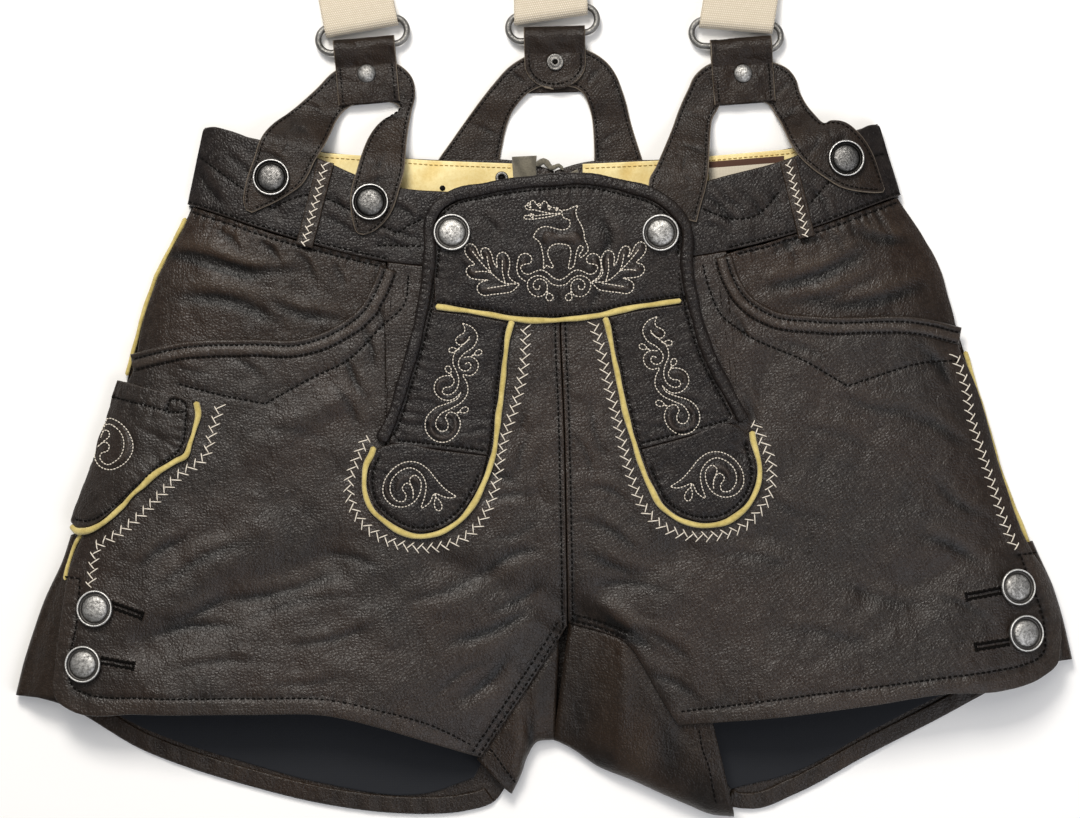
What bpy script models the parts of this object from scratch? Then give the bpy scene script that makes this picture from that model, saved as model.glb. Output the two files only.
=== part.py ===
"""Short leather lederhosen with braces, laid flat on a table with the front up.

Lengths in the tables are millimetres, x to the right and y from the leg hems up to the waist
and the braces; every mesh is made in metres, +Z up. Each leather piece is an open surface that
follows the height of the lying garment and gets its thickness from a Solidify modifier.
"""
import math

import bmesh
import bpy
import numpy as np
from mathutils import Vector

MM = 0.001

# Driving sizes of the garment, mm
LEATHER = 1.5
BAND_LEATHER = 1.8
TRIM_LEATHER = 1.4
CHAMOIS = 1.0
LINING = 1.0
LABEL = 0.6
SEAM_GAP = 0.3
CENTRE_GAP = 0.5
BUTTON_RADIUS = 9.8
RIVET_RADIUS = 4.9
SNAP_RADIUS = 4.6
PIPING_WIDTH = 2.9
PIPING_HEIGHT = 2.8
SIDE_PIPING_WIDTH = 2.2
SIDE_PIPING_HEIGHT = 2.2
BINDING_WIDTH = 6.5
BINDING_HEIGHT = 4.2
WELT_WIDTH = 9.0
WELT_HEIGHT = 2.6
# The welt's middle and the front's edge, both below the pocket's mouth line
WELT_DROP = 3.4
WELT_CLEAR = 8.9
# Crowding of a panel's places towards its outer edge
SIDE_EASE = 1.3

# Braces, mm
ELASTIC_WIDTH = 39.0
ELASTIC = 1.5
LOOP_WIDTH = 32.5
LOOP_HEIGHT = 35.0
TONGUE_SHORT = 1.8
TONGUE_LENGTH = 13.5
FORK_LEATHER = 1.6
RING_HALF_LENGTH = 23.8
RING_HALF_HEIGHT = 7.0
RING_WIRE = 1.7
WRAP_RADIUS = 3.7
LOOP_REACH = 4.9
ELASTIC_REACH = 4.4
LAYER_ON_TABLE = 0.85
BAR_HEIGHT = LAYER_ON_TABLE + WRAP_RADIUS
DOUBLED_LENGTH = 36.0
FRONT_ELASTIC_RISE = 286.4
FOLD_RADIUS = 1.3
YOKE_CENTRE = (5.0, 530.0)
YOKE_RADIUS = 44.0
YOKE_CLEAR = 24.0

# Heights of the lying garment above the table, mm
BACK_LEVEL = LEATHER / 2
EDGE_ROUNDING = 16.0
FACING_DROP = 2.1
THIGH_DROP = 2.5
VENT_DROP = 2.9
BAND_LEVEL = 2.9
FORK_ON_BAND = 2.5
FORK_IN_LOOP = 2.9

# Middle of the whole lay, mm, which becomes the origin
MIDDLE_X = -0.5
MIDDLE_Y = 357.5

# Side outline of the lying garment, from the waistband's top down to the hem
SIDE_LEFT = np.array([
    # x, y
    (-181, 366), (-190, 325), (-196, 312), (-209, 287), (-217, 263), (-225, 232), (-237, 192),
    (-249, 160), (-256, 136), (-265, 115), (-276, 81), (-280, 64)], float)
SIDE_RIGHT = np.array([
    (177, 368), (189, 330), (204, 306), (217, 274), (231, 229), (245, 181), (261, 140),
    (269, 122), (274, 105), (279, 83)], float)

# Height of the front's middle line, and of its edge at the sides, by distance from the hem
BODY_HEIGHT = np.array([
    # y, middle, edge
    (0, 20.0, 7.8), (55, 25.0, 7.8), (110, 24.0, 7.6), (165, 21.5, 6.2), (230, 19.0, 5.2),
    (300, 17.0, 5.0), (370, 14.5, 5.0)], float)

# Folds and swellings of the front: a line from start to end, its height (a trough is negative)
# and its half width
FOLDS = np.array([
    # x0, y0, x1, y1, height, width
    (-190, 58, -90, 56, 5.0, 36.0),
    (130, 58, 210, 66, 5.0, 36.0),
    (-208, 92, -112, 136, -3.0, 11.0),
    (-205, 112, -150, 150, 1.6, 10.0),
    (24, 120, 42, 97, 1.6, 6.0),
    (44, 94, 68, 55, 2.2, 8.0),
    (19, 110, 38, 98, -2.2, 5.0),
    (4, 112, -58, 138, -2.0, 8.0),
    (-14, 76, -44, 66, -1.6, 7.0),
    (26, 118, 74, 142, -1.8, 8.0),
    (112, 150, 190, 118, -1.6, 11.0),
    (240, 150, 196, 122, -1.8, 9.0),
    (118, 240, 106, 196, -1.4, 7.0),
    (-20, 232, -2, 168, -1.0, 7.0),
    (-150, 196, -108, 222, 1.2, 10.0),
], float)

INSEAM_LEFT = np.array([(11.5, 101), (4, 89), (-34, 32)], float)
INSEAM_RIGHT = np.array([
    (12.5, 103), (28, 99), (42, 93.5), (45.5, 90), (51, 81.5), (58, 69), (64.5, 58), (70, 50)],
    float)

FLAP_BUMP = (66.0, 324.0, 20.0, 2.2)


def curve(points, count, ease=1.0):
    """Smooth line through the points, read at evenly spaced lengths.

    Between two points runs a cubic Hermite arc, whose end slopes are the differences of the
    neighbouring points over the chord lengths. An ease above 1 crowds the places at the start.
    """
    points = np.asarray(points, float)
    chord = np.concatenate([[0], np.cumsum(np.linalg.norm(np.diff(points, axis=0), axis=1))])
    slope = np.gradient(points, chord, axis=0)
    along = np.linspace(0, chord[-1], 16 * len(points))
    start = np.clip(np.searchsorted(chord, along, side="right") - 1, 0, len(chord) - 2)
    span = (chord[start + 1] - chord[start])[:, None]
    f = (along[:, None] - chord[start][:, None]) / span
    fine = (
        (2 * f**3 - 3 * f**2 + 1) * points[start]
        + (f**3 - 2 * f**2 + f) * span * slope[start]
        + (3 * f**2 - 2 * f**3) * points[start + 1]
        + (f**3 - f**2) * span * slope[start + 1]
    )
    length = np.concatenate([[0], np.cumsum(np.linalg.norm(np.diff(fine, axis=0), axis=1))])
    places = length[-1] * np.linspace(0, 1, count) ** ease
    return np.stack([np.interp(places, length, fine[:, i]) for i in range(fine.shape[1])], axis=1)


def joined(*lines):
    """One line from several that meet at corners, each corner kept once."""
    return np.vstack([line[:-1] for line in lines[:-1]] + [lines[-1]])


def beside(line, distance):
    """The plan line moved to its left-hand side by a distance."""
    along = np.gradient(line, axis=0)
    along /= np.linalg.norm(along, axis=1)[:, None]
    return line + distance * np.stack([-along[:, 1], along[:, 0]], axis=1)


def share(line):
    """How far along a line each point lies, from 0 to 1."""
    length = np.concatenate([[0], np.cumsum(np.linalg.norm(np.diff(line, axis=0), axis=1))])
    return length / length[-1]


def patch(top, bottom, left, right):
    """Coons patch between four plan lines; top and bottom run left to right, the sides down."""
    u = ((share(top) + share(bottom)) / 2)[None, :, None]
    v = ((share(left) + share(right)) / 2)[:, None, None]
    across = (1 - v) * top[None] + v * bottom[None]
    down = (1 - u) * left[:, None] + u * right[:, None]
    corners = (
        (1 - u) * (1 - v) * (top[0] + left[0]) / 2
        + u * (1 - v) * (top[-1] + right[0]) / 2
        + (1 - u) * v * (bottom[0] + left[-1]) / 2
        + u * v * (bottom[-1] + right[-1]) / 2
    )
    return across + down - corners


def distance_to(line, x, y):
    """Distance from each point to a plan line of straight runs."""
    nearest = np.full(np.shape(x), 1e9)
    for (x0, y0), (x1, y1) in zip(line[:-1], line[1:]):
        f = ((x - x0) * (x1 - x0) + (y - y0) * (y1 - y0)) / ((x1 - x0) ** 2 + (y1 - y0) ** 2)
        f = np.clip(f, 0, 1)
        nearest = np.minimum(nearest, np.hypot(x - x0 - f * (x1 - x0), y - y0 - f * (y1 - y0)))
    return nearest


def smoothstep(f):
    f = np.clip(f, 0, 1)
    return f * f * (3 - 2 * f)


def side_x(outline, y):
    return np.interp(-y, -outline[:, 1], outline[:, 0])


def front(x, y):
    """Height of the front's middle surface above the table.

    It rises from the edge height at the side outline to the middle height with an exponential
    rounding, sinks towards the inseams between the legs, and carries each fold as a bell-shaped
    ridge or trough along its line.
    """
    x = np.asarray(x, float)
    y = np.asarray(y, float)
    middle = np.interp(y, BODY_HEIGHT[:, 0], BODY_HEIGHT[:, 1])
    edge = np.interp(y, BODY_HEIGHT[:, 0], BODY_HEIGHT[:, 2])
    inside = np.minimum(x - side_x(SIDE_LEFT, y), side_x(SIDE_RIGHT, y) - x)
    inside = np.maximum(inside, 0)
    height = edge + (middle - edge) * (1 - np.exp(-inside / EDGE_ROUNDING))
    height = height - 9.0 * np.exp(-distance_to(INSEAM_LEFT, x, y) / 16.0)
    height = height - 5.0 * np.exp(-distance_to(INSEAM_RIGHT, x, y) / 10.0)
    for x0, y0, x1, y1, depth, width in FOLDS:
        away = distance_to(np.array([(x0, y0), (x1, y1)]), x, y)
        height = height + depth * np.exp(-((away / width) ** 2)) * smoothstep(inside / 20.0)
    return height


def flap(x, y):
    """The flap's middle surface, which lies higher over the waistband and the brace under it."""
    bump_x, bump_y, bump_size, bump = FLAP_BUMP
    over_brace = bump * np.exp(-((x - bump_x) ** 2 + (y - bump_y) ** 2) / bump_size**2)
    return front(x, y) + 2.5 + 1.3 * smoothstep((y - 262) / 40.0) + over_brace


def table(x, y):
    return np.zeros(np.shape(x))


def back_band(x, y):
    """The back waistband's middle surface: on the table at its seam, raised over the fork."""
    seam = np.interp(x, BACK_BAND_BOTTOM[:, 0], BACK_BAND_BOTTOM[:, 1])
    return BAND_LEATHER / 2 + (BAND_LEVEL - BAND_LEATHER / 2) * smoothstep((y - seam) / 12.0)


def front_fork(x, y):
    """A front fork's middle surface: in the loop's fold, then climbing onto the waistband."""
    top = np.interp(x, FRONT_BAND_TOP[:, 0], FRONT_BAND_TOP[:, 1])
    climb = smoothstep((378 - y) / (378 - top - 1))
    return FORK_IN_LOOP + (front(x, np.minimum(y, top)) + FORK_ON_BAND - FORK_IN_LOOP) * climb


def back_fork(x, y):
    """The back fork's middle surface: in the loop's fold, then down to the table."""
    return LAYER_ON_TABLE + (FORK_IN_LOOP - LAYER_ON_TABLE) * smoothstep((y - 368) / 14.0)


def raised(plan, surface, lift=0.0):
    """Plan points put on a surface and moved out along its normal."""
    x = plan[..., 0]
    y = plan[..., 1]
    step = 0.5
    slope_x = (surface(x + step, y) - surface(x - step, y)) / (2 * step)
    slope_y = (surface(x, y + step) - surface(x, y - step)) / (2 * step)
    normal = np.stack([-slope_x, -slope_y, np.ones(np.shape(x))], axis=-1)
    normal /= np.linalg.norm(normal, axis=-1)[..., None]
    point = np.stack([x, y, surface(x, y)], axis=-1)
    return point + lift * normal, normal


def rgb(hex_colour):
    """Linear colour of an sRGB hex value."""
    parts = [int(hex_colour[i:i + 2], 16) / 255 for i in (0, 2, 4)]
    return [c / 12.92 if c <= 0.04045 else ((c + 0.055) / 1.055) ** 2.4 for c in parts]


FINISHES = {
    # name: colour, roughness, metallic
    "leather": ("3d342f", 0.5, 0.0),
    "facing_leather": ("4a3b31", 0.5, 0.0),
    "brace_leather": ("3b312c", 0.55, 0.0),
    "chamois": ("dcbb62", 0.8, 0.0),
    "lining": ("141b28", 0.9, 0.0),
    "elastic": ("e3d4bb", 0.85, 0.0),
    "metal": ("9a9a98", 0.35, 1.0),
    "suede": ("6b6658", 0.9, 0.0),
    "cloth": ("dcd6c8", 0.9, 0.0),
}


def finish(name):
    colour, roughness, metallic = FINISHES[name]
    material = bpy.data.materials.new(name)
    material.use_nodes = True
    shader = material.node_tree.nodes["Principled BSDF"]
    shader.inputs["Base Color"].default_value = (*rgb(colour), 1.0)
    shader.inputs["Roughness"].default_value = roughness
    shader.inputs["Metallic"].default_value = metallic
    return material


def in_metres(points):
    return (points - np.array([MIDDLE_X, MIDDLE_Y, 0.0])) * MM


def add_object(name, data, material):
    thing = bpy.data.objects.new(name, data)
    data.materials.append(finish(material))
    GARMENT.objects.link(thing)
    return thing


def grid_into(mesh, points):
    """Adds a grid of quads to a bmesh and moves it onto a rows x columns block of points."""
    rows, columns = points.shape[:2]
    made = bmesh.ops.create_grid(mesh, x_segments=columns - 1, y_segments=rows - 1, size=1.0)
    for vertex, place in zip(made["verts"], points.reshape(-1, 3)):
        vertex.co = place


def wall(name, blocks, thickness, material):
    """A leather or cloth wall: surface blocks joined at their shared edges, then Solidify."""
    mesh = bmesh.new()
    for block in blocks:
        grid_into(mesh, in_metres(block))
    bmesh.ops.remove_doubles(mesh, verts=mesh.verts, dist=0.00002)
    bmesh.ops.recalc_face_normals(mesh, faces=mesh.faces)
    data = bpy.data.meshes.new(name)
    mesh.to_mesh(data)
    mesh.free()
    data.shade_smooth()
    thing = add_object(name, data, material)
    solid = thing.modifiers.new("wall", "SOLIDIFY")
    solid.thickness = thickness * MM
    solid.offset = 0.0
    return thing


def sheet(name, plan, surface, lift, thickness, material):
    points, _ = raised(plan, surface, lift)
    return wall(name, [points], thickness, material)


def bead(name, line, width, height, surface, lift, material, sides=8):
    """A rolled edge: an elliptical section carried along a plan line on a surface."""
    centre, normal = raised(line, surface, lift)
    along = np.gradient(centre, axis=0)
    along /= np.linalg.norm(along, axis=1)[:, None]
    across = np.cross(along, normal)
    across /= np.linalg.norm(across, axis=1)[:, None]
    out = np.cross(across, along)
    turn = np.arange(sides) * 2 * math.pi / sides
    ring = (
        centre[:, None]
        + across[:, None] * (width / 2 * np.cos(turn))[None, :, None]
        + out[:, None] * (height / 2 * np.sin(turn))[None, :, None]
    )
    count = len(line)
    mesh = bmesh.new()
    verts = [[mesh.verts.new(p) for p in row] for row in in_metres(ring)]
    for a, b in zip(verts[:-1], verts[1:]):
        for k in range(sides):
            mesh.faces.new((a[k], a[(k + 1) % sides], b[(k + 1) % sides], b[k]))
    mesh.faces.new(verts[0])
    mesh.faces.new(verts[count - 1])
    bmesh.ops.recalc_face_normals(mesh, faces=mesh.faces)
    data = bpy.data.meshes.new(name)
    mesh.to_mesh(data)
    mesh.free()
    data.shade_smooth()
    return add_object(name, data, material)


def turned(name, profile, position, normal, material, steps=12, hollow=False):
    """A turned piece: a profile from the top centre, down the outside, to the bottom centre.

    A hollow one, such as an eyelet, closes its profile back to the first point.
    """
    data = bpy.data.meshes.new(name)
    points = [(r * MM, 0.0, z * MM) for r, z in profile]
    edges = [(i, i + 1) for i in range(len(points) - 1)]
    if hollow:
        edges.append((len(points) - 1, 0))
    data.from_pydata(points, edges, [])
    thing = add_object(name, data, material)
    spin = thing.modifiers.new("turn", "SCREW")
    spin.axis = "Z"
    spin.angle = 2 * math.pi
    spin.steps = steps
    spin.render_steps = steps
    spin.use_merge_vertices = True
    spin.merge_threshold = 0.00001
    spin.use_smooth_shade = True
    thing.location = Vector(in_metres(position))
    thing.rotation_euler = Vector(normal).to_track_quat("Z", "Y").to_euler()
    return thing


# ---------------------------------------------------------------- trousers

WAIST_SEAM_LEFT = [(-190, 325), (-132, 306), (-84, 294)]
WAIST_SEAM_MIDDLE_LEFT = [(-84, 294), (-65, 292), (8, 291)]
WAIST_SEAM_MIDDLE_RIGHT = [(8, 291), (79, 297), (97, 300)]
WAIST_SEAM_RIGHT = [(97, 300), (132, 309), (189, 330)]
FRONT_BAND_TOP = np.array([
    (-181, 366), (-168, 364), (-152, 358), (-118, 348), (-100, 340), (-76, 333), (-52, 331),
    (8, 331), (72, 332), (87, 337), (124, 347), (166, 364), (177, 368)], float)
BACK_BAND_TOP = np.array([
    (-181, 366), (-117, 353), (-61, 349), (-8, 347), (5, 343), (18, 347), (61, 349), (130, 355),
    (177, 368)], float)
BACK_BAND_BOTTOM = np.array([
    (-190, 325), (-117, 312), (-61, 309), (5, 306), (61, 309), (130, 315), (189, 330)], float)
POCKET_LEFT = [
    (-220, 244), (-193, 250), (-155, 252), (-129, 252), (-110, 259), (-96, 270), (-90, 281),
    (-86, 293)]
POCKET_RIGHT = [
    (221, 258), (199, 263), (144, 264), (121, 267), (108, 275), (100, 288), (97, 299)]
CENTRE_SEAM = [(8, 291), (8, 262), (10, 209), (11, 162), (12, 101)]
HEM_FRONT_LEFT = [
    (-259, 70), (-257, 63), (-250, 58), (-213, 56), (-156, 56), (-111, 55), (-90, 50), (-61, 41),
    (-34, 32)]
HEM_FRONT_RIGHT = [
    (273, 94), (270, 81), (262, 75), (239, 68), (211, 67), (172, 61), (117, 54), (70, 50)]
HEM_BACK_LEFT = [
    (-277, 64), (-261, 60), (-213, 34), (-156, 15), (-119, 6), (-81, 1), (-61, 0.5), (-43, 2),
    (-26, 8), (-21, 15)]
HEM_BACK_RIGHT = [
    (276, 83), (239, 67), (211, 52), (172, 32), (133, 11), (112, 3.2), (99.5, 4.2)]
CROTCH_FOLD_LEFT = [(4.3, 45), (-4, 44), (-10, 36), (-14, 27), (-21, 15)]
CROTCH_FOLD_RIGHT = [
    (5.7, 45), (14, 41), (28.6, 31), (46.5, 23.7), (61, 17), (76, 10.4), (88, 5.4), (99.5, 4.2)]
BACK_SEAM = [(5, 304.8), (5, 180), (5, 45)]



def trouser_front(name, pocket, waist, side, hem, inseam, away):
    """A front panel between side, pocket mouth, waist seam, centre seam, inseam and hem.

    away is -1 on the left and +1 on the right, the direction from the centre seam.
    """
    mouth = beside(curve(pocket, 15, SIDE_EASE), away * WELT_CLEAR)
    seam = curve(waist, 6) - np.array([0.0, SEAM_GAP])
    seam[0] = mouth[-1]
    top = joined(mouth, seam)
    centre = curve(CENTRE_SEAM, 11) + np.array([away * CENTRE_GAP / 2, 0.0])
    centre[0] = top[-1]
    leg = curve(inseam, 9) + np.array([away * CENTRE_GAP / 2, 0.0])
    leg[0] = centre[-1]
    inner = joined(centre, leg)
    outer = curve(side, len(inner))
    outer[0] = top[0]
    bottom = curve(hem, len(top), SIDE_EASE)
    bottom[0] = outer[-1]
    inner[-1] = bottom[-1]
    return sheet(name, patch(top, bottom, outer, inner), front, 0.0, LEATHER, "leather")


def folded_over(edge, target, radius, end_height, columns):
    """The wall that turns up from the table at an edge and comes back over to a target line.

    It runs round a quarter circle, then moves to the target with the square of its way while
    its height rises by 2s - s^2 of the rest.
    """
    outward = edge - target
    outward /= np.linalg.norm(outward, axis=1)[:, None]
    strips = []
    for angle in (0.0, math.pi / 4, math.pi / 2):
        plan = edge + outward * radius * math.sin(angle)
        height = np.full(len(edge), BACK_LEVEL + radius * (1 - math.cos(angle)))
        strips.append(np.column_stack([plan, height]))
    first = strips[-1]
    for s in np.linspace(0, 1, columns + 1)[1:]:
        plan = first[:, :2] + (target - first[:, :2]) * s**2
        height = first[:, 2] + (end_height - first[:, 2]) * (2 * s - s * s)
        strips.append(np.column_stack([plan, height]))
    return np.stack(strips, axis=1)


def vent_wrap(edge, target, columns):
    """The back's edge turned up round the side and tucked under the front's vent."""
    strips = []
    top = front(edge[:, 0], edge[:, 1]) - VENT_DROP
    radius = (top - BACK_LEVEL) / 2
    outward = edge - target
    outward /= np.linalg.norm(outward, axis=1)[:, None]
    for angle in np.linspace(0, math.pi, 5):
        plan = edge + outward * (radius * math.sin(angle))[:, None]
        height = BACK_LEVEL + radius * (1 - math.cos(angle))
        strips.append(np.column_stack([plan, height]))
    for s in np.linspace(0, 1, columns + 1)[1:]:
        plan = edge + (target - edge) * s
        height = front(plan[:, 0], plan[:, 1]) - VENT_DROP
        strips.append(np.column_stack([plan, height]))
    return np.stack(strips, axis=1)


def trouser_back(name, side, band_bottom, fold, hem, inseam, vent, away, vent_from):
    """A back panel: flat on the table, folded over at the inner thigh and round the vent."""
    upper = curve([(x + away * SEAM_GAP / 2, y) for x, y in BACK_SEAM], 9)
    lower = curve(fold, 8)
    upper[-1] = lower[0]
    inner = joined(upper, lower)
    count = len(inner)
    band = np.array(band_bottom, float) - np.array([0.0, 2 * SEAM_GAP])
    top = curve(band, 11)
    top[-1] = inner[0]
    outline = curve(side, 40) - np.array([away * 2.6, 0.0])
    steps = np.linspace(0, 1, count)
    outer = np.stack([np.interp(steps, np.linspace(0, 1, 40), outline[:, i]) for i in (0, 1)],
                     axis=1)
    outer[0] = top[0]
    bottom = curve(hem, len(top))
    bottom[0] = outer[-1]
    bottom[-1] = inner[-1]
    flat = patch(top, bottom, outer, inner)
    floor_points = np.concatenate([flat, np.full(flat.shape[:2] + (1,), BACK_LEVEL)], axis=2)
    # the inner thigh, from the fold up to the inseam
    seat = curve(inseam, len(lower))
    under = front(seat[:, 0], seat[:, 1]) - np.linspace(2.0, 2.4, len(seat))
    thigh = folded_over(lower, seat, 4.0, under, 6)
    thigh[..., 2] = np.minimum(thigh[..., 2], front(thigh[..., 0], thigh[..., 1]) - THIGH_DROP)
    # the side, tucked under the vent
    first = int(np.searchsorted(-outer[:, 1], -vent_from))
    rows = outer[first:]
    tuck = curve(vent, len(rows))
    wrap = vent_wrap(rows, tuck, 3)
    return wall(name, [floor_points, thigh, wrap], LEATHER, "leather")


def make_trousers():
    side_left = [(-218.2, 236), (-222.3, 228), (-233.5, 192), (-241.5, 160), (-244.6, 149),
                 (-249.6, 138.5), (-252.6, 125.4), (-254, 115), (-259, 70)]
    side_right = [(219.2, 249), (228.3, 229), (242.5, 181), (257, 142), (266, 128), (272, 112),
                  (273, 94)]
    trouser_front("front_left", POCKET_LEFT, WAIST_SEAM_MIDDLE_LEFT, side_left,
                  HEM_FRONT_LEFT, INSEAM_LEFT, -1)
    trouser_front("front_right", POCKET_RIGHT, WAIST_SEAM_MIDDLE_RIGHT[::-1], side_right,
                  HEM_FRONT_RIGHT, INSEAM_RIGHT, 1)
    thigh_left = [(10.6, 99.8), (4.6, 87), (-33, 29)]
    thigh_right = [(13.2, 101.6), (28, 96.6), (41, 91), (56, 80), (72, 68), (87, 56.5)]
    tuck_left = [(-240, 155), (-244, 128), (-248, 63)]
    tuck_right = [(250, 145), (262, 112), (262, 82)]
    trouser_back("back_left", SIDE_LEFT[1:], BACK_BAND_BOTTOM[:4], CROTCH_FOLD_LEFT,
                 HEM_BACK_LEFT, thigh_left, tuck_left, -1, 152)
    trouser_back("back_right", SIDE_RIGHT[1:], BACK_BAND_BOTTOM[::-1][:4], CROTCH_FOLD_RIGHT,
                 HEM_BACK_RIGHT, thigh_right, tuck_right, 1, 146)


def make_pockets():
    left = patch(
        curve([(-187.6, 324), (-132, 305.6), (-84, 293.6)], 9),
        curve([(-218.8, 236), (-193, 240), (-155, 242), (-118, 243)], 9),
        curve([(-187.6, 324), (-193.6, 312), (-206.6, 287), (-214.8, 263), (-218.8, 236)], 8),
        curve([(-84, 293.6), (-83, 280), (-88, 264), (-100, 251), (-118, 243)], 8))
    sheet("pocket_facing_left", left, front, -FACING_DROP, TRIM_LEATHER, "facing_leather")
    right = patch(
        curve([(188.2, 329.2), (132, 308.6), (95, 298)], 9),
        curve([(222, 249), (199, 253), (144, 254), (110, 256)], 9),
        curve([(188.2, 329.2), (203.6, 306), (216.4, 274), (222, 249)], 8),
        curve([(95, 298), (93, 287), (98, 270), (110, 256)], 8))
    sheet("pocket_facing_right", right, front, -FACING_DROP, TRIM_LEATHER, "facing_leather")
    welt_left = beside(curve([(-218.4, 244.4)] + POCKET_LEFT[1:-1] + [(-86.2, 289)], 24),
                       -WELT_DROP)
    bead("pocket_welt_left", welt_left, WELT_WIDTH, WELT_HEIGHT, front, 0.65, "leather")
    welt_right = beside(curve([(219.6, 258.4)] + POCKET_RIGHT[1:-1] + [(97.4, 294)], 24),
                        WELT_DROP)
    bead("pocket_welt_right", welt_right, WELT_WIDTH, WELT_HEIGHT, front, 0.65, "leather")


def make_waistband():
    left_bottom = WAIST_SEAM_LEFT + WAIST_SEAM_MIDDLE_LEFT[1:]
    right_bottom = WAIST_SEAM_MIDDLE_RIGHT + WAIST_SEAM_RIGHT[1:]
    centre = 8 - SEAM_GAP / 2
    left_top = [tuple(p) for p in FRONT_BAND_TOP[:7]] + [(centre, 331)]
    right_top = [(centre + SEAM_GAP, 331)] + [tuple(p) for p in FRONT_BAND_TOP[8:]]
    left_bottom[-1] = (centre, 291)
    right_bottom[0] = (centre + SEAM_GAP, 291)
    for side, top, bottom in (("left", left_top, left_bottom), ("right", right_top, right_bottom)):
        plan = patch(curve(top, 13), curve(bottom, 13), curve([top[0], bottom[0]], 4),
                     curve([top[-1], bottom[-1]], 4))
        sheet("waistband_front_" + side, plan, front, 0.0, BAND_LEATHER, "leather")
    centre_back = 5.0
    for side, away, top, bottom in (
            ("left", -1, BACK_BAND_TOP[:5], BACK_BAND_BOTTOM[:4]),
            ("right", 1, BACK_BAND_TOP[4:][::-1], BACK_BAND_BOTTOM[3:][::-1])):
        top = curve(top, 13)
        bottom = curve(bottom, 13)
        top[-1, 0] = centre_back + away * SEAM_GAP / 2
        bottom[-1, 0] = centre_back + away * SEAM_GAP / 2
        plan = patch(top, bottom, curve([top[0], bottom[0]], 5), curve([top[-1], bottom[-1]], 5))
        sheet("waistband_back_" + side, plan, back_band, 0.0, BAND_LEATHER, "leather")
    lift = BAND_LEATHER / 2 + SEAM_GAP + CHAMOIS / 2
    for side, ends in (("left", (-140, -14)), ("right", (20, 145))):
        x = np.linspace(ends[0], ends[1], 9)
        y = np.interp(x, BACK_BAND_TOP[:, 0], BACK_BAND_TOP[:, 1])
        top = np.column_stack([x, y - 0.6])
        bottom = np.column_stack([x, y - 30])
        plan = patch(top, bottom, curve([top[0], bottom[0]], 3), curve([top[-1], bottom[-1]], 3))
        sheet("facing_" + side, plan, back_band, lift, CHAMOIS, "chamois")


def make_back_closing():
    """The lace over the notch at the centre back, the eyelet beside it and the bare label."""
    lift = BAND_LEATHER / 2 + SEAM_GAP + 0.6
    line = curve([(-12.5, 339), (-2, 336), (9, 337), (18.5, 341)], 7)
    plan = np.stack([beside(line, -3.0), beside(line, 3.0)], axis=1)
    sheet("back_lace", plan, back_band, lift, 1.2, "suede")
    on_facing = BAND_LEATHER / 2 + 2 * SEAM_GAP + CHAMOIS
    eyelet = [(1.7, 0.9), (3.0, 0.9), (3.5, 0.4), (3.5, 0.0), (1.7, 0.0)]
    point, normal = raised(np.array([-23.0, 339.0]), back_band, on_facing)
    turned("eyelet", eyelet, point, normal, "metal", 12, True)
    plan = patch(
        curve([(87, 347.6), (127, 350.8)], 4), curve([(87, 333), (127, 336)], 4),
        curve([(87, 347.6), (87, 333)], 2), curve([(127, 350.8), (127, 336)], 2))
    sheet("label", plan, back_band, on_facing + LABEL / 2, LABEL, "cloth")


def make_inside():
    left = patch(
        curve([(-222, 128), (-150, 132), (-60, 128), (-6, 96)], 9),
        curve([(-262, 74), (-213, 46), (-156, 27), (-119, 17), (-61, 12), (-38, 20)], 9),
        curve([(-222, 128), (-246, 102), (-262, 74)], 5),
        curve([(-6, 96), (-16, 62), (-38, 20)], 5))
    right = patch(
        curve([(232, 134), (160, 132), (90, 124), (40, 96)], 9),
        curve([(258, 88), (211, 64), (172, 44), (133, 23), (99, 14)], 9),
        curve([(232, 134), (250, 112), (258, 88)], 5),
        curve([(40, 96), (66, 56), (99, 14)], 5))
    level = LEATHER + SEAM_GAP + LINING / 2
    sheet("lining_left", left, table, level, LINING, "lining")
    sheet("lining_right", right, table, level, LINING, "lining")


# ---------------------------------------------------------------- flap

BINDING = [
    (-86.5, 199), (-82, 208), (-74, 232), (-67, 257), (-62, 285), (-60.5, 300), (-60.5, 315),
    (-57, 322), (-50, 327.5), (-33, 332), (7, 337), (20, 337.5), (44, 333), (58, 328.5),
    (68, 321), (74, 312), (74.5, 292), (80, 264), (87, 243), (96, 226), (104.5, 210)]
CROSS_PIPING = [(-57.6, 270), (-38, 267.5), (-15, 263.5), (7, 263), (25, 265), (49, 270),
                (73.6, 273.6)]
TAB_LEFT = [(-18.5, 259.5), (-21, 242), (-24, 216), (-28, 189), (-33, 175), (-40, 163), (-48, 155),
            (-59, 150), (-71, 150), (-83, 156), (-92, 165), (-95, 176), (-94, 187), (-91, 193)]
TAB_RIGHT = [(32.4, 261.4), (36, 245), (41, 220), (46, 201), (50, 188), (55, 176), (61, 165),
             (69, 159), (82, 155), (93, 156), (103, 162), (110, 171), (113, 182), (111, 194),
             (109.4, 200)]


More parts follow.
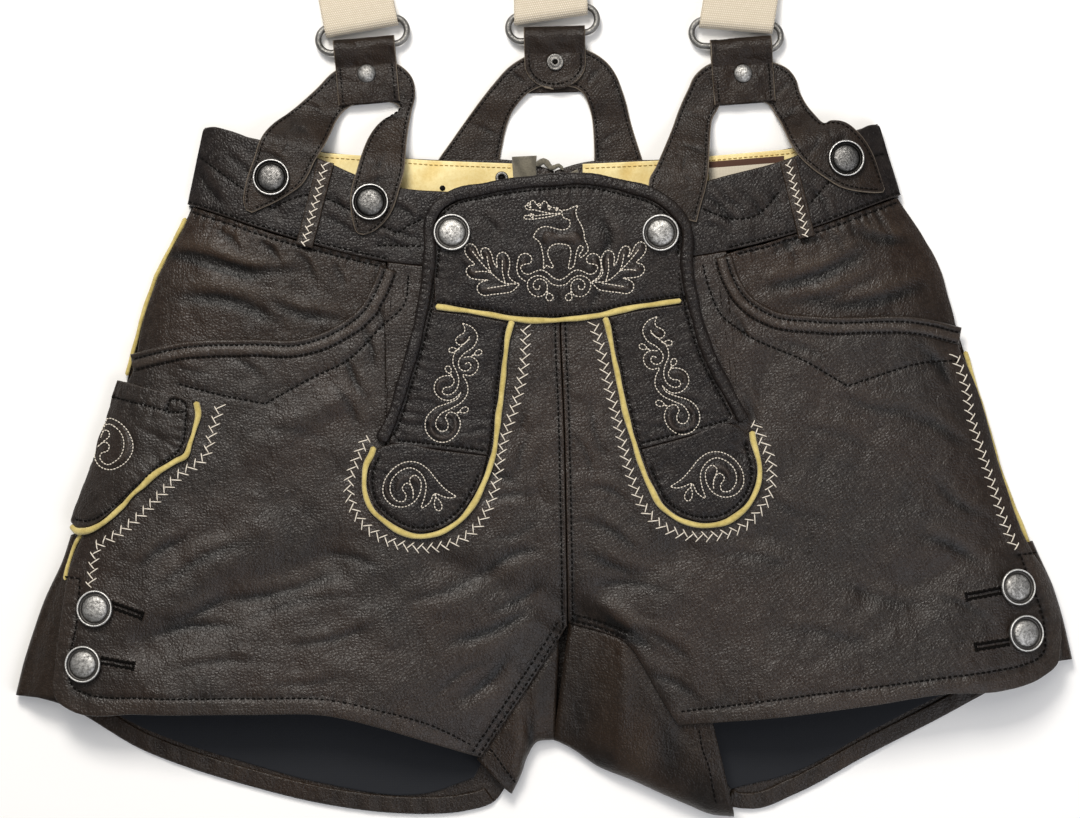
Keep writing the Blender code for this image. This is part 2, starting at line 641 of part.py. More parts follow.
def make_flap():
    yoke = patch(
        curve([(-56.6, 313), (-53, 319.6), (-46, 324), (-33, 328.2), (7, 333.2), (20, 333.6),
               (43, 329.2), (55, 325), (64.5, 318), (70, 311)], 17),
        curve([(-57, 272.2), (-38, 269.6), (-15, 265.7), (7, 265.2), (25, 267.2), (49, 272.2),
               (73, 275.8)], 17),
        curve([(-56.6, 313), (-57, 300), (-57, 272.2)], 7),
        curve([(70, 311), (70.6, 292), (73, 275.8)], 7))
    sheet("flap_yoke", yoke, flap, 0.0, TRIM_LEATHER, "leather")
    side_left = patch(
        curve([(-60.6, 268), (-38, 265.2), (-20.6, 262)], 6),
        curve([(-80.8, 198.6), (-55, 195.4), (-30.2, 191.9)], 6),
        curve([(-60.6, 268), (-63.2, 257), (-70.2, 232), (-78, 208), (-80.8, 198.6)], 9),
        curve([(-20.6, 262), (-23, 242), (-26, 216), (-30.2, 191.9)], 9))
    sheet("flap_side_left", side_left, flap, 0.0, TRIM_LEATHER, "leather")
    side_right = patch(
        curve([(34, 264.6), (49, 267.9), (74.4, 271.2)], 6),
        curve([(49.4, 195.2), (75, 202), (99.6, 209)], 6),
        curve([(34, 264.6), (38, 245), (43, 220.4), (49.4, 195.2)], 9),
        curve([(74.4, 271.2), (76.4, 263), (83.4, 241.5), (92.4, 224), (99.6, 209)], 9))
    sheet("flap_side_right", side_right, flap, 0.0, TRIM_LEATHER, "leather")
    tongue_left = patch(
        curve([(-89, 193.4), (-84, 195.8), (-78, 196), (-55, 193.6), (-30.4, 190.4)], 7),
        curve([(-90, 166.4), (-81.8, 158), (-70.4, 152.2), (-59.3, 152.2), (-49, 157),
               (-41.6, 164.6)], 7),
        curve([(-89, 193.4), (-91.9, 186.6), (-92.9, 176), (-90, 166.4)], 6),
        curve([(-30.4, 190.4), (-35, 175.8), (-41.6, 164.6)], 6))
    sheet("flap_tongue_left", tongue_left, flap, 0.0, TRIM_LEATHER, "leather")
    tongue_right = patch(
        curve([(50.4, 192.6), (75, 200.6), (99, 206.6), (107.2, 202)], 7),
        curve([(62.6, 166.8), (70, 161), (82.1, 157.2), (92.4, 158.1), (101.5, 163.7),
               (108, 172)], 7),
        curve([(50.4, 192.6), (57, 176.9), (62.6, 166.8)], 6),
        curve([(107.2, 202), (108.9, 194), (110.9, 182), (108, 172)], 6))
    sheet("flap_tongue_right", tongue_right, flap, 0.0, TRIM_LEATHER, "leather")
    bead("flap_binding", curve(BINDING, 42), BINDING_WIDTH, BINDING_HEIGHT, flap, 0.9, "leather")
    bead("piping_cross", curve(CROSS_PIPING, 18), PIPING_WIDTH, PIPING_HEIGHT, flap, 0.2, "chamois", 6)
    bead("piping_tab_left", curve(TAB_LEFT, 26), PIPING_WIDTH, PIPING_HEIGHT, flap, 0.2, "chamois", 6)
    bead("piping_tab_right", curve(TAB_RIGHT, 26), PIPING_WIDTH, PIPING_HEIGHT, flap, 0.2, "chamois", 6)


# ---------------------------------------------------------------- trim on the trousers

KNIFE_PIPING = [
    (-183.7, 220), (-182.6, 213), (-184.6, 205), (-186.6, 197.5), (-188.9, 191.8), (-194, 188.8),
    (-200.1, 185.3), (-206.8, 180.2), (-212.2, 175.1), (-217, 170.7), (-221.7, 165.3),
    (-227.1, 159.9), (-232.5, 155.5), (-237.9, 152.5), (-242.6, 151.5), (-246.7, 151.5),
    (-249.6, 153.8)]
LOWER_PIPING = [
    (-244.6, 154), (-246.4, 149.4), (-248.9, 145.2), (-250.9, 140.5), (-252.5, 135.2),
    (-253.7, 130.4), (-254.5, 125.8)]


def make_trim():
    pocket = patch(
        curve([(-227.2, 231.6), (-211.9, 227.6), (-198.5, 224.6), (-185.6, 220.4)], 13),
        curve([(-250.2, 157), (-247, 153.7), (-243, 153.4), (-238.6, 154.4), (-233.5, 157.4),
               (-228.2, 161.6), (-222.9, 166.9), (-213.3, 176.7), (-201, 187.2), (-190.6, 193.4)],
              13),
        curve([(-227.2, 231.6), (-230, 222.6), (-231.8, 213), (-236.8, 201), (-240.6, 183),
               (-247.4, 166.7), (-250.2, 157)], 10),
        curve([(-185.6, 220.4), (-184.6, 213), (-186.4, 205.2), (-188.5, 198), (-190.6, 193.4)],
              10))
    sheet("knife_pocket", pocket, front, 2.6, TRIM_LEATHER, "leather")
    bead("piping_knife", curve(KNIFE_PIPING, 26), PIPING_WIDTH, PIPING_HEIGHT, front, 2.3,
         "chamois", 6)
    for name, outline, ends, shift in (
            ("piping_side_left_upper", SIDE_LEFT, (322, 234), 1.1),
            ("piping_side_right", SIDE_RIGHT, (247, 143), -1.4)):
        y = np.linspace(ends[0], ends[1], 14)
        line = np.column_stack([side_x(outline, y) + shift, y])
        bead(name, line, SIDE_PIPING_WIDTH, SIDE_PIPING_HEIGHT, table, 2.95, "chamois", 6)
    bead("piping_side_left_lower", curve(LOWER_PIPING, 12), SIDE_PIPING_WIDTH,
         SIDE_PIPING_HEIGHT, front, -0.5, "chamois", 6)
    for side, top, bottom, width in (("left", (-115.5, 346.8), (-127, 302), 9.0),
                                     ("right", (128, 347.6), (138, 306.6), 8.8)):
        line = curve([top, bottom], 7)
        plan = np.stack([beside(line, -width / 2), beside(line, width / 2)], axis=1)
        sheet("belt_loop_" + side, plan, front, 1.95, TRIM_LEATHER, "leather")


def make_buttons():
    button = [(0.0, 4.2), (3.6, 4.0), (6.4, 3.0), (7.4, 2.4), (8.6, 3.6), (9.6, 3.0),
              (BUTTON_RADIUS, 1.8), (8.4, 0.0), (0.0, 0.0)]
    places = (
        # name, x, y, surface, lift of the base
        ("button_flap_left", -49, 309, flap, 1.2),
        ("button_flap_right", 60.8, 309, flap, 1.2),
        ("button_brace_left_outer", -144, 338, front, 3.6),
        ("button_brace_left_inner", -92, 325, front, 3.6),
        ("button_brace_right_outer", 158, 348, front, 3.6),
        ("button_leg_left_upper", -236, 111, front, 1.15),
        ("button_leg_left_lower", -242, 82, front, 1.2),
        ("button_leg_right_upper", 248, 122, front, 1.15),
        ("button_leg_right_lower", 252, 98, front, 1.15),
    )
    for name, x, y, surface, lift in places:
        point, normal = raised(np.array([x, y], float), surface, lift)
        turned(name, button, point, normal, "metal")


# ---------------------------------------------------------------- braces

# Each brace: middle of its loop's lower edge, turn of the loop in degrees, turn of the ring and
# its slide along the loop's bar, turn of the elastic and the slant of its lower end
BRACES = {
    "left": (-93.4, 378.8, 5.0, 8.5, 0.0, 11.5, -1.5),
    "back": (5.8, 384.8, 1.5, 8.0, 0.0, 0.6, 7.6),
    "right": (106.4, 378.8, 4.2, -3.4, -3.0, -9.5, 4.6),
}
# Forks: outer edge and inner edge at matching places, from one tab's end to the other
FORK_LEFT = np.array([
    # outer x, y, inner x, y
    (-157.6, 321, -154.6, 319.6), (-159.1, 325, -149.5, 321.9), (-158.9, 330.5, -142, 325.3),
    (-157.6, 336.8, -134.6, 329.6), (-155.8, 342.7, -128, 334.6), (-153.7, 348.4, -124.6, 340),
    (-151.6, 355.5, -121.4, 347), (-148.6, 361.6, -116.8, 354.5),
    (-143.6, 367.7, -113.6, 361.8), (-137.2, 373, -111, 368.8), (-129.5, 379.6, -107.6, 374),
    (-121.6, 386.8, -103, 377.6), (-112.9, 395.5, -97.5, 379.4), (-101.5, 401, -92, 380.2),
    (-88.5, 402.2, -85, 379.8), (-77.5, 399.4, -79.5, 378.5), (-70.6, 392.5, -77.3, 376.4),
    (-69, 384.5, -79.2, 373.6), (-70.8, 375, -85.2, 370.6), (-72.3, 366.5, -90, 366),
    (-73.2, 358.5, -93.9, 359.4), (-73.7, 350, -96.9, 351), (-74.3, 341.5, -99.5, 341.6),
    (-76.3, 333.8, -101.9, 333.5), (-78.6, 325.6, -102.8, 325.5), (-81.6, 318.7, -102.1, 318.6),
    (-86, 313.2, -101, 313.4), (-91.5, 309.2, -99.9, 310.2), (-95.8, 307.9, -98.6, 308.6)],
    float)
FORK_RIGHT = np.array([
    (55.2, 321, 79.9, 314.6), (54.6, 330, 82.3, 324), (55, 337.5, 84.5, 331.5),
    (58.4, 343.8, 86, 339.5), (61.8, 351.5, 86.7, 348), (65, 359, 87.3, 356.5),
    (68, 366.5, 88, 364), (70.8, 374.5, 89, 370.2), (73.6, 381.2, 91.2, 374.2),
    (76.3, 386.8, 92.6, 377), (79, 392.8, 94.6, 379.3), (84.6, 398.3, 97.5, 380.6),
    (92.5, 401.8, 101, 381.2), (103.5, 403, 105, 381.3), (114, 402.2, 109, 381),
    (122.5, 400.6, 113.5, 380.2), (129.5, 397.2, 118, 378.8), (133.7, 391.8, 120.8, 376),
    (135.6, 385.3, 122.4, 372.5), (138.5, 379.5, 124.6, 369), (143, 373.3, 126.6, 363.8),
    (148, 367.6, 129.6, 356), (152, 369, 134.6, 348.8), (158, 368.4, 141, 342.8),
    (164, 364.2, 148, 337.9), (169.2, 358.5, 155, 333.6), (173.4, 351.5, 162, 331.5),
    (176, 344.5, 169, 330.6), (178, 337.8, 175, 330.3), (179.8, 332.6, 179, 330.8)], float)
FORK_BACK = np.array([
    (-63.5, 336, -29.5, 326), (-60.5, 343, -26.2, 338), (-55.9, 350.6, -24.1, 349.5),
    (-50.8, 357.7, -22.5, 357.7), (-45.5, 365.3, -20.8, 365.3), (-40, 373, -18, 373.3),
    (-33.7, 381.4, -13.8, 379.4), (-26.6, 390.3, -9, 384.2), (-19, 398.5, -4, 387),
    (-8.5, 404.8, 0.5, 388.4), (6, 408.6, 6, 388.6), (19, 408.4, 12, 388),
    (27, 405.2, 17, 386.6), (33.5, 400.2, 20.6, 383.5), (38.1, 393.6, 23, 378.4),
    (40.9, 386.5, 24.8, 372.3), (43.2, 379.4, 25.6, 366), (45.7, 369.3, 26, 359.5),
    (48.7, 359.2, 26.2, 352.5), (52.3, 348.1, 26.2, 343), (56.5, 336, 27, 328)], float)


def make_fork(name, rows, count, surface):
    """A fork: a leather strap between its outer and its inner edge line."""
    line = curve(rows, count)
    outer = line[:, None, :2]
    inner = line[:, None, 2:]
    across = np.linspace(0, 1, 4)[None, :, None]
    return sheet(name, inner + (outer - inner) * across, surface, 0.0, FORK_LEATHER,
                 "brace_leather")


def turned_plan(x, y, angle, centre):
    """Local points turned in plan by an angle in degrees and put at a centre."""
    c = math.cos(math.radians(angle))
    s = math.sin(math.radians(angle))
    return centre[0] + c * x - s * y, centre[1] + s * x + c * y


def strap_path(back_end, reach, front_points):
    """Side view of a strap round a bar: along the table, round below the bar, back on top.

    The fold is half an ellipse, the wrap radius high and as long as its reach past the bar.
    """
    under = [(back_end, LAYER_ON_TABLE), (back_end * 0.3, LAYER_ON_TABLE)]
    toward = -math.copysign(1, back_end)
    arc = [(toward * reach * math.sin(a), BAR_HEIGHT - WRAP_RADIUS * math.cos(a))
           for a in np.linspace(0, math.pi, 8)]
    return np.array(under + arc + front_points, float)


def make_loop(name, centre, angle, tongue):
    """A leather loop round the ring's bar and the fork; a tongue ends in a half ellipse."""
    bar = LOOP_HEIGHT - LOOP_REACH - TRIM_LEATHER / 2
    front_points = [(-3.4, BAR_HEIGHT + WRAP_RADIUS - 0.7), (-6.6, 6.0), (-8.9, 5.05)]
    if tongue:
        tip = TONGUE_SHORT - bar
        front_points += [(tip + TONGUE_LENGTH * f, 5.0)
                         for f in (1.0, 0.75, 0.5, 0.3, 0.14, 0.04, 0.005)]
    else:
        front_points += [(-bar, 5.0)]
    path = strap_path(-bar, LOOP_REACH, front_points)
    width = np.full(len(path), LOOP_WIDTH)
    if tongue:
        left = np.clip((path[-7:, 0] - tip) / TONGUE_LENGTH, 0, 1)
        width[-7:] *= np.sqrt(1 - (1 - left) ** 2)
    rows = []
    for f in (-0.5, 0.5):
        x, y = turned_plan(f * width, path[:, 0] + bar, angle, centre)
        rows.append(np.column_stack([x, y, path[:, 1]]))
    wall(name, [np.stack(rows, axis=1)], TRIM_LEATHER, "brace_leather")
    return turned_plan(0.0, bar, angle, centre)


def make_ring(name, centre, angle):
    """An oval ring of round wire: two straight bars and two half circles."""
    straight = RING_HALF_LENGTH - RING_HALF_HEIGHT
    points = []
    for end in (1, -1):
        for a in np.linspace(-math.pi / 2, math.pi / 2, 7):
            points.append((end * (straight + RING_HALF_HEIGHT * math.cos(a)),
                           end * RING_HALF_HEIGHT * math.sin(a)))
        points.append((0.0, end * RING_HALF_HEIGHT))
    outline = np.array(points)
    x, y = turned_plan(outline[:, 0], outline[:, 1], angle, centre)
    places = in_metres(np.column_stack([x, y, np.full(len(x), BAR_HEIGHT)]))
    data = bpy.data.curves.new(name, "CURVE")
    data.dimensions = "3D"
    data.bevel_depth = RING_WIRE * MM
    data.bevel_resolution = 2
    spline = data.splines.new("POLY")
    spline.points.add(len(places) - 1)
    for point, place in zip(spline.points, places):
        point.co = (*place, 1.0)
    spline.use_cyclic_u = True
    return add_object(name, data, "metal")


def make_elastic(name, centre, angle, slant, end, rise):
    """Elastic webbing from its sewn end, round the ring's bar, up, and folded back to the yoke.

    Past the fold line the flat strap rolls round the fold radius and runs back mirrored.
    """
    start = [(8, BAR_HEIGHT + WRAP_RADIUS - 0.9), (18, 4.8), (28, 3.3), (38, 2.6),
             (47, LAYER_ON_TABLE)]
    path = strap_path(DOUBLED_LENGTH, ELASTIC_REACH, start)
    along = np.array([-math.sin(math.radians(angle)), math.cos(math.radians(angle))])
    side = np.array([along[1], -along[0]]) + along * math.tan(math.radians(slant))
    half = ELASTIC_WIDTH / 2
    columns = []
    if rise is None:
        path = np.vstack([path, [(end, LAYER_ON_TABLE)]])
        for f in (-half, half):
            plan = np.array(centre) + path[:, :1] * along + f * side
            columns.append(np.column_stack([plan, path[:, 1]]))
    else:
        corner = np.array(centre) + along * rise
        back = np.array(YOKE_CENTRE) - corner
        length = np.linalg.norm(back) - YOKE_CLEAR
        back /= np.linalg.norm(back)
        crease = (along + back) / np.linalg.norm(along + back)
        beyond = along - crease * (along @ crease)
        beyond /= np.linalg.norm(beyond)
        lean = (side @ beyond) / (along @ beyond)
        reach = along @ beyond
        for f in (-half, half):
            run = np.concatenate([
                [80, rise - 60 + f * -lean * 0.5],
                rise - f * lean + np.concatenate([
                    [-8], np.linspace(0, math.pi * FOLD_RADIUS, 6) / reach,
                    [8, 50, 84, 104]]),
                [rise + length]])
            plan = np.array(centre) + run[:, None] * along + f * side
            over = (plan - corner) @ beyond
            angle_over = np.clip(over / FOLD_RADIUS, 0, math.pi)
            bent = np.where(over < 0, over, np.where(
                over < math.pi * FOLD_RADIUS, FOLD_RADIUS * np.sin(angle_over),
                math.pi * FOLD_RADIUS - over))
            height = LAYER_ON_TABLE + FOLD_RADIUS * (1 - np.cos(angle_over))
            height[-2:] = LAYER_ON_TABLE
            plan = plan + (bent - over)[:, None] * beyond
            low = np.array(centre) + path[:, :1] * along + f * side
            columns.append(np.vstack([np.column_stack([low, path[:, 1]]),
                                      np.column_stack([plan, height])]))
    return wall(name, [np.stack(columns, axis=1)], ELASTIC, "elastic")


def make_yoke():
    """The leather patch over the three strap ends: a triangle with rounded corners."""
    turn = np.linspace(0, 2 * math.pi, 25)[:-1]
    radius = YOKE_RADIUS * (1 + 0.12 * np.cos(3 * (turn + math.pi / 2)))
    x = YOKE_CENTRE[0] + radius * np.cos(turn)
    y = YOKE_CENTRE[1] + radius * np.sin(turn)
    height = 2 * LAYER_ON_TABLE + 1.2
    ring = in_metres(np.column_stack([x, y, np.full(len(x), height)]))
    mesh = bmesh.new()
    mesh.faces.new([mesh.verts.new(p) for p in ring])
    data = bpy.data.meshes.new("yoke")
    mesh.to_mesh(data)
    mesh.free()
    thing = add_object("yoke", data, "brace_leather")
    solid = thing.modifiers.new("wall", "SOLIDIFY")
    solid.thickness = 2.0 * MM
    solid.offset = 0.0


def make_braces():
    rivet = [(0.0, 2.0), (2.4, 1.8), (4.1, 1.1), (RIVET_RADIUS, 0.3), (RIVET_RADIUS, 0.0),
             (0.0, 0.0)]
    snap = [(1.2, 0.5), (1.6, 1.1), (2.5, 1.1), (2.9, 0.7), (3.8, 1.0), (SNAP_RADIUS, 0.5),
            (SNAP_RADIUS, 0.0), (1.2, 0.0)]
    for name, (x, y, loop_turn, ring_turn, slide, elastic_turn, slant) in BRACES.items():
        back = name == "back"
        bar = make_loop("brace_loop_" + name, (x, y), loop_turn, back)
        ring = turned_plan(slide, RING_HALF_HEIGHT, ring_turn, bar)
        make_ring("ring_" + name, ring, ring_turn)
        top_bar = turned_plan(slide, 2 * RING_HALF_HEIGHT, ring_turn, bar)
        if back:
            end = YOKE_CENTRE[1] - YOKE_CLEAR + 8 - top_bar[1]
            make_elastic("elastic_back", top_bar, elastic_turn, slant, end, None)
        else:
            make_elastic("elastic_" + name, top_bar, elastic_turn, slant, None,
                         FRONT_ELASTIC_RISE)
        spot = np.array([*turned_plan(0.0, LOOP_HEIGHT * 0.45, loop_turn, (x, y)), 6.1])
        turned("rivet_" + name, snap if back else rivet, spot, (0, 0, 1), "metal", 12, back)
    make_fork("brace_fork_left", FORK_LEFT, 34, front_fork)
    make_fork("brace_fork_right", FORK_RIGHT, 34, front_fork)
    make_fork("brace_fork_back", FORK_BACK, 24, back_fork)
    make_yoke()


for old in list(bpy.data.objects):
    bpy.data.objects.remove(old, do_unlink=True)
GARMENT = bpy.data.collections.new("lederhosen")
bpy.context.scene.collection.children.link(GARMENT)

make_trousers()
make_pockets()
make_waistband()
make_back_closing()
make_inside()
make_flap()
make_trim()
make_buttons()
make_braces()
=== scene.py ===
# %% [markdown]
# # Short leather lederhosen with braces
#
# The shorts lie on a table with the front up. Their frame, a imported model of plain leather
# solids, is loaded first and stays where it is. Each step below makes one group of pieces again
# as fine surfaces in the same places: leather panels, the flap, rolled edges, thread, buttons
# and the braces. Lengths are written in millimetres, with x to the right and y from the leg hems
# up to the waist, and become metres only when a mesh is made.

# %% Load the frame
import math

import bpy
import numpy as np
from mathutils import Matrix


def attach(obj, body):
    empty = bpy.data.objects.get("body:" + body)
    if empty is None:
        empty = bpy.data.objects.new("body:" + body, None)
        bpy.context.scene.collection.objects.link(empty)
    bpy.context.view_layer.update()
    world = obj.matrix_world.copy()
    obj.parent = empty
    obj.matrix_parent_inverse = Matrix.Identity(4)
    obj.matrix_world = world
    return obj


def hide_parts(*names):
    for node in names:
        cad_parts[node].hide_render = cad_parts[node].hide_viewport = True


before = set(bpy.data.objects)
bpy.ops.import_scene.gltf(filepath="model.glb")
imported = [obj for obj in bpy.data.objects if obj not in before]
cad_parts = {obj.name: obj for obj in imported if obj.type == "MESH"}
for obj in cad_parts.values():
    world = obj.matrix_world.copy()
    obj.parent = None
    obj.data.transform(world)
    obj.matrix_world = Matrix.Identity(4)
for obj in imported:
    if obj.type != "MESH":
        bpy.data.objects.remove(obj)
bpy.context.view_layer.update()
print("frame loaded:", len(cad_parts), "nodes")

# %% [markdown]
# ## Sizes
#
# A shared table of sizes keeps the visible leather on the same shapes as the solids: the
# thickness of each leather, the outlines, the height of the lying garment and its folds. The
# same numbers could be read back from the frame's meshes, but a named table says what each one
# is and lets a new grid be as fine as it needs to be.

# %% Thicknesses, widths and levels
MM = 0.001
MIDDLE = np.array([-0.5, 357.5, 0.0])
LEATHER = 1.5
BAND_LEATHER = 1.8
TRIM_LEATHER = 1.4
FORK_LEATHER = 1.6
YOKE_LEATHER = 2.0
CHAMOIS = 1.0
LINING = 1.0
LABEL = 0.6
ELASTIC = 1.5
SEAM_GAP = 0.3
CENTRE_GAP = 0.5
WELT_CLEAR = 8.9
THIGH_DROP = 2.5
BUTTON_RADIUS = 9.8
RIVET_RADIUS = 4.9
SNAP_RADIUS = 4.6
PIPING = (2.9, 2.8)
SIDE_PIPING = (2.3, 2.3)
BINDING_ROLL = (6.5, 4.2)
ELASTIC_WIDTH = 39.0
LOOP_WIDTH = 32.5
LOOP_HEIGHT = 35.0
TONGUE_SHORT = 1.8
TONGUE_LENGTH = 13.5
LOOP_REACH = 4.9
ELASTIC_REACH = 4.4
RING_HALF_LENGTH = 23.8
RING_HALF_HEIGHT = 7.0
RING_WIRE = 1.7
WRAP_RADIUS = 3.7
LAYER_ON_TABLE = 0.85
BAR_HEIGHT = LAYER_ON_TABLE + WRAP_RADIUS
DOUBLED_LENGTH = 36.0
FRONT_ELASTIC_RISE = 286.4
FOLD_RADIUS = 1.3
YOKE_CENTRE = np.array([5.0, 530.0])
YOKE_RADIUS = 44.0
YOKE_CLEAR = 24.0
BACK_LEVEL = LEATHER / 2
EDGE_ROUNDING = 16.0
FACING_DROP = 2.1
VENT_DROP = 2.9
BAND_LEVEL = 2.9
FORK_ON_BAND = 2.5
FORK_IN_LOOP = 2.9
LEFT_INSEAM_SINK = (9.0, 16.0)  # depth, width
RIGHT_INSEAM_SINK = (5.0, 10.0)
FOLD_FADE = 20.0
BAND_CLIMB = 12.0
FRONT_FORK_CLIMB = 378.0
BACK_FORK_CLIMB = (368.0, 14.0)
FLAP_LIFT = 2.5
FLAP_CLIMB = (262.0, 40.0, 1.3)  # y where it starts, over how much y, height
FLAP_BUMP = (66.0, 324.0, 20.0, 2.2)  # x, y, size, height
WELT_LIFT = 0.85
KNIFE_POCKET_LIFT = 2.6
BELT_LOOP_LIFT = 1.95

# %% Outlines and folds of the lying garment
SIDE_LEFT = np.array([
    # x, y
    (-181, 366), (-190, 325), (-196, 312), (-209, 287), (-217, 263), (-225, 232), (-237, 192),
    (-249, 160), (-256, 136), (-265, 115), (-276, 81), (-280, 64)], float)
SIDE_RIGHT = np.array([
    (177, 368), (189, 330), (204, 306), (217, 274), (231, 229), (245, 181), (261, 140),
    (269, 122), (274, 105), (279, 83)], float)
BODY_HEIGHT = np.array([
    # y, middle, edge
    (0, 20.0, 7.8), (55, 25.0, 7.8), (110, 24.0, 7.6), (165, 21.5, 6.2), (230, 19.0, 5.2),
    (300, 17.0, 5.0), (370, 14.5, 5.0)], float)
FOLDS = [
    # x0, y0, x1, y1, height, width
    (-190, 58, -90, 56, 5.0, 36.0),
    (130, 58, 210, 66, 5.0, 36.0),
    (-208, 92, -112, 136, -3.0, 11.0),
    (-205, 112, -150, 150, 1.6, 10.0),
    (24, 120, 42, 97, 1.6, 6.0),
    (44, 94, 68, 55, 2.2, 8.0),
    (19, 110, 38, 98, -2.2, 5.0),
    (4, 112, -58, 138, -2.0, 8.0),
    (-14, 76, -44, 66, -1.6, 7.0),
    (26, 118, 74, 142, -1.8, 8.0),
    (112, 150, 190, 118, -1.6, 11.0),
    (240, 150, 196, 122, -1.8, 9.0),
    (118, 240, 106, 196, -1.4, 7.0),
    (-20, 232, -2, 168, -1.0, 7.0),
    (-150, 196, -108, 222, 1.2, 10.0),
]
INSEAM_LEFT = [(11.5, 101), (4, 89), (-34, 32)]
INSEAM_RIGHT = [
    (12.5, 103), (28, 99), (42, 93.5), (45.5, 90), (51, 81.5), (58, 69), (64.5, 58), (70, 50)]
FRONT_BAND_TOP = np.array([
    (-181, 366), (-168, 364), (-152, 358), (-118, 348), (-100, 340), (-76, 333), (-52, 331),
    (8, 331), (72, 332), (87, 337), (124, 347), (166, 364), (177, 368)], float)
BACK_BAND_TOP = np.array([
    (-181, 366), (-117, 353), (-61, 349), (-8, 347), (5, 343), (18, 347), (61, 349), (130, 355),
    (177, 368)], float)
BACK_BAND_BOTTOM = np.array([
    (-190, 325), (-117, 312), (-61, 309), (5, 306), (61, 309), (130, 315), (189, 330)], float)
WAIST_SEAM_LEFT = [(-190, 325), (-132, 306), (-84, 294)]
WAIST_SEAM_MIDDLE_LEFT = [(-84, 294), (-65, 292), (8, 291)]
WAIST_SEAM_MIDDLE_RIGHT = [(8, 291), (79, 297), (97, 300)]
WAIST_SEAM_RIGHT = [(97, 300), (132, 309), (189, 330)]
POCKET_LEFT = [
    (-220, 244), (-193, 250), (-155, 252), (-129, 252), (-110, 259), (-96, 270), (-90, 281),
    (-86, 293)]
POCKET_RIGHT = [
    (221, 258), (199, 263), (144, 264), (121, 267), (108, 275), (100, 288), (97, 299)]
CENTRE_SEAM = [(8, 291), (8, 262), (10, 209), (11, 162), (12, 101)]
HEM_FRONT_LEFT = [
    (-259, 70), (-257, 63), (-250, 58), (-213, 56), (-156, 56), (-111, 55), (-90, 50), (-61, 41),
    (-34, 32)]
HEM_FRONT_RIGHT = [
    (273, 94), (270, 81), (262, 75), (239, 68), (211, 67), (172, 61), (117, 54), (70, 50)]
HEM_BACK_LEFT = [
    (-277, 64), (-261, 60), (-213, 34), (-156, 15), (-119, 6), (-81, 1), (-61, 0.5), (-43, 2),
    (-26, 8), (-21, 15)]
HEM_BACK_RIGHT = [
    (276, 83), (239, 67), (211, 52), (172, 32), (133, 11), (112, 3.2), (99.5, 4.2)]
CROTCH_FOLD_LEFT = [(4.3, 45), (-4, 44), (-10, 36), (-14, 27), (-21, 15)]
CROTCH_FOLD_RIGHT = [
    (5.7, 45), (14, 41), (28.6, 31), (46.5, 23.7), (61, 17), (76, 10.4), (88, 5.4), (99.5, 4.2)]
BACK_SEAM = [(5, 304.8), (5, 180), (5, 45)]
FRONT_SIDE_LEFT = [
    (-218.2, 236), (-222.3, 228), (-233.5, 192), (-241.5, 160), (-244.6, 149), (-249.6, 138.5),
    (-252.6, 125.4), (-254, 115), (-259, 70)]
FRONT_SIDE_RIGHT = [
    (219.2, 249), (228.3, 229), (242.5, 181), (257, 142), (266, 128), (272, 112), (273, 94)]
BINDING = [
    (-86.5, 199), (-82, 208), (-74, 232), (-67, 257), (-62, 285), (-60.5, 300), (-60.5, 315),
    (-57, 322), (-50, 327.5), (-33, 332), (7, 337), (20, 337.5), (44, 333), (58, 328.5),
    (68, 321), (74, 312), (74.5, 292), (80, 264), (87, 243), (96, 226), (104.5, 210)]
CROSS_PIPING = [(-57.6, 270), (-38, 267.5), (-15, 263.5), (7, 263), (25, 265), (49, 270),
                (73.6, 273.6)]
TAB_LEFT = [(-18.5, 259.5), (-21, 242), (-24, 216), (-28, 189), (-33, 175), (-40, 163), (-48, 155),
            (-59, 150), (-71, 150), (-83, 156), (-92, 165), (-95, 176), (-94, 187), (-91, 193)]
TAB_RIGHT = [(32.4, 261.4), (36, 245), (41, 220), (46, 201), (50, 188), (55, 176), (61, 165),
             (69, 159), (82, 155), (93, 156), (103, 162), (110, 171), (113, 182), (111, 194),
             (109.4, 200)]
KNIFE_PIPING = [
    (-183.7, 220), (-182.6, 213), (-184.6, 205), (-186.6, 197.5), (-188.9, 191.8), (-194, 188.8),
    (-200.1, 185.3), (-206.8, 180.2), (-212.2, 175.1), (-217, 170.7), (-221.7, 165.3),
    (-227.1, 159.9), (-232.5, 155.5), (-237.9, 152.5), (-242.6, 151.5), (-246.7, 151.5),
    (-249.6, 153.8)]
LOWER_PIPING = [
    (-244.6, 154), (-246.4, 149.4), (-248.9, 145.2), (-250.9, 140.5), (-252.5, 135.2),
    (-253.7, 130.4), (-254.5, 125.8)]
BRACES = {
    # side: x, y and turn of the loop, turn and slide of the ring, turn and slant of the elastic
    "left": (-93.4, 378.8, 5.0, 8.5, 0.0, 11.5, -1.5),
    "back": (5.8, 384.8, 1.5, 8.0, 0.0, 0.6, 7.6),
    "right": (106.4, 378.8, 4.2, -3.4, -3.0, -9.5, 4.6),
}
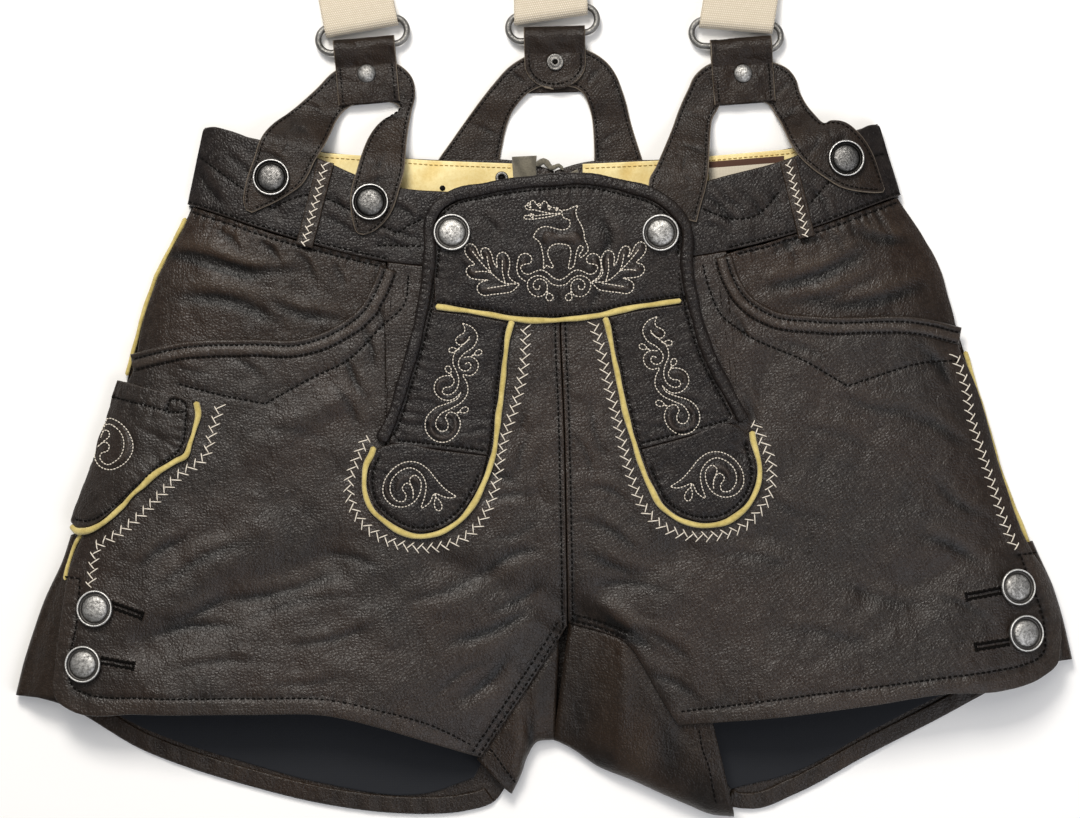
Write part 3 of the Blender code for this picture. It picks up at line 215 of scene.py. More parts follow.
FORK_LEFT = [
    # outer x, y, inner x, y
    (-157.6, 321, -154.6, 319.6), (-159.1, 325, -149.5, 321.9), (-158.9, 330.5, -142, 325.3),
    (-157.6, 336.8, -134.6, 329.6), (-155.8, 342.7, -128, 334.6), (-153.7, 348.4, -124.6, 340),
    (-151.6, 355.5, -121.4, 347), (-148.6, 361.6, -116.8, 354.5),
    (-143.6, 367.7, -113.6, 361.8), (-137.2, 373, -111, 368.8), (-129.5, 379.6, -107.6, 374),
    (-121.6, 386.8, -103, 377.6), (-112.9, 395.5, -97.5, 379.4), (-101.5, 401, -92, 380.2),
    (-88.5, 402.2, -85, 379.8), (-77.5, 399.4, -79.5, 378.5), (-70.6, 392.5, -77.3, 376.4),
    (-69, 384.5, -79.2, 373.6), (-70.8, 375, -85.2, 370.6), (-72.3, 366.5, -90, 366),
    (-73.2, 358.5, -93.9, 359.4), (-73.7, 350, -96.9, 351), (-74.3, 341.5, -99.5, 341.6),
    (-76.3, 333.8, -101.9, 333.5), (-78.6, 325.6, -102.8, 325.5), (-81.6, 318.7, -102.1, 318.6),
    (-86, 313.2, -101, 313.4), (-91.5, 309.2, -99.9, 310.2), (-95.8, 307.9, -98.6, 308.6)]
FORK_RIGHT = [
    # outer x, y, inner x, y
    (55.2, 321, 79.9, 314.6), (54.6, 330, 82.3, 324), (55, 337.5, 84.5, 331.5),
    (58.4, 343.8, 86, 339.5), (61.8, 351.5, 86.7, 348), (65, 359, 87.3, 356.5),
    (68, 366.5, 88, 364), (70.8, 374.5, 89, 370.2), (73.6, 381.2, 91.2, 374.2),
    (76.3, 386.8, 92.6, 377), (79, 392.8, 94.6, 379.3), (84.6, 398.3, 97.5, 380.6),
    (92.5, 401.8, 101, 381.2), (103.5, 403, 105, 381.3), (114, 402.2, 109, 381),
    (122.5, 400.6, 113.5, 380.2), (129.5, 397.2, 118, 378.8), (133.7, 391.8, 120.8, 376),
    (135.6, 385.3, 122.4, 372.5), (138.5, 379.5, 124.6, 369), (143, 373.3, 126.6, 363.8),
    (148, 367.6, 129.6, 356), (152, 369, 134.6, 348.8), (158, 368.4, 141, 342.8),
    (164, 364.2, 148, 337.9), (169.2, 358.5, 155, 333.6), (173.4, 351.5, 162, 331.5),
    (176, 344.5, 169, 330.6), (178, 337.8, 175, 330.3), (179.8, 332.6, 179, 330.8)]
FORK_BACK = [
    # outer x, y, inner x, y
    (-63.5, 336, -29.5, 326), (-60.5, 343, -26.2, 338), (-55.9, 350.6, -24.1, 349.5),
    (-50.8, 357.7, -22.5, 357.7), (-45.5, 365.3, -20.8, 365.3), (-40, 373, -18, 373.3),
    (-33.7, 381.4, -13.8, 379.4), (-26.6, 390.3, -9, 384.2), (-19, 398.5, -4, 387),
    (-8.5, 404.8, 0.5, 388.4), (6, 408.6, 6, 388.6), (19, 408.4, 12, 388),
    (27, 405.2, 17, 386.6), (33.5, 400.2, 20.6, 383.5), (38.1, 393.6, 23, 378.4),
    (40.9, 386.5, 24.8, 372.3), (43.2, 379.4, 25.6, 366), (45.7, 369.3, 26, 359.5),
    (48.7, 359.2, 26.2, 352.5), (52.3, 348.1, 26.2, 343), (56.5, 336, 27, 328)]
print("tables read:", len(FOLDS), "folds,", len(BINDING), "points on the binding")

# %% [markdown]
# ## Lines and surfaces
#
# A panel of leather is a patch between four smooth lines, laid on a height function of the
# garment. Every later piece, from a rolled edge to a single stitch, is put on the same height
# function, so it sits on the leather that carries it from any side. Cloth simulation could
# settle the panels too, but it would move them away from the solids under them.

# %% Smooth lines
def walked(line):
    """The way along a line to each of its points."""
    return np.concatenate([[0], np.cumsum(np.linalg.norm(np.diff(line, axis=0), axis=1))])


def share(line):
    """How far along a line each point lies, from 0 to 1."""
    way = walked(line)
    return way / way[-1]


def length_of(line):
    return np.linalg.norm(np.diff(line, axis=0), axis=1).sum()


def at(line, shares):
    """The points that lie at shares of a line's length."""
    own = share(line)
    return np.stack([np.interp(shares, own, line[:, i]) for i in range(line.shape[1])], axis=-1)


def evenly(line, count):
    return at(line, np.linspace(0, 1, count))


def part_of(line, start, end):
    return at(line, np.linspace(start, end, 200))


def curve(points, count=160):
    """Smooth line of cubic Hermite arcs through the points, read at evenly spaced lengths.

    The slope at a point is the difference of its neighbours over the chord between them.
    """
    points = np.asarray(points, float)
    chord = walked(points)
    slope = np.gradient(points, chord, axis=0)
    along = np.linspace(0, chord[-1], 16 * len(points))
    start = np.clip(np.searchsorted(chord, along, side="right") - 1, 0, len(chord) - 2)
    span = (chord[start + 1] - chord[start])[:, None]
    f = (along[:, None] - chord[start][:, None]) / span
    return evenly((2 * f**3 - 3 * f**2 + 1) * points[start]
                  + (f**3 - 2 * f**2 + f) * span * slope[start]
                  + (3 * f**2 - 2 * f**3) * points[start + 1]
                  + (f**3 - f**2) * span * slope[start + 1], count)


def smooth(line, count):
    """A short list of points as a curve; a line that is already fine stays as it is."""
    return curve(line, count) if len(line) < 60 else line


def joined(*lines):
    """One line from several that meet at corners, each corner kept once."""
    return np.vstack([line[:-1] for line in lines[:-1]] + [lines[-1]])


def unit(vectors):
    return vectors / np.linalg.norm(vectors, axis=-1, keepdims=True)


def left_of(vectors):
    """Plan vectors turned a quarter to the left."""
    return np.stack([-vectors[..., 1], vectors[..., 0]], axis=-1)


def beside(line, distance):
    """The plan line moved to its left-hand side by a distance."""
    return line + distance * left_of(unit(np.gradient(line, axis=0)))


def moved(points, distance):
    return beside(curve(points, 300), distance)


def turned_plan(x, y, angle, centre):
    """Local points turned in plan by an angle in degrees and put at a centre."""
    c, s = math.cos(math.radians(angle)), math.sin(math.radians(angle))
    return centre[0] + c * x - s * y, centre[1] + s * x + c * y


def nearest(line, x, y):
    """Signed distance to a plan line, left side positive, and the way along it."""
    best = np.full(np.shape(x), 1e9)
    side = np.zeros(np.shape(x))
    way = np.zeros(np.shape(x))
    walked_so_far = 0.0
    for (x0, y0), (x1, y1) in zip(line[:-1], line[1:]):
        run = math.hypot(x1 - x0, y1 - y0)
        f = np.clip(((x - x0) * (x1 - x0) + (y - y0) * (y1 - y0)) / run**2, 0, 1)
        away = np.hypot(x - x0 - f * (x1 - x0), y - y0 - f * (y1 - y0))
        closer = away < best
        turn = (x1 - x0) * (y - y0) - (y1 - y0) * (x - x0)
        best = np.where(closer, away, best)
        side = np.where(closer, np.sign(turn), side)
        way = np.where(closer, walked_so_far + f * run, way)
        walked_so_far += run
    return best * side, way


def with_height(plan, height):
    """Plan points at a height, or each at its own."""
    return np.column_stack([plan, np.broadcast_to(height, len(plan))])


def distance_to(line, x, y):
    return np.abs(nearest(line, x, y)[0])


def smoothstep(f):
    f = np.clip(f, 0, 1)
    return f * f * (3 - 2 * f)


def bell(distance, width):
    return np.exp(-((distance / width) ** 2))


print("a test curve of 5 points is", round(length_of(curve(CENTRE_SEAM)), 1), "mm long")

# %% [markdown]
# ## Creases
#
# Worn leather keeps soft troughs where it bent: fans of them run from the crotch, from the leg
# buttons and from under the flap. Noise alone gives an even ripple that no garment has, so
# each crease is listed one by one, with its own length, depth and width. A crease is a trough
# with a low ridge of pushed-up leather on one side of it.

# %% Creases of the front, the flap and the waistband
FRONT_CREASES = [
    # x0, y0, x1, y1, bend, depth, width
    (-14, 178, -44, 190, 2, 0.75, 2.6), (-6, 171, -36, 166, -2, 0.6, 2.2),
    (-4, 156, -27, 147, 2, 0.5, 1.9), (-2, 143, -34, 128, -3, 0.8, 2.8),
    (0, 126, -30, 108, 2, 0.7, 2.4), (-6, 112, -52, 92, 3, 0.9, 3.4),
    (-10, 218, -16, 200, 1, 0.45, 1.8), (-7, 205, -14, 182, -2, 0.5, 2.0),
    (-1, 196, -9, 176, 1, 0.35, 1.6), (-30, 132, -74, 116, 4, 0.55, 3.0),
    (-18, 88, -46, 62, 3, 0.8, 3.2), (-30, 84, -58, 66, -2, 0.5, 2.4),
    (-205, 103, -168, 118, -3, 0.9, 3.0), (-212, 96, -160, 102, 3, 0.7, 2.6),
    (-204, 122, -150, 148, 4, 0.6, 3.4), (-170, 116, -108, 130, -4, 0.8, 3.6),
    (-160, 104, -100, 118, 4, 0.45, 2.6), (-138, 92, -88, 104, -3, 0.5, 2.4),
    (-196, 80, -150, 84, 2, 0.4, 2.2), (-150, 72, -104, 76, -2, 0.35, 2.4),
    (-120, 140, -86, 132, 3, 0.5, 2.8), (-215, 132, -186, 150, 2, 0.6, 2.6),
    (-104, 244, -94, 222, -2, 0.7, 2.4), (-98, 262, -90, 238, 2, 0.65, 2.2),
    (-88, 278, -84, 256, -1, 0.5, 1.8), (-112, 230, -98, 206, 2, 0.5, 2.6),
    (-168, 244, -148, 232, 2, 0.45, 2.2), (-196, 240, -176, 234, -1, 0.35, 1.8),
    (-150, 206, -110, 196, 4, 0.35, 3.4), (-216, 206, -196, 196, 2, 0.4, 2.4),
    (22, 176, 45, 166, 3, 0.55, 2.2), (20, 158, 50, 140, 3, 0.6, 2.6),
    (20, 142, 62, 128, -3, 0.7, 3.0), (24, 124, 66, 120, 3, 0.6, 2.6),
    (28, 112, 58, 90, -2, 0.9, 3.2), (36, 104, 78, 84, 3, 0.6, 3.0),
    (50, 78, 84, 62, 3, 0.5, 2.6), (14, 206, 26, 178, 2, 0.4, 1.8),
    (24, 222, 32, 190, -2, 0.45, 2.0), (104, 226, 112, 196, 2, 0.5, 2.6),
    (90, 250, 100, 226, -2, 0.55, 2.2), (98, 268, 108, 250, 1, 0.45, 1.8),
    (120, 252, 150, 242, 2, 0.4, 2.2), (158, 222, 196, 216, -3, 0.5, 3.2),
    (198, 248, 214, 228, 3, 0.8, 3.0), (188, 214, 222, 196, 3, 0.6, 3.2),
    (206, 178, 232, 160, -3, 0.6, 3.0), (196, 150, 230, 134, 3, 0.7, 3.2),
    (150, 128, 205, 112, -4, 0.4, 3.4), (120, 100, 170, 92, 3, 0.35, 3.0),
    (132, 206, 176, 192, 4, 0.35, 3.6), (110, 176, 150, 158, -4, 0.4, 3.4),
    (206, 118, 232, 106, 2, 0.5, 2.2), (90, 140, 130, 132, 3, 0.4, 3.0),
]
POCKET_CREASES = [
    # x0, y0, x1, y1, bend, depth, width
    (-206, 300, -150, 284, 4, 1.0, 3.6), (-190, 296, -128, 290, -4, 0.7, 2.8),
    (-196, 276, -140, 262, 5, 0.9, 4.0), (-150, 276, -106, 264, -4, 0.7, 3.0),
    (-176, 312, -160, 298, 2, 0.6, 2.0), (-152, 306, -140, 292, 2, 0.6, 1.8),
    (-132, 300, -122, 284, 2, 0.5, 1.8), (-112, 294, -106, 280, 1, 0.45, 1.6),
    (114, 280, 170, 300, -4, 1.0, 3.6), (124, 272, 178, 288, -4, 0.7, 3.0),
    (140, 270, 206, 284, -4, 0.8, 3.8), (118, 298, 150, 306, 3, 0.6, 2.4),
    (160, 312, 196, 306, -3, 0.7, 3.0), (128, 304, 134, 290, 1, 0.4, 1.6),
    (150, 312, 158, 298, 1, 0.45, 1.6), (176, 320, 184, 304, 1, 0.5, 1.8),
]
BAND_CREASES = [
    # x0, y0, x1, y1, bend, depth, width
    (-170, 352, -152, 334, 2, 0.4, 2.2), (-184, 346, -168, 322, -2, 0.5, 2.4),
    (-118, 318, -98, 306, 2, 0.5, 2.0), (-112, 330, -104, 314, 1, 0.4, 1.8),
    (-84, 324, -68, 316, 2, 0.5, 2.0), (-82, 312, -66, 306, -1, 0.4, 1.6),
    (-92, 308, -72, 299, 2, 0.35, 1.6), (84, 330, 100, 312, 2, 0.6, 2.2),
    (92, 334, 104, 322, -2, 0.5, 1.8), (104, 330, 116, 316, 2, 0.45, 1.8),
    (118, 336, 124, 318, 1, 0.4, 1.8), (82, 314, 100, 306, 2, 0.4, 1.8),
    (140, 334, 150, 318, 2, 0.45, 2.0), (160, 330, 176, 336, -2, 0.4, 1.8),
]
FLAP_CREASES = [
    # x0, y0, x1, y1, bend, depth, width
    (28, 318, 34, 300, 2, 0.6, 2.6), (36, 306, 30, 290, -2, 0.5, 2.4),
    (-34, 318, -24, 308, 1, 0.35, 2.0), (28, 282, 24, 269, 1, 0.55, 1.8),
    (4, 280, 8, 268, 1, 0.35, 1.4), (14, 281, 18, 269, -1, 0.35, 1.4),
    (-2, 277, 1, 267, 1, 0.3, 1.3), (-46, 296, -40, 284, 1, 0.35, 1.8),
    (-72, 222, -52, 216, 1, 0.3, 1.6), (-76, 208, -46, 203, 2, 0.45, 1.8),
    (-70, 214, -40, 211, -1, 0.3, 1.4), (-32, 206, -46, 203, 1, 0.4, 1.5),
    (62, 222, 82, 219, 1, 0.45, 1.8), (66, 215, 90, 214, -1, 0.4, 1.6),
    (50, 206, 70, 206, 1, 0.35, 1.6), (-88, 184, -78, 178, 1, 0.35, 1.5),
    (96, 196, 106, 188, 1, 0.35, 1.5),
]


CREASE_DEPTH = 1.25


def creases(table):
    """Height of listed creases as a function of the plan place.

    Along a crease the depth follows a half sine to the power 0.6. Across it lies a bell, less
    about half a wider bell that lies one and a half widths to its left.
    """
    lines = []
    for x0, y0, x1, y1, bend, depth, width in table:
        run = np.array([x1 - x0, y1 - y0])
        middle = np.array([x0, y0]) + run / 2 + unit(left_of(run)) * bend
        lines.append((curve([(x0, y0), middle, (x1, y1)], 7), CREASE_DEPTH * depth, width))

    def height(x, y):
        total = np.zeros(np.shape(x))
        for line, depth, width in lines:
            away, way = nearest(line, x, y)
            along = np.sin(math.pi * np.clip(way / length_of(line), 0.02, 0.98)) ** 0.6
            across = bell(away, width) - 0.55 * bell(away - 1.5 * width, 1.4 * width)
            total -= depth * along * across
        return total

    return height


front_creases = creases(FRONT_CREASES)
pocket_creases = creases(POCKET_CREASES)
band_creases = creases(BAND_CREASES)
flap_creases = creases(FLAP_CREASES)
print(len(FRONT_CREASES) + len(POCKET_CREASES), "creases on the fronts and pockets")

# %% Heights of the lying garment
RIPPLES = np.random.default_rng(7).uniform(size=(22, 4))
LONGEST_RIPPLE = 34.0
SHORTEST_RIPPLE = 7.0


def ripple(x, y, height=0.1):
    """Uneven ripple: sines of many directions and lengths, each as high as it is long."""
    total = np.zeros(np.shape(x))
    for direction, size, phase, drift in RIPPLES:
        wave = SHORTEST_RIPPLE * (LONGEST_RIPPLE / SHORTEST_RIPPLE) ** size
        angle = direction * math.pi
        place = x * math.cos(angle) + y * math.sin(angle)
        bent = place + 0.25 * wave * np.sin((x - y) * (0.6 + drift) / wave)
        swing = np.sin(2 * math.pi * (bent / wave + phase))
        total += height * (wave / LONGEST_RIPPLE) * swing
    return total


def side_x(outline, y):
    return np.interp(-y, -outline[:, 1], outline[:, 0])


def front(x, y):
    """Height of the front's middle surface above the table, as in the solids.

    It rises from the edge height at the side outline to the middle height with an exponential
    rounding, sinks towards the inseams between the legs, and carries each fold as a bell-shaped
    ridge or trough along its line.
    """
    x = np.asarray(x, float)
    y = np.asarray(y, float)
    middle = np.interp(y, BODY_HEIGHT[:, 0], BODY_HEIGHT[:, 1])
    edge = np.interp(y, BODY_HEIGHT[:, 0], BODY_HEIGHT[:, 2])
    inside = np.minimum(x - side_x(SIDE_LEFT, y), side_x(SIDE_RIGHT, y) - x)
    inside = np.maximum(inside, 0)
    height = edge + (middle - edge) * (1 - np.exp(-inside / EDGE_ROUNDING))
    for line, (depth, width) in (
            (INSEAM_LEFT, LEFT_INSEAM_SINK), (INSEAM_RIGHT, RIGHT_INSEAM_SINK)):
        height = height - depth * np.exp(-distance_to(line, x, y) / width)
    for x0, y0, x1, y1, depth, width in FOLDS:
        away = distance_to(np.array([(x0, y0), (x1, y1)]), x, y)
        height = height + depth * bell(away, width) * smoothstep(inside / FOLD_FADE)
    return height


def flap(x, y):
    """The flap's middle surface, which lies higher over the waistband and the brace under it."""
    bump_x, bump_y, bump_size, bump = FLAP_BUMP
    over_brace = bump * np.exp(-((x - bump_x) ** 2 + (y - bump_y) ** 2) / bump_size**2)
    start, way, rise = FLAP_CLIMB
    return front(x, y) + FLAP_LIFT + rise * smoothstep((y - start) / way) + over_brace


def table(x, y):
    return np.zeros(np.shape(x))


def back_band(x, y):
    """The back waistband's middle surface: on the table at its seam, raised over the fork."""
    seam = np.interp(x, BACK_BAND_BOTTOM[:, 0], BACK_BAND_BOTTOM[:, 1])
    climb = smoothstep((y - seam) / BAND_CLIMB)
    return BAND_LEATHER / 2 + (BAND_LEVEL - BAND_LEATHER / 2) * climb


def front_fork(x, y):
    """A front fork's middle surface: in the loop's fold, then climbing onto the waistband."""
    top = np.interp(x, FRONT_BAND_TOP[:, 0], FRONT_BAND_TOP[:, 1])
    climb = smoothstep((FRONT_FORK_CLIMB - y) / (FRONT_FORK_CLIMB - top - 1))
    return FORK_IN_LOOP + (front(x, np.minimum(y, top)) + FORK_ON_BAND - FORK_IN_LOOP) * climb


def back_fork(x, y):
    """The back fork's middle surface: in the loop's fold, then down to the table."""
    start, way = BACK_FORK_CLIMB
    return LAYER_ON_TABLE + (FORK_IN_LOOP - LAYER_ON_TABLE) * smoothstep((y - start) / way)


def creased(surface, bends, rippled=1.0, shift=0.0):
    """A surface with its creases and a part of the ripple, read from a shifted place."""
    return lambda x, y: surface(x, y) + bends(x, y) + rippled * ripple(x + shift, y)


creased_front = creased(front, front_creases)
creased_pocket = creased(front, pocket_creases)
creased_band = creased(front, band_creases, 0.7)
creased_flap = creased(flap, flap_creases, 0.6, 50.0)


def raised(plan, surface, lift=0.0):
    """Plan points put on a surface and moved out along its normal, and the normals."""
    x, y = plan[..., 0], plan[..., 1]
    step = 0.5
    slope_x = (surface(x + step, y) - surface(x - step, y)) / (2 * step)
    slope_y = (surface(x, y + step) - surface(x, y - step)) / (2 * step)
    normal = unit(np.stack([-slope_x, -slope_y, np.ones(np.shape(x))], axis=-1))
    point = np.stack([x, y, surface(x, y)], axis=-1)
    return point + np.asarray(lift)[..., None] * normal, normal


print("the front lies", round(float(creased_front(100.0, 150.0)), 1), "mm up at a thigh")

# %% [markdown]
# ## Finishes
#
# Every finish starts from the real material: drum-dyed nappa leather with a fine pebble grain,
# chamois, cast metal with a dark patina, woven elastic, cotton cloth and cotton thread. Image
# textures would need pictures and seams; patterns worked out from the place on the piece stay
# the same size everywhere, so each scale below is a length in millimetres. Two values stored on
# the points, relief and edge, tell a finish where the leather is sunk, raised or cut. Leather
# and chamois are painted darker where the relief sinks, as shade, and leather paler where it
# rises, as highlight.


def linear(hex_colour):
    """Linear colour of an sRGB hex value."""
    parts = [int(hex_colour[i:i + 2], 16) / 255 for i in (0, 2, 4)]
    return (*[c / 12.92 if c <= 0.04045 else ((c + 0.055) / 1.055) ** 2.4 for c in parts], 1.0)


def add(tree, kind, inputs=None, **settings):
    """Adds a node: settings are its properties, inputs its values or the sockets linked in."""
    node = tree.nodes.new("ShaderNode" + kind)
    for key, value in settings.items():
        setattr(node, key, value)
    for key, value in (inputs or {}).items():
        if isinstance(value, bpy.types.NodeSocket):
            tree.links.new(value, node.inputs[key])
        else:
            node.inputs[key].default_value = value
    return node


def new_finish(name, slot, **values):
    """A material with the shader's own sockets set, its tree, and the place on the piece."""
    material = bpy.data.materials.new(name)
    material.use_nodes = True
    tree = material.node_tree
    for key, value in values.items():
        tree.nodes["Principled BSDF"].inputs[key.replace("_", " ")].default_value = value
    return material, tree, add(tree, "TexCoord").outputs["Object"]


def finished(material, **sockets):
    """Links sockets to the shader's inputs of the same names, and gives the material back."""
    tree = material.node_tree
    for key, socket in sockets.items():
        tree.links.new(socket, tree.nodes["Principled BSDF"].inputs[key.replace("_", " ")])
    return material


def per_mm(size):
    """Pattern scale on Object coordinates for a feature of that many millimetres."""
    return 1 / (size * MM)


def noise(tree, place, size, detail, roughness=0.5, distortion=0.0):
    """Cloudy noise from 0 to 1 whose features are about a size in millimetres."""
    return add(tree, "TexNoise", {
        "Vector": place, "Scale": per_mm(size), "Detail": detail, "Roughness": roughness,
        "Distortion": distortion}).outputs["Fac"]


def stored(tree, name):
    """A value kept on the points of the mesh."""
    return add(tree, "Attribute", attribute_name=name).outputs["Fac"]


def calculated(tree, operation, *values):
    return add(tree, "Math", dict(enumerate(values)), operation=operation).outputs["Value"]


def mixed(tree, factor, a, b, blend="MIX"):
    """Colour a to colour b by a factor; either may be a hex value or a socket."""
    a, b = (linear(c) if isinstance(c, str) else c for c in (a, b))
    return add(tree, "Mix", {0: factor, 6: a, 7: b}, data_type="RGBA",
               blend_type=blend).outputs[2]


def ranged(tree, value, low, high, to_low=0.0, to_high=1.0):
    """A value moved from one range to another, and kept inside it."""
    return add(tree, "MapRange", {
        "Value": value, "From Min": low, "From Max": high, "To Min": to_low,
        "To Max": to_high}).outputs["Result"]


def bumped(tree, height, depth, below=None, strength=1.0):
    """A bump of a depth in millimetres, on top of the one below it."""
    inputs = {"Height": height, "Distance": depth * MM, "Strength": strength}
    if below is not None:
        inputs["Normal"] = below
    return add(tree, "Bump", inputs).outputs["Normal"]


print("helpers ready")

# %% Leather
def leather(name, slot, base, brown, pale_and_highlight_tone, roughness, shine, grain=1.7, patch=46.0,
            cut=None, milled=0.17):
    """Drum-dyed nappa: the dye varies in wide soft patches and fine paler flecks. Painted shade
    darkens what is sunk, such as creases, grooves and the valleys of the grain, and a painted
    highlight lightens what stands up, such as padding and ridges. The pebble grain is a cell
    pattern about a millimetre wide, broken by the drawn-out milling wrinkles that a soft skin
    gets in the drum. A cut edge shows the undyed fibre where the cut colour is given, and rubs
    paler where it is not.
    """
    material, tree, place = new_finish(name, slot, Roughness=roughness,
                                       Specular_IOR_Level=shine)
    wide = noise(tree, place, patch, 2.0)
    fine = noise(tree, place, 5.5, 5.0, 0.65, 0.5)
    bend = add(tree, "VectorMath", {0: fine.node.outputs["Color"], "Scale": 0.9 * MM},
               operation="SCALE")
    warped = add(tree, "VectorMath", {0: place, 1: bend.outputs["Vector"]}, operation="ADD")
    cells = add(tree, "TexVoronoi", {"Vector": warped.outputs["Vector"],
                                     "Scale": per_mm(grain), "Randomness": 0.9},
                feature="DISTANCE_TO_EDGE")
    pebble = ranged(tree, cells.outputs["Distance"], 0.0, 0.3)
    drawn_out = add(tree, "Mapping", {"Vector": place, "Rotation": (0.0, 0.0, 0.5),
                                      "Scale": (per_mm(3.2), per_mm(7.5), per_mm(6.0))})
    milling = add(tree, "TexNoise", {"Vector": drawn_out.outputs["Vector"], "Scale": 1.0,
                                     "Detail": 3.0, "Roughness": 0.55, "Distortion": 1.2})
    wrinkle = ranged(tree, milling.outputs["Fac"], 0.3, 0.7)
    swell = noise(tree, place, 16.0, 2.0, distortion=0.6)
    relief, edge = stored(tree, "relief"), stored(tree, "edge")
    colour = mixed(tree, ranged(tree, wide, 0.38, 0.66), base, brown)
    for amount, tone in (
            (ranged(tree, fine, 0.35, 0.75, 0.0, 0.22), pale_and_highlight_tone),
            # painted highlight where the relief rises, such as padding and ridges
            (ranged(tree, relief, 0.02, 0.9, 0.0, 0.6), pale_and_highlight_tone),
            # painted shade where the relief sinks, such as creases and stitch grooves
            (ranged(tree, relief, -0.7, -0.03, 0.9, 0.0), "060504"),
            # painted shade in the valleys of the pebble grain
            (ranged(tree, pebble, 0.0, 0.7, 0.4, 0.0), "0a0807"),
            (ranged(tree, edge, 0.42, 0.75, 0.0, 0.85), cut) if cut else
            (ranged(tree, edge, 0.3, 0.9, 0.0, 0.3), pale_and_highlight_tone)):
        colour = mixed(tree, amount, colour, tone)
    normal = bumped(tree, swell, 1.0)
    normal = bumped(tree, wrinkle, milled, normal, 0.9)
    normal = bumped(tree, pebble, 0.13, normal, 0.9)
    rough = ranged(tree, fine, 0.3, 0.7, roughness - 0.06, roughness + 0.08)
    return finished(material, Base_Color=colour, Roughness=rough, Normal=normal)


# The third colour of each leather is its paler tone for flecks and worn edges, and its painted
# highlight.
NAPPA = leather("nappa_leather", "leather", "1d1713", "261b14", "40362e", 0.4, 0.34)
POCKET_NAPPA = leather("nappa_leather_pocket", "facing_leather", "201813", "291d15", "463a2f",
                       0.38, 0.26)
FLAP_NAPPA = leather("nappa_leather_flap", "leather", "141112", "1b1614", "433a34", 0.36, 0.22,
                     milled=0.14)
HEM_NAPPA = leather("nappa_leather_back", "leather", "1e1610", "271b11", "3f3328", 0.42, 0.3)
STRAP = leather("strap_leather", "brace_leather", "1d1510", "241910", "3a2e22", 0.42, 0.24,
                1.5, 30.0, "7d7264", 0.1)
print("leathers:", [material.name for material in bpy.data.materials])

# %% Chamois, cloth, thread and metal
def fibre(name, slot, dark, pale, size, depth):
    """Matte material of short fibres, such as chamois or suede: a soft nap that mottles."""
    material, tree, place = new_finish(name, slot, Roughness=0.9, Sheen_Weight=0.3,
                                       Sheen_Roughness=0.6)
    nap = noise(tree, place, size, 5.0, 0.7)
    amount = calculated(tree, "ADD", noise(tree, place, 12.0, 3.0), nap)
    colour = mixed(tree, ranged(tree, amount, 0.75, 1.25), dark, pale)
    # Where the relief sinks, the colour is darkened as painted shade.
    sunk = ranged(tree, stored(tree, "relief"), -0.5, -0.05, 0.6, 0.0)
    colour = mixed(tree, sunk, colour, dark, "MULTIPLY")
    return finished(material, Base_Color=colour, Normal=bumped(tree, nap, depth))


def woven(name, slot, dark, pale, across, along, depth, twill=0.0, roughness=0.88, band=None,
          sheen=0.2):
    """Woven cloth on its own UV map in millimetres: raised threads crossed by sunk ones.

    Each set of threads is a sine across its spacing; a twill slides one set against the other.
    """
    material, tree, place = new_finish(name, slot, Roughness=roughness, Sheen_Weight=sheen,
                                       Sheen_Roughness=0.5)
    grid = add(tree, "SeparateXYZ", {"Vector": add(tree, "UVMap").outputs["UV"]})
    turn = 2 * math.pi

    def wave(socket, spacing, slide=0.0):
        angle = calculated(tree, "MULTIPLY_ADD", socket, turn / spacing, slide)
        sine = calculated(tree, "SINE", angle)
        return calculated(tree, "MULTIPLY_ADD", sine, 0.5, 0.5)

    slide = calculated(tree, "MULTIPLY", grid.outputs["Y"], twill * turn / along)
    height = calculated(tree, "MULTIPLY", wave(grid.outputs["X"], across, slide),
                        wave(grid.outputs["Y"], along))
    # The sunk threads are darker and the raised ones paler, as painted shade and highlight on the
    # weave.
    colour = mixed(tree, height, dark, pale)
    dust = ranged(tree, noise(tree, place, 2.5, 4.0), 0.35, 0.7, 0.0, 0.35)
    colour = mixed(tree, dust, colour, dark)
    if band:
        colour = mixed(tree, ranged(tree, stored(tree, "relief"), 0.4, 0.6), colour, band)
    return finished(material, Base_Color=colour, Normal=bumped(tree, height, depth))


def spun(name, slot, dark, pale, sheen=0.3, shine=0.5):
    """Spun cotton thread: softly shining, a little uneven in colour from stitch to stitch."""
    material, tree, place = new_finish(name, slot, Roughness=0.6, Sheen_Weight=sheen,
                                       Specular_IOR_Level=shine)
    tone = ranged(tree, noise(tree, place, 1.6, 3.0), 0.3, 0.7)
    return finished(material, Base_Color=mixed(tree, tone, dark, pale))


def cast_metal(name, base, patina, roughness=0.4, pitted=0.9):
    """Cast zinc alloy with an antique silver plating: burnished bright where it stands up, with
    a black patina left in the hollows and in pits about a millimetre wide. The same dark is
    painted on undersides as shade.
    """
    material, tree, place = new_finish(name, "metal", Metallic=1.0, Roughness=roughness)
    pits = noise(tree, place, 1.3, 6.0, 0.72)
    relief = stored(tree, "relief")
    colour = base
    for amount, tone in (
            (ranged(tree, pits, 0.42, 0.66, 0.0, pitted), patina),
            (ranged(tree, noise(tree, place, 4.5, 3.0), 0.42, 0.72, 0.0, 0.5), patina),
            (ranged(tree, relief, -1.0, 0.0, 0.95, 0.0), patina),
            (ranged(tree, relief, 0.2, 0.8, 0.0, 0.9), "e8e7e4")):
        colour = mixed(tree, amount, colour, tone)
    rough = ranged(tree, pits, 0.35, 0.75, roughness - 0.08, roughness + 0.2)
    return finished(material, Base_Color=colour, Roughness=rough,
                    Normal=bumped(tree, pits, 0.3))


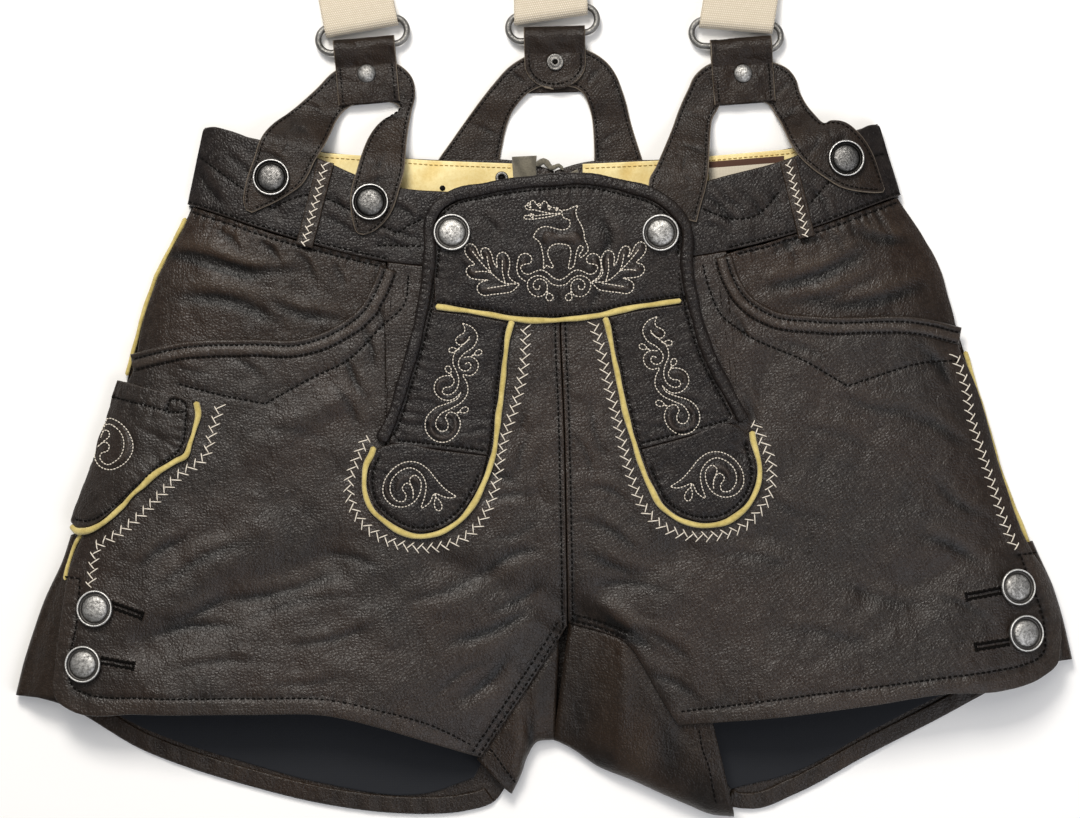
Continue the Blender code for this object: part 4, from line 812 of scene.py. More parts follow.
CHAMOIS_SKIN = fibre("chamois_facing", "chamois", "e2cb88", "f5e5ab", 1.4, 0.1)
CHAMOIS_ROLL = fibre("chamois_piping", "chamois", "a6934a", "cebc74", 1.8, 0.22)
SUEDE = fibre("suede_lace", "suede", "4f4b41", "7b7565", 0.9, 0.14)
LINING_CLOTH = woven("cotton_twill_lining", "lining", "0b0e14", "151a22", 0.9, 0.9, 0.03, 1.0,
                     sheen=0.03)
WEBBING = woven("elastic_webbing", "elastic", "bdb19b", "ece3d4", 1.1, 1.2, 0.2, 0.5)
LABEL_CLOTH = woven("woven_label", "label_cloth", "c9c0ac", "e4dccb", 0.8, 0.8, 0.04,
                    roughness=0.8, band="4a2c1c")
CREAM_THREAD = spun("cotton_thread_cream", "thread", "c9bfae", "ece4d6")
DARK_THREAD = spun("cotton_thread_dark", "dark_thread", "050403", "0d0a08", 0.0, 0.08)
YELLOW_THREAD = spun("cotton_thread_yellow", "thread", "93762f", "b4944a")
METAL = cast_metal("antique_silver_casting", "c8c7c4", "4a4846", 0.48)
GUNMETAL = cast_metal("gunmetal_casting", "8b8a88", "1d1c1b")
WIRE = cast_metal("antique_silver_wire", "8a8986", "454341", 0.42, 0.4)
print("finishes:", len(bpy.data.materials))

# %% [markdown]
# ## Builders
#
# Four shapes make almost everything: a shell, which is a panel with a rounded edge; a roll, which
# is an elliptical section carried along a line; a turned piece; and a run of thread. Each is
# computed as one array of points and written to its mesh in one go.


def piece(name, points, faces, material, replaces=None, uv=None, **values):
    """Writes points in millimetres and blocks of faces to a mesh that rides on the frame.

    It takes the place of the solid of its own name, unless replaces names others or none.
    values are numbers per point that the finish reads, such as relief and edge.
    """
    shown = name + "_finished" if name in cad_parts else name
    mesh = bpy.data.meshes.new(shown)
    corners = np.concatenate([block.ravel() for block in faces]).astype(np.int32)
    sizes = np.concatenate([np.full(len(block), block.shape[1]) for block in faces])
    starts = np.concatenate([[0], np.cumsum(sizes)[:-1]]).astype(np.int32)
    points = points.reshape(-1, 3)
    mesh.vertices.add(len(points))
    mesh.vertices.foreach_set("co", ((points - MIDDLE) * MM).astype(np.float32).ravel())
    mesh.loops.add(len(corners))
    mesh.loops.foreach_set("vertex_index", corners)
    mesh.polygons.add(len(sizes))
    mesh.polygons.foreach_set("loop_start", starts)
    for key, numbers in values.items():
        attribute = mesh.attributes.new(key, "FLOAT", "POINT")
        attribute.data.foreach_set("value", np.asarray(numbers, np.float32).ravel())
    if uv is not None:
        layer = mesh.uv_layers.new(name="UVMap")
        layer.data.foreach_set("uv", uv.reshape(-1, 2)[corners].astype(np.float32).ravel())
    mesh.update(calc_edges=True)
    mesh.validate()
    mesh.shade_smooth()
    mesh.materials.append(material)
    thing = bpy.data.objects.new(shown, mesh)
    bpy.context.scene.collection.objects.link(thing)
    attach(thing, "root")
    replaces = (name,) if replaces is None else replaces
    if replaces:
        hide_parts(*replaces)
    return thing


def with_wall(thing, thickness):
    """Gives a sheet of faces a wall of a thickness, half to each side."""
    wall = thing.modifiers.new("wall", "SOLIDIFY")
    wall.thickness = thickness * MM
    wall.offset = 0.0


def numbered(rows, columns, closed=False):
    """Point numbers in rows and columns; closed repeats the first column after the last."""
    ids = np.arange(rows * columns).reshape(rows, columns)
    return np.concatenate([ids, ids[:, :1]], axis=1) if closed else ids


def grid_faces(ids, flip=False):
    """Quads between neighbouring rows and columns of point numbers."""
    quads = np.stack([ids[:-1, :-1], ids[1:, :-1], ids[1:, 1:], ids[:-1, 1:]], axis=-1)
    quads = quads.reshape(-1, 4)
    return quads[:, ::-1] if flip else quads


def end_caps(ids):
    """One face over the first ring of points and one over the last."""
    return [ids[:1, :-1], ids[-1:, -2::-1]]


print("the mesh writer is ready")

# %% Panels
RIM = np.array([0.12, 0.4, 0.9])


def spaced(length, pitch):
    """Shares of a length: even steps of about a pitch, and three close ones at each end."""
    count = max(int(round((length - 2 * RIM[-1]) / pitch)), 2)
    inner = np.linspace(RIM[-1], length - RIM[-1], count + 1)
    return np.concatenate([[0], RIM[:-1], inner, length - RIM[:-1][::-1], [length]]) / length


def coons(top, bottom, left, right, u, v):
    """Points of a Coons patch between four lines, at shares u across it and v down it.

    A point is the mix of the top and bottom lines, plus the mix of the side lines, less the
    mix of the four corners.
    """
    corners = (
        (1 - u) * (1 - v) * (top[0] + left[0]) / 2
        + u * (1 - v) * (top[-1] + right[0]) / 2
        + (1 - u) * v * (bottom[0] + left[-1]) / 2
        + u * v * (bottom[-1] + right[-1]) / 2
    )
    return ((1 - v) * top[None] + v * bottom[None] + (1 - u) * left[:, None]
            + u * right[:, None] - corners)


def panel(top, bottom, left, right, pitch):
    """Plan grid of a patch between four lines, and each point's distance to its edge."""
    top, bottom, left, right = (smooth(line, 160) for line in (top, bottom, left, right))
    width = (length_of(top) + length_of(bottom)) / 2
    height = (length_of(left) + length_of(right)) / 2
    across, down = spaced(width, pitch), spaced(height, pitch)
    plan = coons(at(top, across), at(bottom, across), at(left, down), at(right, down),
                 across[None, :, None], down[:, None, None])
    edge = np.minimum(np.minimum(across, 1 - across)[None] * width,
                      np.minimum(down, 1 - down)[:, None] * height)
    return plan, edge


def straight_sided(top, bottom, pitch):
    """A panel between two lines, with straight sides from end to end."""
    return panel(top, bottom, [top[0], bottom[0]], [top[-1], bottom[-1]], pitch)


def shell(name, grid, surface, thickness, material, lift=0.0, detail=None, hollows=None,
          replaces=None, uv=None):
    """A panel of leather or cloth with a rounded edge all round.

    The middle surface moves out and in along its normal by half the thickness times
    sqrt(1 - (1 - d / r)^2), where d is the distance to the edge and r half the thickness. The
    detail, a height in millimetres, is added to the outer face alone.
    """
    plan, edge = grid
    radius = thickness / 2
    swell = np.sqrt(1 - (1 - np.clip(edge / radius, 0, 1)) ** 2)
    middle, normal = raised(plan, surface, lift)
    x, y = plan[..., 0], plan[..., 1]
    relief = detail(x, y) if detail else np.zeros(np.shape(x))
    upper = middle + normal * ((radius + relief) * swell)[..., None]
    lower = (middle - normal * (radius * swell)[..., None])[1:-1, 1:-1]
    rows, columns = edge.shape
    over = numbered(rows, columns)
    under = over.copy()
    under[1:-1, 1:-1] = rows * columns + numbered(rows - 2, columns - 2)
    down = np.diff(plan, axis=0)[:, :-1]
    right = np.diff(plan, axis=1)[:-1]
    flip = (down[..., 0] * right[..., 1] - down[..., 1] * right[..., 0]).mean() < 0
    # The relief and the hollows are stored for the finish, which paints shade where they sink and,
    # on leather, highlight where they rise; on the label the hollows mark its woven border band.
    tone = relief + (hollows(x, y) if hollows else 0.0)
    cut = np.exp(-edge / 0.8)
    inner = (slice(1, -1), slice(1, -1))
    values = {"relief": np.concatenate([tone.ravel(), 0 * tone[inner].ravel()]),
              "edge": np.concatenate([cut.ravel(), cut[inner].ravel()])}
    if uv is not None:
        uv = np.concatenate([uv.reshape(-1, 2), uv[inner].reshape(-1, 2)])
    return piece(name, np.concatenate([upper.reshape(-1, 3), lower.reshape(-1, 3)]),
                 [grid_faces(over, flip), grid_faces(under, not flip)], material, replaces,
                 uv, **values)


print("a panel 200 mm wide has", len(spaced(200, 1.4)), "columns")

# %% Rolls, turned pieces and thread
def roll(name, points, size, surface, lift, material, wobble, replaces=None, pitch=0.8,
         wrinkle=None, taper=1.0, flat=0.0, sides=12):
    """A rolled edge: an elliptical section carried along a plan line on a surface.

    The wobble, a slow sine mix, makes it a little uneven in width and place; a wrinkle
    (pitch, depth) pinches it across its length. flat squares the section: the sine and cosine
    are raised to the power 1 - flat. The ends round off over the taper.
    """
    line = smooth(points, 400)
    count = int(length_of(line) / pitch)
    line = evenly(line, count)
    way = walked(line)
    sway = wobble * (np.sin(way / 5.3 + 1.0) + 0.6 * np.sin(way / 2.1))
    thick = 1 + 0.35 * wobble * (np.sin(way / 3.7) + np.sin(way / 7.9 + 2.0))
    line = line + (beside(line, 1.0) - line) * (0.35 * sway)[:, None]
    centre, out = raised(line, surface, lift)
    relief = np.zeros(count)
    if wrinkle:
        step, depth = wrinkle
        fold = np.sin(2 * math.pi * way / step + 1.4 * np.sin(way / 6.1) + np.sin(way / 2.7))
        relief = depth * np.minimum(fold, 0.2) * (0.55 + 0.45 * np.sin(way / 11.0))
    along = unit(np.gradient(centre, axis=0))
    across = unit(np.cross(along, out))
    out = np.cross(across, along)
    way = walked(centre)
    end = np.minimum(way, way[-1] - way)
    full = np.sqrt(np.clip(1 - (1 - np.clip(end / taper, 0, 1)) ** 2, 0.04, 1))
    wide = (size[0] / 2 * thick + 0.4 * relief) * full
    high = (size[1] / 2 * thick + relief) * full
    turn = np.arange(sides) * 2 * math.pi / sides
    c = np.sign(np.cos(turn)) * np.abs(np.cos(turn)) ** (1 - flat)
    s = np.sign(np.sin(turn)) * np.abs(np.sin(turn)) ** (1 - flat)
    ring = (centre[:, None] + across[:, None] * (wide[:, None] * c)[..., None]
            + out[:, None] * (high[:, None] * s)[..., None])
    ids = numbered(count, sides, closed=True)
    # The pinches are stored as relief, which the finish paints as shade.
    tone = np.broadcast_to(relief[:, None], ring.shape[:2])
    return piece(name, ring, [grid_faces(ids, True), *end_caps(ids)], material, replaces,
                 relief=tone, edge=0 * tone)


def turned(name, profile, position, normal, material, steps=48, hollow=False, relief=None,
           replaces=None):
    """A turned piece: a profile of radius and height carried once round the normal."""
    profile = np.array(profile, float)
    turn = np.arange(steps) * 2 * math.pi / steps
    normal = np.asarray(normal, float)
    side = unit(np.cross([0.0, 1.0, 0.0], normal))
    other = np.cross(normal, side)
    rings = profile if hollow else profile[1:-1]
    points = (position + rings[:, None, 1:] * normal
              + rings[:, None, :1] * (np.cos(turn)[:, None] * side + np.sin(turn)[:, None] * other))
    points = points.reshape(-1, 3)
    ids = numbered(len(rings), steps, closed=True)
    tone = np.zeros(len(profile)) if relief is None else np.array(relief, float)
    if hollow:
        faces = [grid_faces(np.concatenate([ids, ids[:1]]))]
        tone = np.repeat(tone, steps)
    else:
        fan = np.full(steps, len(points))
        points = np.concatenate([points, position + profile[[0, -1], 1:] * normal])
        faces = [grid_faces(ids), np.stack([fan, ids[0, :-1], ids[0, 1:]], axis=1),
                 np.stack([fan + 1, ids[-1, 1:], ids[-1, :-1]], axis=1)]
        tone = np.concatenate([np.repeat(tone[1:-1], steps), tone[[0, -1]]])
    return piece(name, points, faces, material, replaces, relief=tone, edge=0 * tone)


def merged(runs):
    """Runs of stitches as one: their starts, ends and normals."""
    return [np.concatenate([run[i] for run in runs]) for i in range(3)]


STITCH_WAY = np.array([0.0, 0.2, 0.8, 1.0])
STITCH_HEIGHT = np.array([-0.6, 0.45, 0.45, -0.6])
STITCH_RISE = np.array([0.0, 0.8, 0.8, 0.0])
STITCH_THICKNESS = np.array([0.6, 1.0, 1.0, 0.6])
STITCH_SIDES = 5


def thread(name, runs, radius, material=DARK_THREAD, rise=0.25):
    """Stitches: each a short five-sided thread that leaves the leather, lies on it and goes in.

    runs holds (starts, ends, normals) arrays. The four rings of a stitch lie at a share of its
    length, at a height in radii plus a part of the rise, and have a thickness in radii.
    """
    first, last, up = merged(runs)
    along = unit(last - first)
    across = unit(np.cross(along, up))
    up = np.cross(across, along)
    height = radius * STITCH_HEIGHT + rise * STITCH_RISE
    centre = (first[:, None] + STITCH_WAY[None, :, None] * (last - first)[:, None]
              + height[None, :, None] * up[:, None])
    turn = np.arange(STITCH_SIDES) * 2 * math.pi / STITCH_SIDES
    thick = radius * STITCH_THICKNESS[:, None]
    ring = (centre[:, :, None]
            + (thick * np.cos(turn))[None, :, :, None] * across[:, None, None]
            + (thick * np.sin(turn))[None, :, :, None] * up[:, None, None])
    ids = numbered(len(STITCH_WAY), STITCH_SIDES, closed=True)
    starts = len(STITCH_WAY) * STITCH_SIDES * np.arange(len(first))[:, None, None]
    quads = (starts + grid_faces(ids, True)[None]).reshape(-1, 4)
    caps = (starts + np.concatenate(end_caps(ids))[None]).reshape(-1, STITCH_SIDES)
    return piece(name, ring, [quads, caps], material, replaces=())


def skin(surface, lift, detail=None):
    """A function that puts plan points on a leather's outer face, and gives the normals."""
    def place(plan):
        point, normal = raised(plan, surface, lift)
        if detail is not None:
            point = point + detail(plan[..., 0], plan[..., 1])[..., None] * normal
        return point, normal
    return place


def laid_stitches(first, last, place):
    """Stitches between two lists of plan points, put on a leather's face."""
    start, normal = place(first)
    return start, place(last)[0], normal


def row(line, place, pitch=3.0, part=0.74):
    """A row of running stitches along a plan line, each covering a part of the pitch."""
    line = smooth(line, 300)
    count = max(int(round(length_of(line) / pitch)), 1)
    middle = (np.arange(count) + 0.5) / count
    return laid_stitches(at(line, middle - part / 2 / count),
                         at(line, middle + part / 2 / count), place)


FEATHER = ((-2.9, 0.0, 0.8, 3.45), (2.8, -2.7, -1.4, 1.07))


def feather(line, place, pitch=5.15, mirrored=False, scale=1.0):
    """Feather stitch: slanted arms that cross a line from both sides, each catching the last."""
    line = smooth(line, 300)
    length = length_of(line)
    count = max(int(length / pitch), 2)
    way = (np.arange(count) + 0.5) / count * length
    runs = []
    for c0, s0, c1, s1 in FEATHER:
        ends = []
        for c, s in ((c0, s0), (c1, s1)):
            shares = np.clip((way + s * scale) / length, 0, 1)
            ahead = at(line, np.clip(shares + 0.01, 0, 1)) - at(line, np.clip(shares - 0.01, 0, 1))
            side = left_of(unit(ahead)) * (-1 if mirrored else 1)
            ends.append(at(line, shares) + side * c * scale)
        runs.append(laid_stitches(*ends, place))
    return merged(runs)


print("a 100 mm row has", len(row([(0, 300), (50, 300), (100, 300)], skin(front, 1.0))[0]),
      "stitches")

# %% [markdown]
# ## Sewing lines on the trousers
#
# Leather is joined and decorated by rows of lockstitch. A row does three things that can be
# seen: the thread lies in a shallow groove, the leather swells between rows, and short
# puckers stand beside it where the thread draws the leather in. So each row is one line in a
# table, used twice: for the relief of the leather here and for its stitches further on.

# %% Rows of stitching
LEFT_ROWS = [
    part_of(moved(CENTRE_SEAM, -2.7), 0.1, 1.0),
    moved(INSEAM_LEFT, -1.9),
    moved(INSEAM_LEFT, -5.6),
    curve([(-72, 287), (-74, 272), (-87, 259), (-96, 249), (-103.5, 242.3), (-121.5, 233.3),
           (-147.5, 219)], 300),
    curve([(-147.5, 219), (-168, 223), (-193.5, 229.4)], 120),
    curve([(-254, 127.5), (-245, 126.5)], 20),
    curve([(-245, 126.5), (-246.5, 104), (-250, 80), (-248.5, 70.5), (-240, 66.5), (-213, 64.6),
           (-156, 64.5), (-111, 63.5), (-88, 58.5), (-58, 49.5), (-39, 39.5)], 300),
]
RIGHT_ROWS = [
    moved(INSEAM_RIGHT[:3], 1.9), moved(INSEAM_RIGHT[:3], 5.2),
    part_of(moved(CENTRE_SEAM, 2.7), 0.1, 1.0),
    curve([(83, 293), (87, 278.5), (92.3, 266.6), (105.4, 256), (137, 241.5), (159.5, 228.3)],
          300),
    curve([(159.5, 228.3), (176, 234), (199, 240.5), (219, 242)], 160),
    curve([(249, 139), (261, 140)], 20),
    curve([(251, 138.6), (256.2, 124.3), (262, 109), (263.5, 98), (263, 88.5), (259, 84.5),
           (252, 81.8), (235.7, 78.8), (210, 75.5), (171.5, 70.4), (145.7, 67.2), (110, 62.4),
           (71, 57.2)], 300),
]
POCKET_ROWS = [
    part_of(moved(WAIST_SEAM_LEFT, -3.0), 0.02, 0.97),
    part_of(moved(WAIST_SEAM_RIGHT, -3.0), 0.04, 0.98),
]
BAND_ROWS = [
    curve([(-183, 350), (-162.6, 334.7), (-144, 322)], 120),
    curve([(-144, 322), (-137, 325.7), (-124, 329.5), (-111.3, 325.7), (-96, 317.5), (-78, 309)],
          120),
    curve([(-78, 309), (-71, 313.5), (-65, 316.5)], 40),
    curve([(-89, 302.6), (-77, 302.4), (-65, 302)], 60),
    curve([(83, 322), (97.5, 316.7), (110.7, 318), (123.9, 331.2)], 100),
    curve([(140, 325), (152, 338), (168, 348), (180, 352)], 100),
    moved(WAIST_SEAM_LEFT, 1.5), moved(WAIST_SEAM_RIGHT, 1.5),
]
SIDE_FEATHERS = [
    [(-170.7, 219.4), (-175, 205), (-179.8, 190), (-186, 185.4), (-191.3, 182.2),
     (-197.3, 176.1), (-207.5, 165.3), (-217.6, 155.9), (-229.8, 147.1), (-235.4, 144.4),
     (-237.3, 137.3), (-238.2, 130), (-239.3, 122.1)],
    [(216, 246), (222, 229), (225, 211), (229.5, 196), (236, 176), (242, 157), (248.5, 142)],
]
TAB_FEATHERS = [
    [(-10, 261), (-11, 239), (-14, 224), (-18, 211), (-22, 199), (-24.5, 184), (-29, 166),
     (-35, 155), (-42, 148.5), (-52, 144.5), (-63, 143), (-76, 144.6), (-87, 149), (-95, 155),
     (-101, 164), (-103.5, 175), (-100, 188), (-93.5, 202)],
    [(25, 263), (29.5, 247), (32.5, 232), (36.5, 216), (40, 201), (43, 188), (46, 178),
     (50, 167.5), (55.5, 159.5), (64, 153), (74, 149.8), (85, 149), (96, 150.8), (106, 155.5),
     (112.5, 162), (117.5, 170), (119.4, 179), (118.5, 190), (114.5, 200), (110, 210)],
]
BUTTONHOLES = [
    ((-228.5, 113.4), (-211.5, 107.8)), ((-233.5, 84.2), (-216, 81.2)),
    ((240, 120.7), (221.5, 117.4)), ((244, 93.8), (225.8, 91.2)),
]
print(len(LEFT_ROWS) + len(RIGHT_ROWS) + len(BAND_ROWS), "rows on the fronts and waistband")

# %% Relief along the rows
FLAP_PUCKER = 0.26
PUCKER_LENGTH = 5.6
FEATHER_SWELL = (0.12, 2.4)  # height, width


def row_relief(rows, groove=0.5, pucker=0.32):
    """Grooves and puckers along rows of stitching.

    A groove is a bell across the row. A pucker is a sine along it, whose pitch drifts, and
    whose height fades over a few millimetres to either side.
    """
    def height(x, y):
        total = np.zeros(np.shape(x))
        for number, line in enumerate(rows):
            line = evenly(line, max(int(length_of(line) / 5), 6))
            away, way = nearest(line, x, y)
            drift = 1.3 * np.sin(way / 17.0 + number) + 0.8 * np.sin(way / 7.0 + 2 * number)
            wave = np.sin(2 * math.pi * way / PUCKER_LENGTH + drift)
            spread = 3.2 + 1.6 * np.sin(way / 13.0 + 3 * number)
            total -= groove * bell(away, 1.0)
            total += pucker * wave * np.exp(-np.abs(away) / spread) * (np.abs(away) > 0.6)
        return total
    return height


def hem_swell(line, width, height):
    """A turned edge is double: it stands up a little between its sewing row and its fold."""
    line = evenly(line, 40)
    return lambda x, y: height * smoothstep((width - distance_to(line, x, y)) / 1.4)


def summed(*parts):
    return lambda x, y: sum(part(x, y) for part in parts)


def buttonhole_relief(x, y):
    """A worked buttonhole: a raised cord of thread round a sunk slit, painted dark as shade."""
    total = np.zeros(np.shape(x))
    for hole in BUTTONHOLES:
        away = distance_to(np.array(hole), x, y)
        total += 0.3 * bell(away - 1.7, 0.9) - 0.5 * bell(away, 0.7)
    return total


def feather_relief(lines):
    """A low swelling of the leather along each line of feather stitch."""
    height, width = FEATHER_SWELL
    lines = [evenly(curve(line, 200), 30) for line in lines]
    return lambda x, y: sum(height * bell(distance_to(line, x, y), width) for line in lines)


LEFT_EDGE = joined(curve(FRONT_SIDE_LEFT[6:], 40), curve(HEM_FRONT_LEFT, 120))
RIGHT_EDGE = joined(curve(FRONT_SIDE_RIGHT[3:], 40), curve(HEM_FRONT_RIGHT, 120))
left_detail = summed(row_relief(LEFT_ROWS), hem_swell(LEFT_EDGE, 8.4, 0.35), buttonhole_relief,
                     feather_relief([SIDE_FEATHERS[0], TAB_FEATHERS[0]]))
right_detail = summed(row_relief(RIGHT_ROWS), hem_swell(RIGHT_EDGE, 8.0, 0.35),
                      buttonhole_relief, feather_relief([SIDE_FEATHERS[1], TAB_FEATHERS[1]]))
pocket_detail = row_relief(POCKET_ROWS, 0.6, 0.5)
band_detail = row_relief(BAND_ROWS, 0.45, 0.2)
print("relief at a buttonhole:", round(float(buttonhole_relief(-220.0, 110.5)), 2), "mm")

# %% [markdown]
# ## Front panels
#
# Each half of the front is one skin between the side, the pocket mouth, the waist seam, the
# centre seam, the inseam and the hem. It is made as one patch with a grid of about 1.6 mm, so
# that creases and puckers are true shapes. A coarser grid with a displacement in the finish
# would look flat from the side.

# %% The two fronts
FRONT_PITCH = 1.6
UNDER_WELT = 1.2


def trouser_front(name, pocket, waist, side, hem, inseam, away, detail):
    """A front between its lines; away is -1 on the left and +1 on the right."""
    mouth = beside(curve(pocket, 300), away * (WELT_CLEAR - UNDER_WELT))
    seam = curve(waist, 120) - np.array([0.0, SEAM_GAP])
    seam[0] = mouth[-1]
    centre = curve(CENTRE_SEAM, 300) + np.array([away * CENTRE_GAP / 2, 0.0])
    centre[0] = seam[-1]
    leg = curve(inseam, 120) + np.array([away * CENTRE_GAP / 2, 0.0])
    centre = centre[centre[:, 1] > leg[1, 1] + 0.3]
    leg[0] = centre[-1]
    outer = curve(side, 300)
    outer[0] = mouth[0]
    bottom = curve(hem, 300)
    bottom[0] = outer[-1]
    inner = joined(centre, leg)
    inner[-1] = bottom[-1]
    # The creases are painted into the colour as well: shade in their troughs, highlight on their
    # ridges.
    shell(name, panel(joined(mouth, seam), bottom, outer, inner, FRONT_PITCH), creased_front,
          LEATHER, NAPPA, detail=detail, hollows=front_creases)


trouser_front("front_left", POCKET_LEFT, WAIST_SEAM_MIDDLE_LEFT, FRONT_SIDE_LEFT,
              HEM_FRONT_LEFT, INSEAM_LEFT, -1, left_detail)
trouser_front("front_right", POCKET_RIGHT, WAIST_SEAM_MIDDLE_RIGHT[::-1], FRONT_SIDE_RIGHT,
              HEM_FRONT_RIGHT, INSEAM_RIGHT, 1, right_detail)

# %% [markdown]
# ## Back panels
#
# The back lies flat on the table, turns up at the inner thigh and at the vents, and shows
# mostly through the leg mouths, where its hem is turned in. Three blocks of surface share their
# edges, are merged, and get their wall from a Solidify modifier, because a wall made by hand
# would have to be fitted at every fold.

# %% The two backs
def folded_over(edge, target, radius, end_height, columns):
    """The wall that turns up from the table at an edge and comes back over to a target line.

    It runs round a quarter circle, then moves to the target with the square of its way while
    its height rises by 2s - s^2 of the rest.
    """
    outward = unit(edge - target)
    strips = [with_height(edge + outward * radius * math.sin(angle),
                    BACK_LEVEL + radius * (1 - math.cos(angle)))
              for angle in np.linspace(0, math.pi / 2, 7)]
    plan, height = strips[-1][:, :2], strips[-1][:, 2]
    strips += [with_height(plan + (target - plan) * s**2,
                     height + (end_height - height) * (2 * s - s * s))
               for s in np.linspace(0, 1, columns + 1)[1:]]
    return np.stack(strips, axis=1)


def vent_wrap(edge, target, columns):
    """The back's edge turned up round the side and tucked under the front's vent."""
    radius = (front(edge[:, 0], edge[:, 1]) - VENT_DROP - BACK_LEVEL) / 2
    outward = unit(edge - target)
    strips = [with_height(edge + outward * (radius * math.sin(angle))[:, None],
                    BACK_LEVEL + radius * (1 - math.cos(angle)))
              for angle in np.linspace(0, math.pi, 13)]
    for s in np.linspace(0, 1, columns + 1)[1:]:
        plan = edge + (target - edge) * s
        strips.append(with_height(plan, front(plan[:, 0], plan[:, 1]) - VENT_DROP))
    return np.stack(strips, axis=1)


def welded(name, blocks, thickness, material):
    """Blocks of points, relief and side, merged along shared edges, with a Solidify wall."""
    faces, base = [], 0
    for points, _, flip in blocks:
        ids = base + numbered(*points.shape[:2])
        faces.append(grid_faces(ids, flip))
        base += ids.size
    relief = np.concatenate([block[1].ravel() for block in blocks])
    thing = piece(name, np.concatenate([block[0].reshape(-1, 3) for block in blocks]), faces,
                  material, relief=relief, edge=0 * relief)
    weld = thing.modifiers.new("weld", "WELD")
    weld.merge_threshold = 0.02 * MM
    with_wall(thing, thickness)


THIGHS = {}
SIDE_INSET = 2.6
FOLD_ROUNDING = 4.0
UNDER_INSEAM = (2.0, 2.4)


def trouser_back(name, side, band_bottom, fold, hem, inseam, vent, away, vent_from):
    """A back panel: flat on the table, folded over at the inner thigh and round the vent."""
    upper = curve([(x + away * 0.03, y) for x, y in BACK_SEAM], 90)
    lower = curve(fold, 40)
    lower[0] = upper[-1]
    inner = joined(upper, lower)
    top = curve(np.array(band_bottom, float) - np.array([0.0, 2 * SEAM_GAP]), 90)
    top[-1] = inner[0]
    outer = evenly(curve(side, 200) - np.array([away * SIDE_INSET, 0.0]), len(inner))
    outer[0] = top[0]
    bottom = curve(hem, len(top))
    bottom[0] = outer[-1]
    bottom[-1] = inner[-1]
    flat = coons(top, bottom, outer, inner, ((share(top) + share(bottom)) / 2)[None, :, None],
                 ((share(outer) + share(inner)) / 2)[:, None, None])
    floor_points = np.dstack([flat, np.full(flat.shape[:2], BACK_LEVEL)])
    seat = curve(inseam, len(lower))
    under = front(seat[:, 0], seat[:, 1]) - np.linspace(*UNDER_INSEAM, len(seat))
    thigh = folded_over(lower, seat, FOLD_ROUNDING, under, 26)
    way = np.linspace(0, 1, thigh.shape[1])[None]
    down = np.linspace(0, 1, thigh.shape[0])[:, None]
    soft = np.sin(math.pi * way) * np.sin(math.pi * down) ** 0.5
    wrinkle = soft * (0.5 * np.sin(9 * down + 5 * way + away) + 0.3 * np.sin(23 * down - 6 * way))
    thigh[..., 2] = np.minimum(thigh[..., 2] + wrinkle,
                               front(thigh[..., 0], thigh[..., 1]) - THIGH_DROP)
    THIGHS[name] = thigh
    rows = outer[int(np.searchsorted(-outer[:, 1], -vent_from)):]
    wrap = vent_wrap(rows, curve(vent, len(rows)), 6)
    flip = away > 0
    # The thigh's wrinkles are painted as shade and highlight too, and the whole thigh a little
    # darker as painted shade.
    welded(name, [(floor_points, np.zeros(flat.shape[:2]), flip),
                  (thigh, 0.9 * wrinkle - 0.1, flip),
                  (wrap, np.zeros(wrap.shape[:2]), not flip)], LEATHER, HEM_NAPPA)


THIGH_LEFT = [(7.5, 102.5), (0.8, 90.6), (-36, 31)]
THIGH_RIGHT = [(13.2, 105.5), (29, 101.8), (44, 95.5), (57, 82), (72, 68), (87, 56.5)]
TUCK_LEFT = [(-240, 155), (-244, 128), (-248, 63)]
TUCK_RIGHT = [(250, 145), (262, 112), (262, 82)]
trouser_back("back_left", SIDE_LEFT[1:], BACK_BAND_BOTTOM[:4], CROTCH_FOLD_LEFT,
             HEM_BACK_LEFT, THIGH_LEFT, TUCK_LEFT, -1, 152)
trouser_back("back_right", SIDE_RIGHT[1:], BACK_BAND_BOTTOM[::-1][:4], CROTCH_FOLD_RIGHT,
             HEM_BACK_RIGHT, THIGH_RIGHT, TUCK_RIGHT, 1, 146)
print("backs made, each welded from 3 blocks")

# %% [markdown]
# ## Hems and lining in the leg mouths
#
# Inside each leg mouth the back's hem is turned in as a narrow band of leather with a raw
# upper edge, and above it the navy lining begins. The band is a shell of its own on the back.

# %% Turned hems and lining
def strip_along(line, width, pitch=1.0):
    """Plan grid of a band beside a line, from the line to a width on its left-hand side."""
    line = evenly(line, max(int(length_of(line) / pitch), 4))
    across = np.concatenate([[0, 0.15, 0.45, 0.9], np.linspace(0.9, abs(width) - 0.9, 8)[1:],
                             abs(width) - np.array([0.45, 0.15, 0.0])])
    plan = np.stack([beside(line, math.copysign(d, width)) for d in across], axis=1)
    way = walked(line)
    ends = np.minimum(way, way[-1] - way)
    return plan, np.minimum(ends[:, None], np.minimum(across, abs(width) - across)[None])


def hem_relief(x, y):
    return 0.16 * np.sin(x / 1.9 + 1.2 * np.sin(y / 6.0)) * (np.sin(x / 17.0) > -0.3)


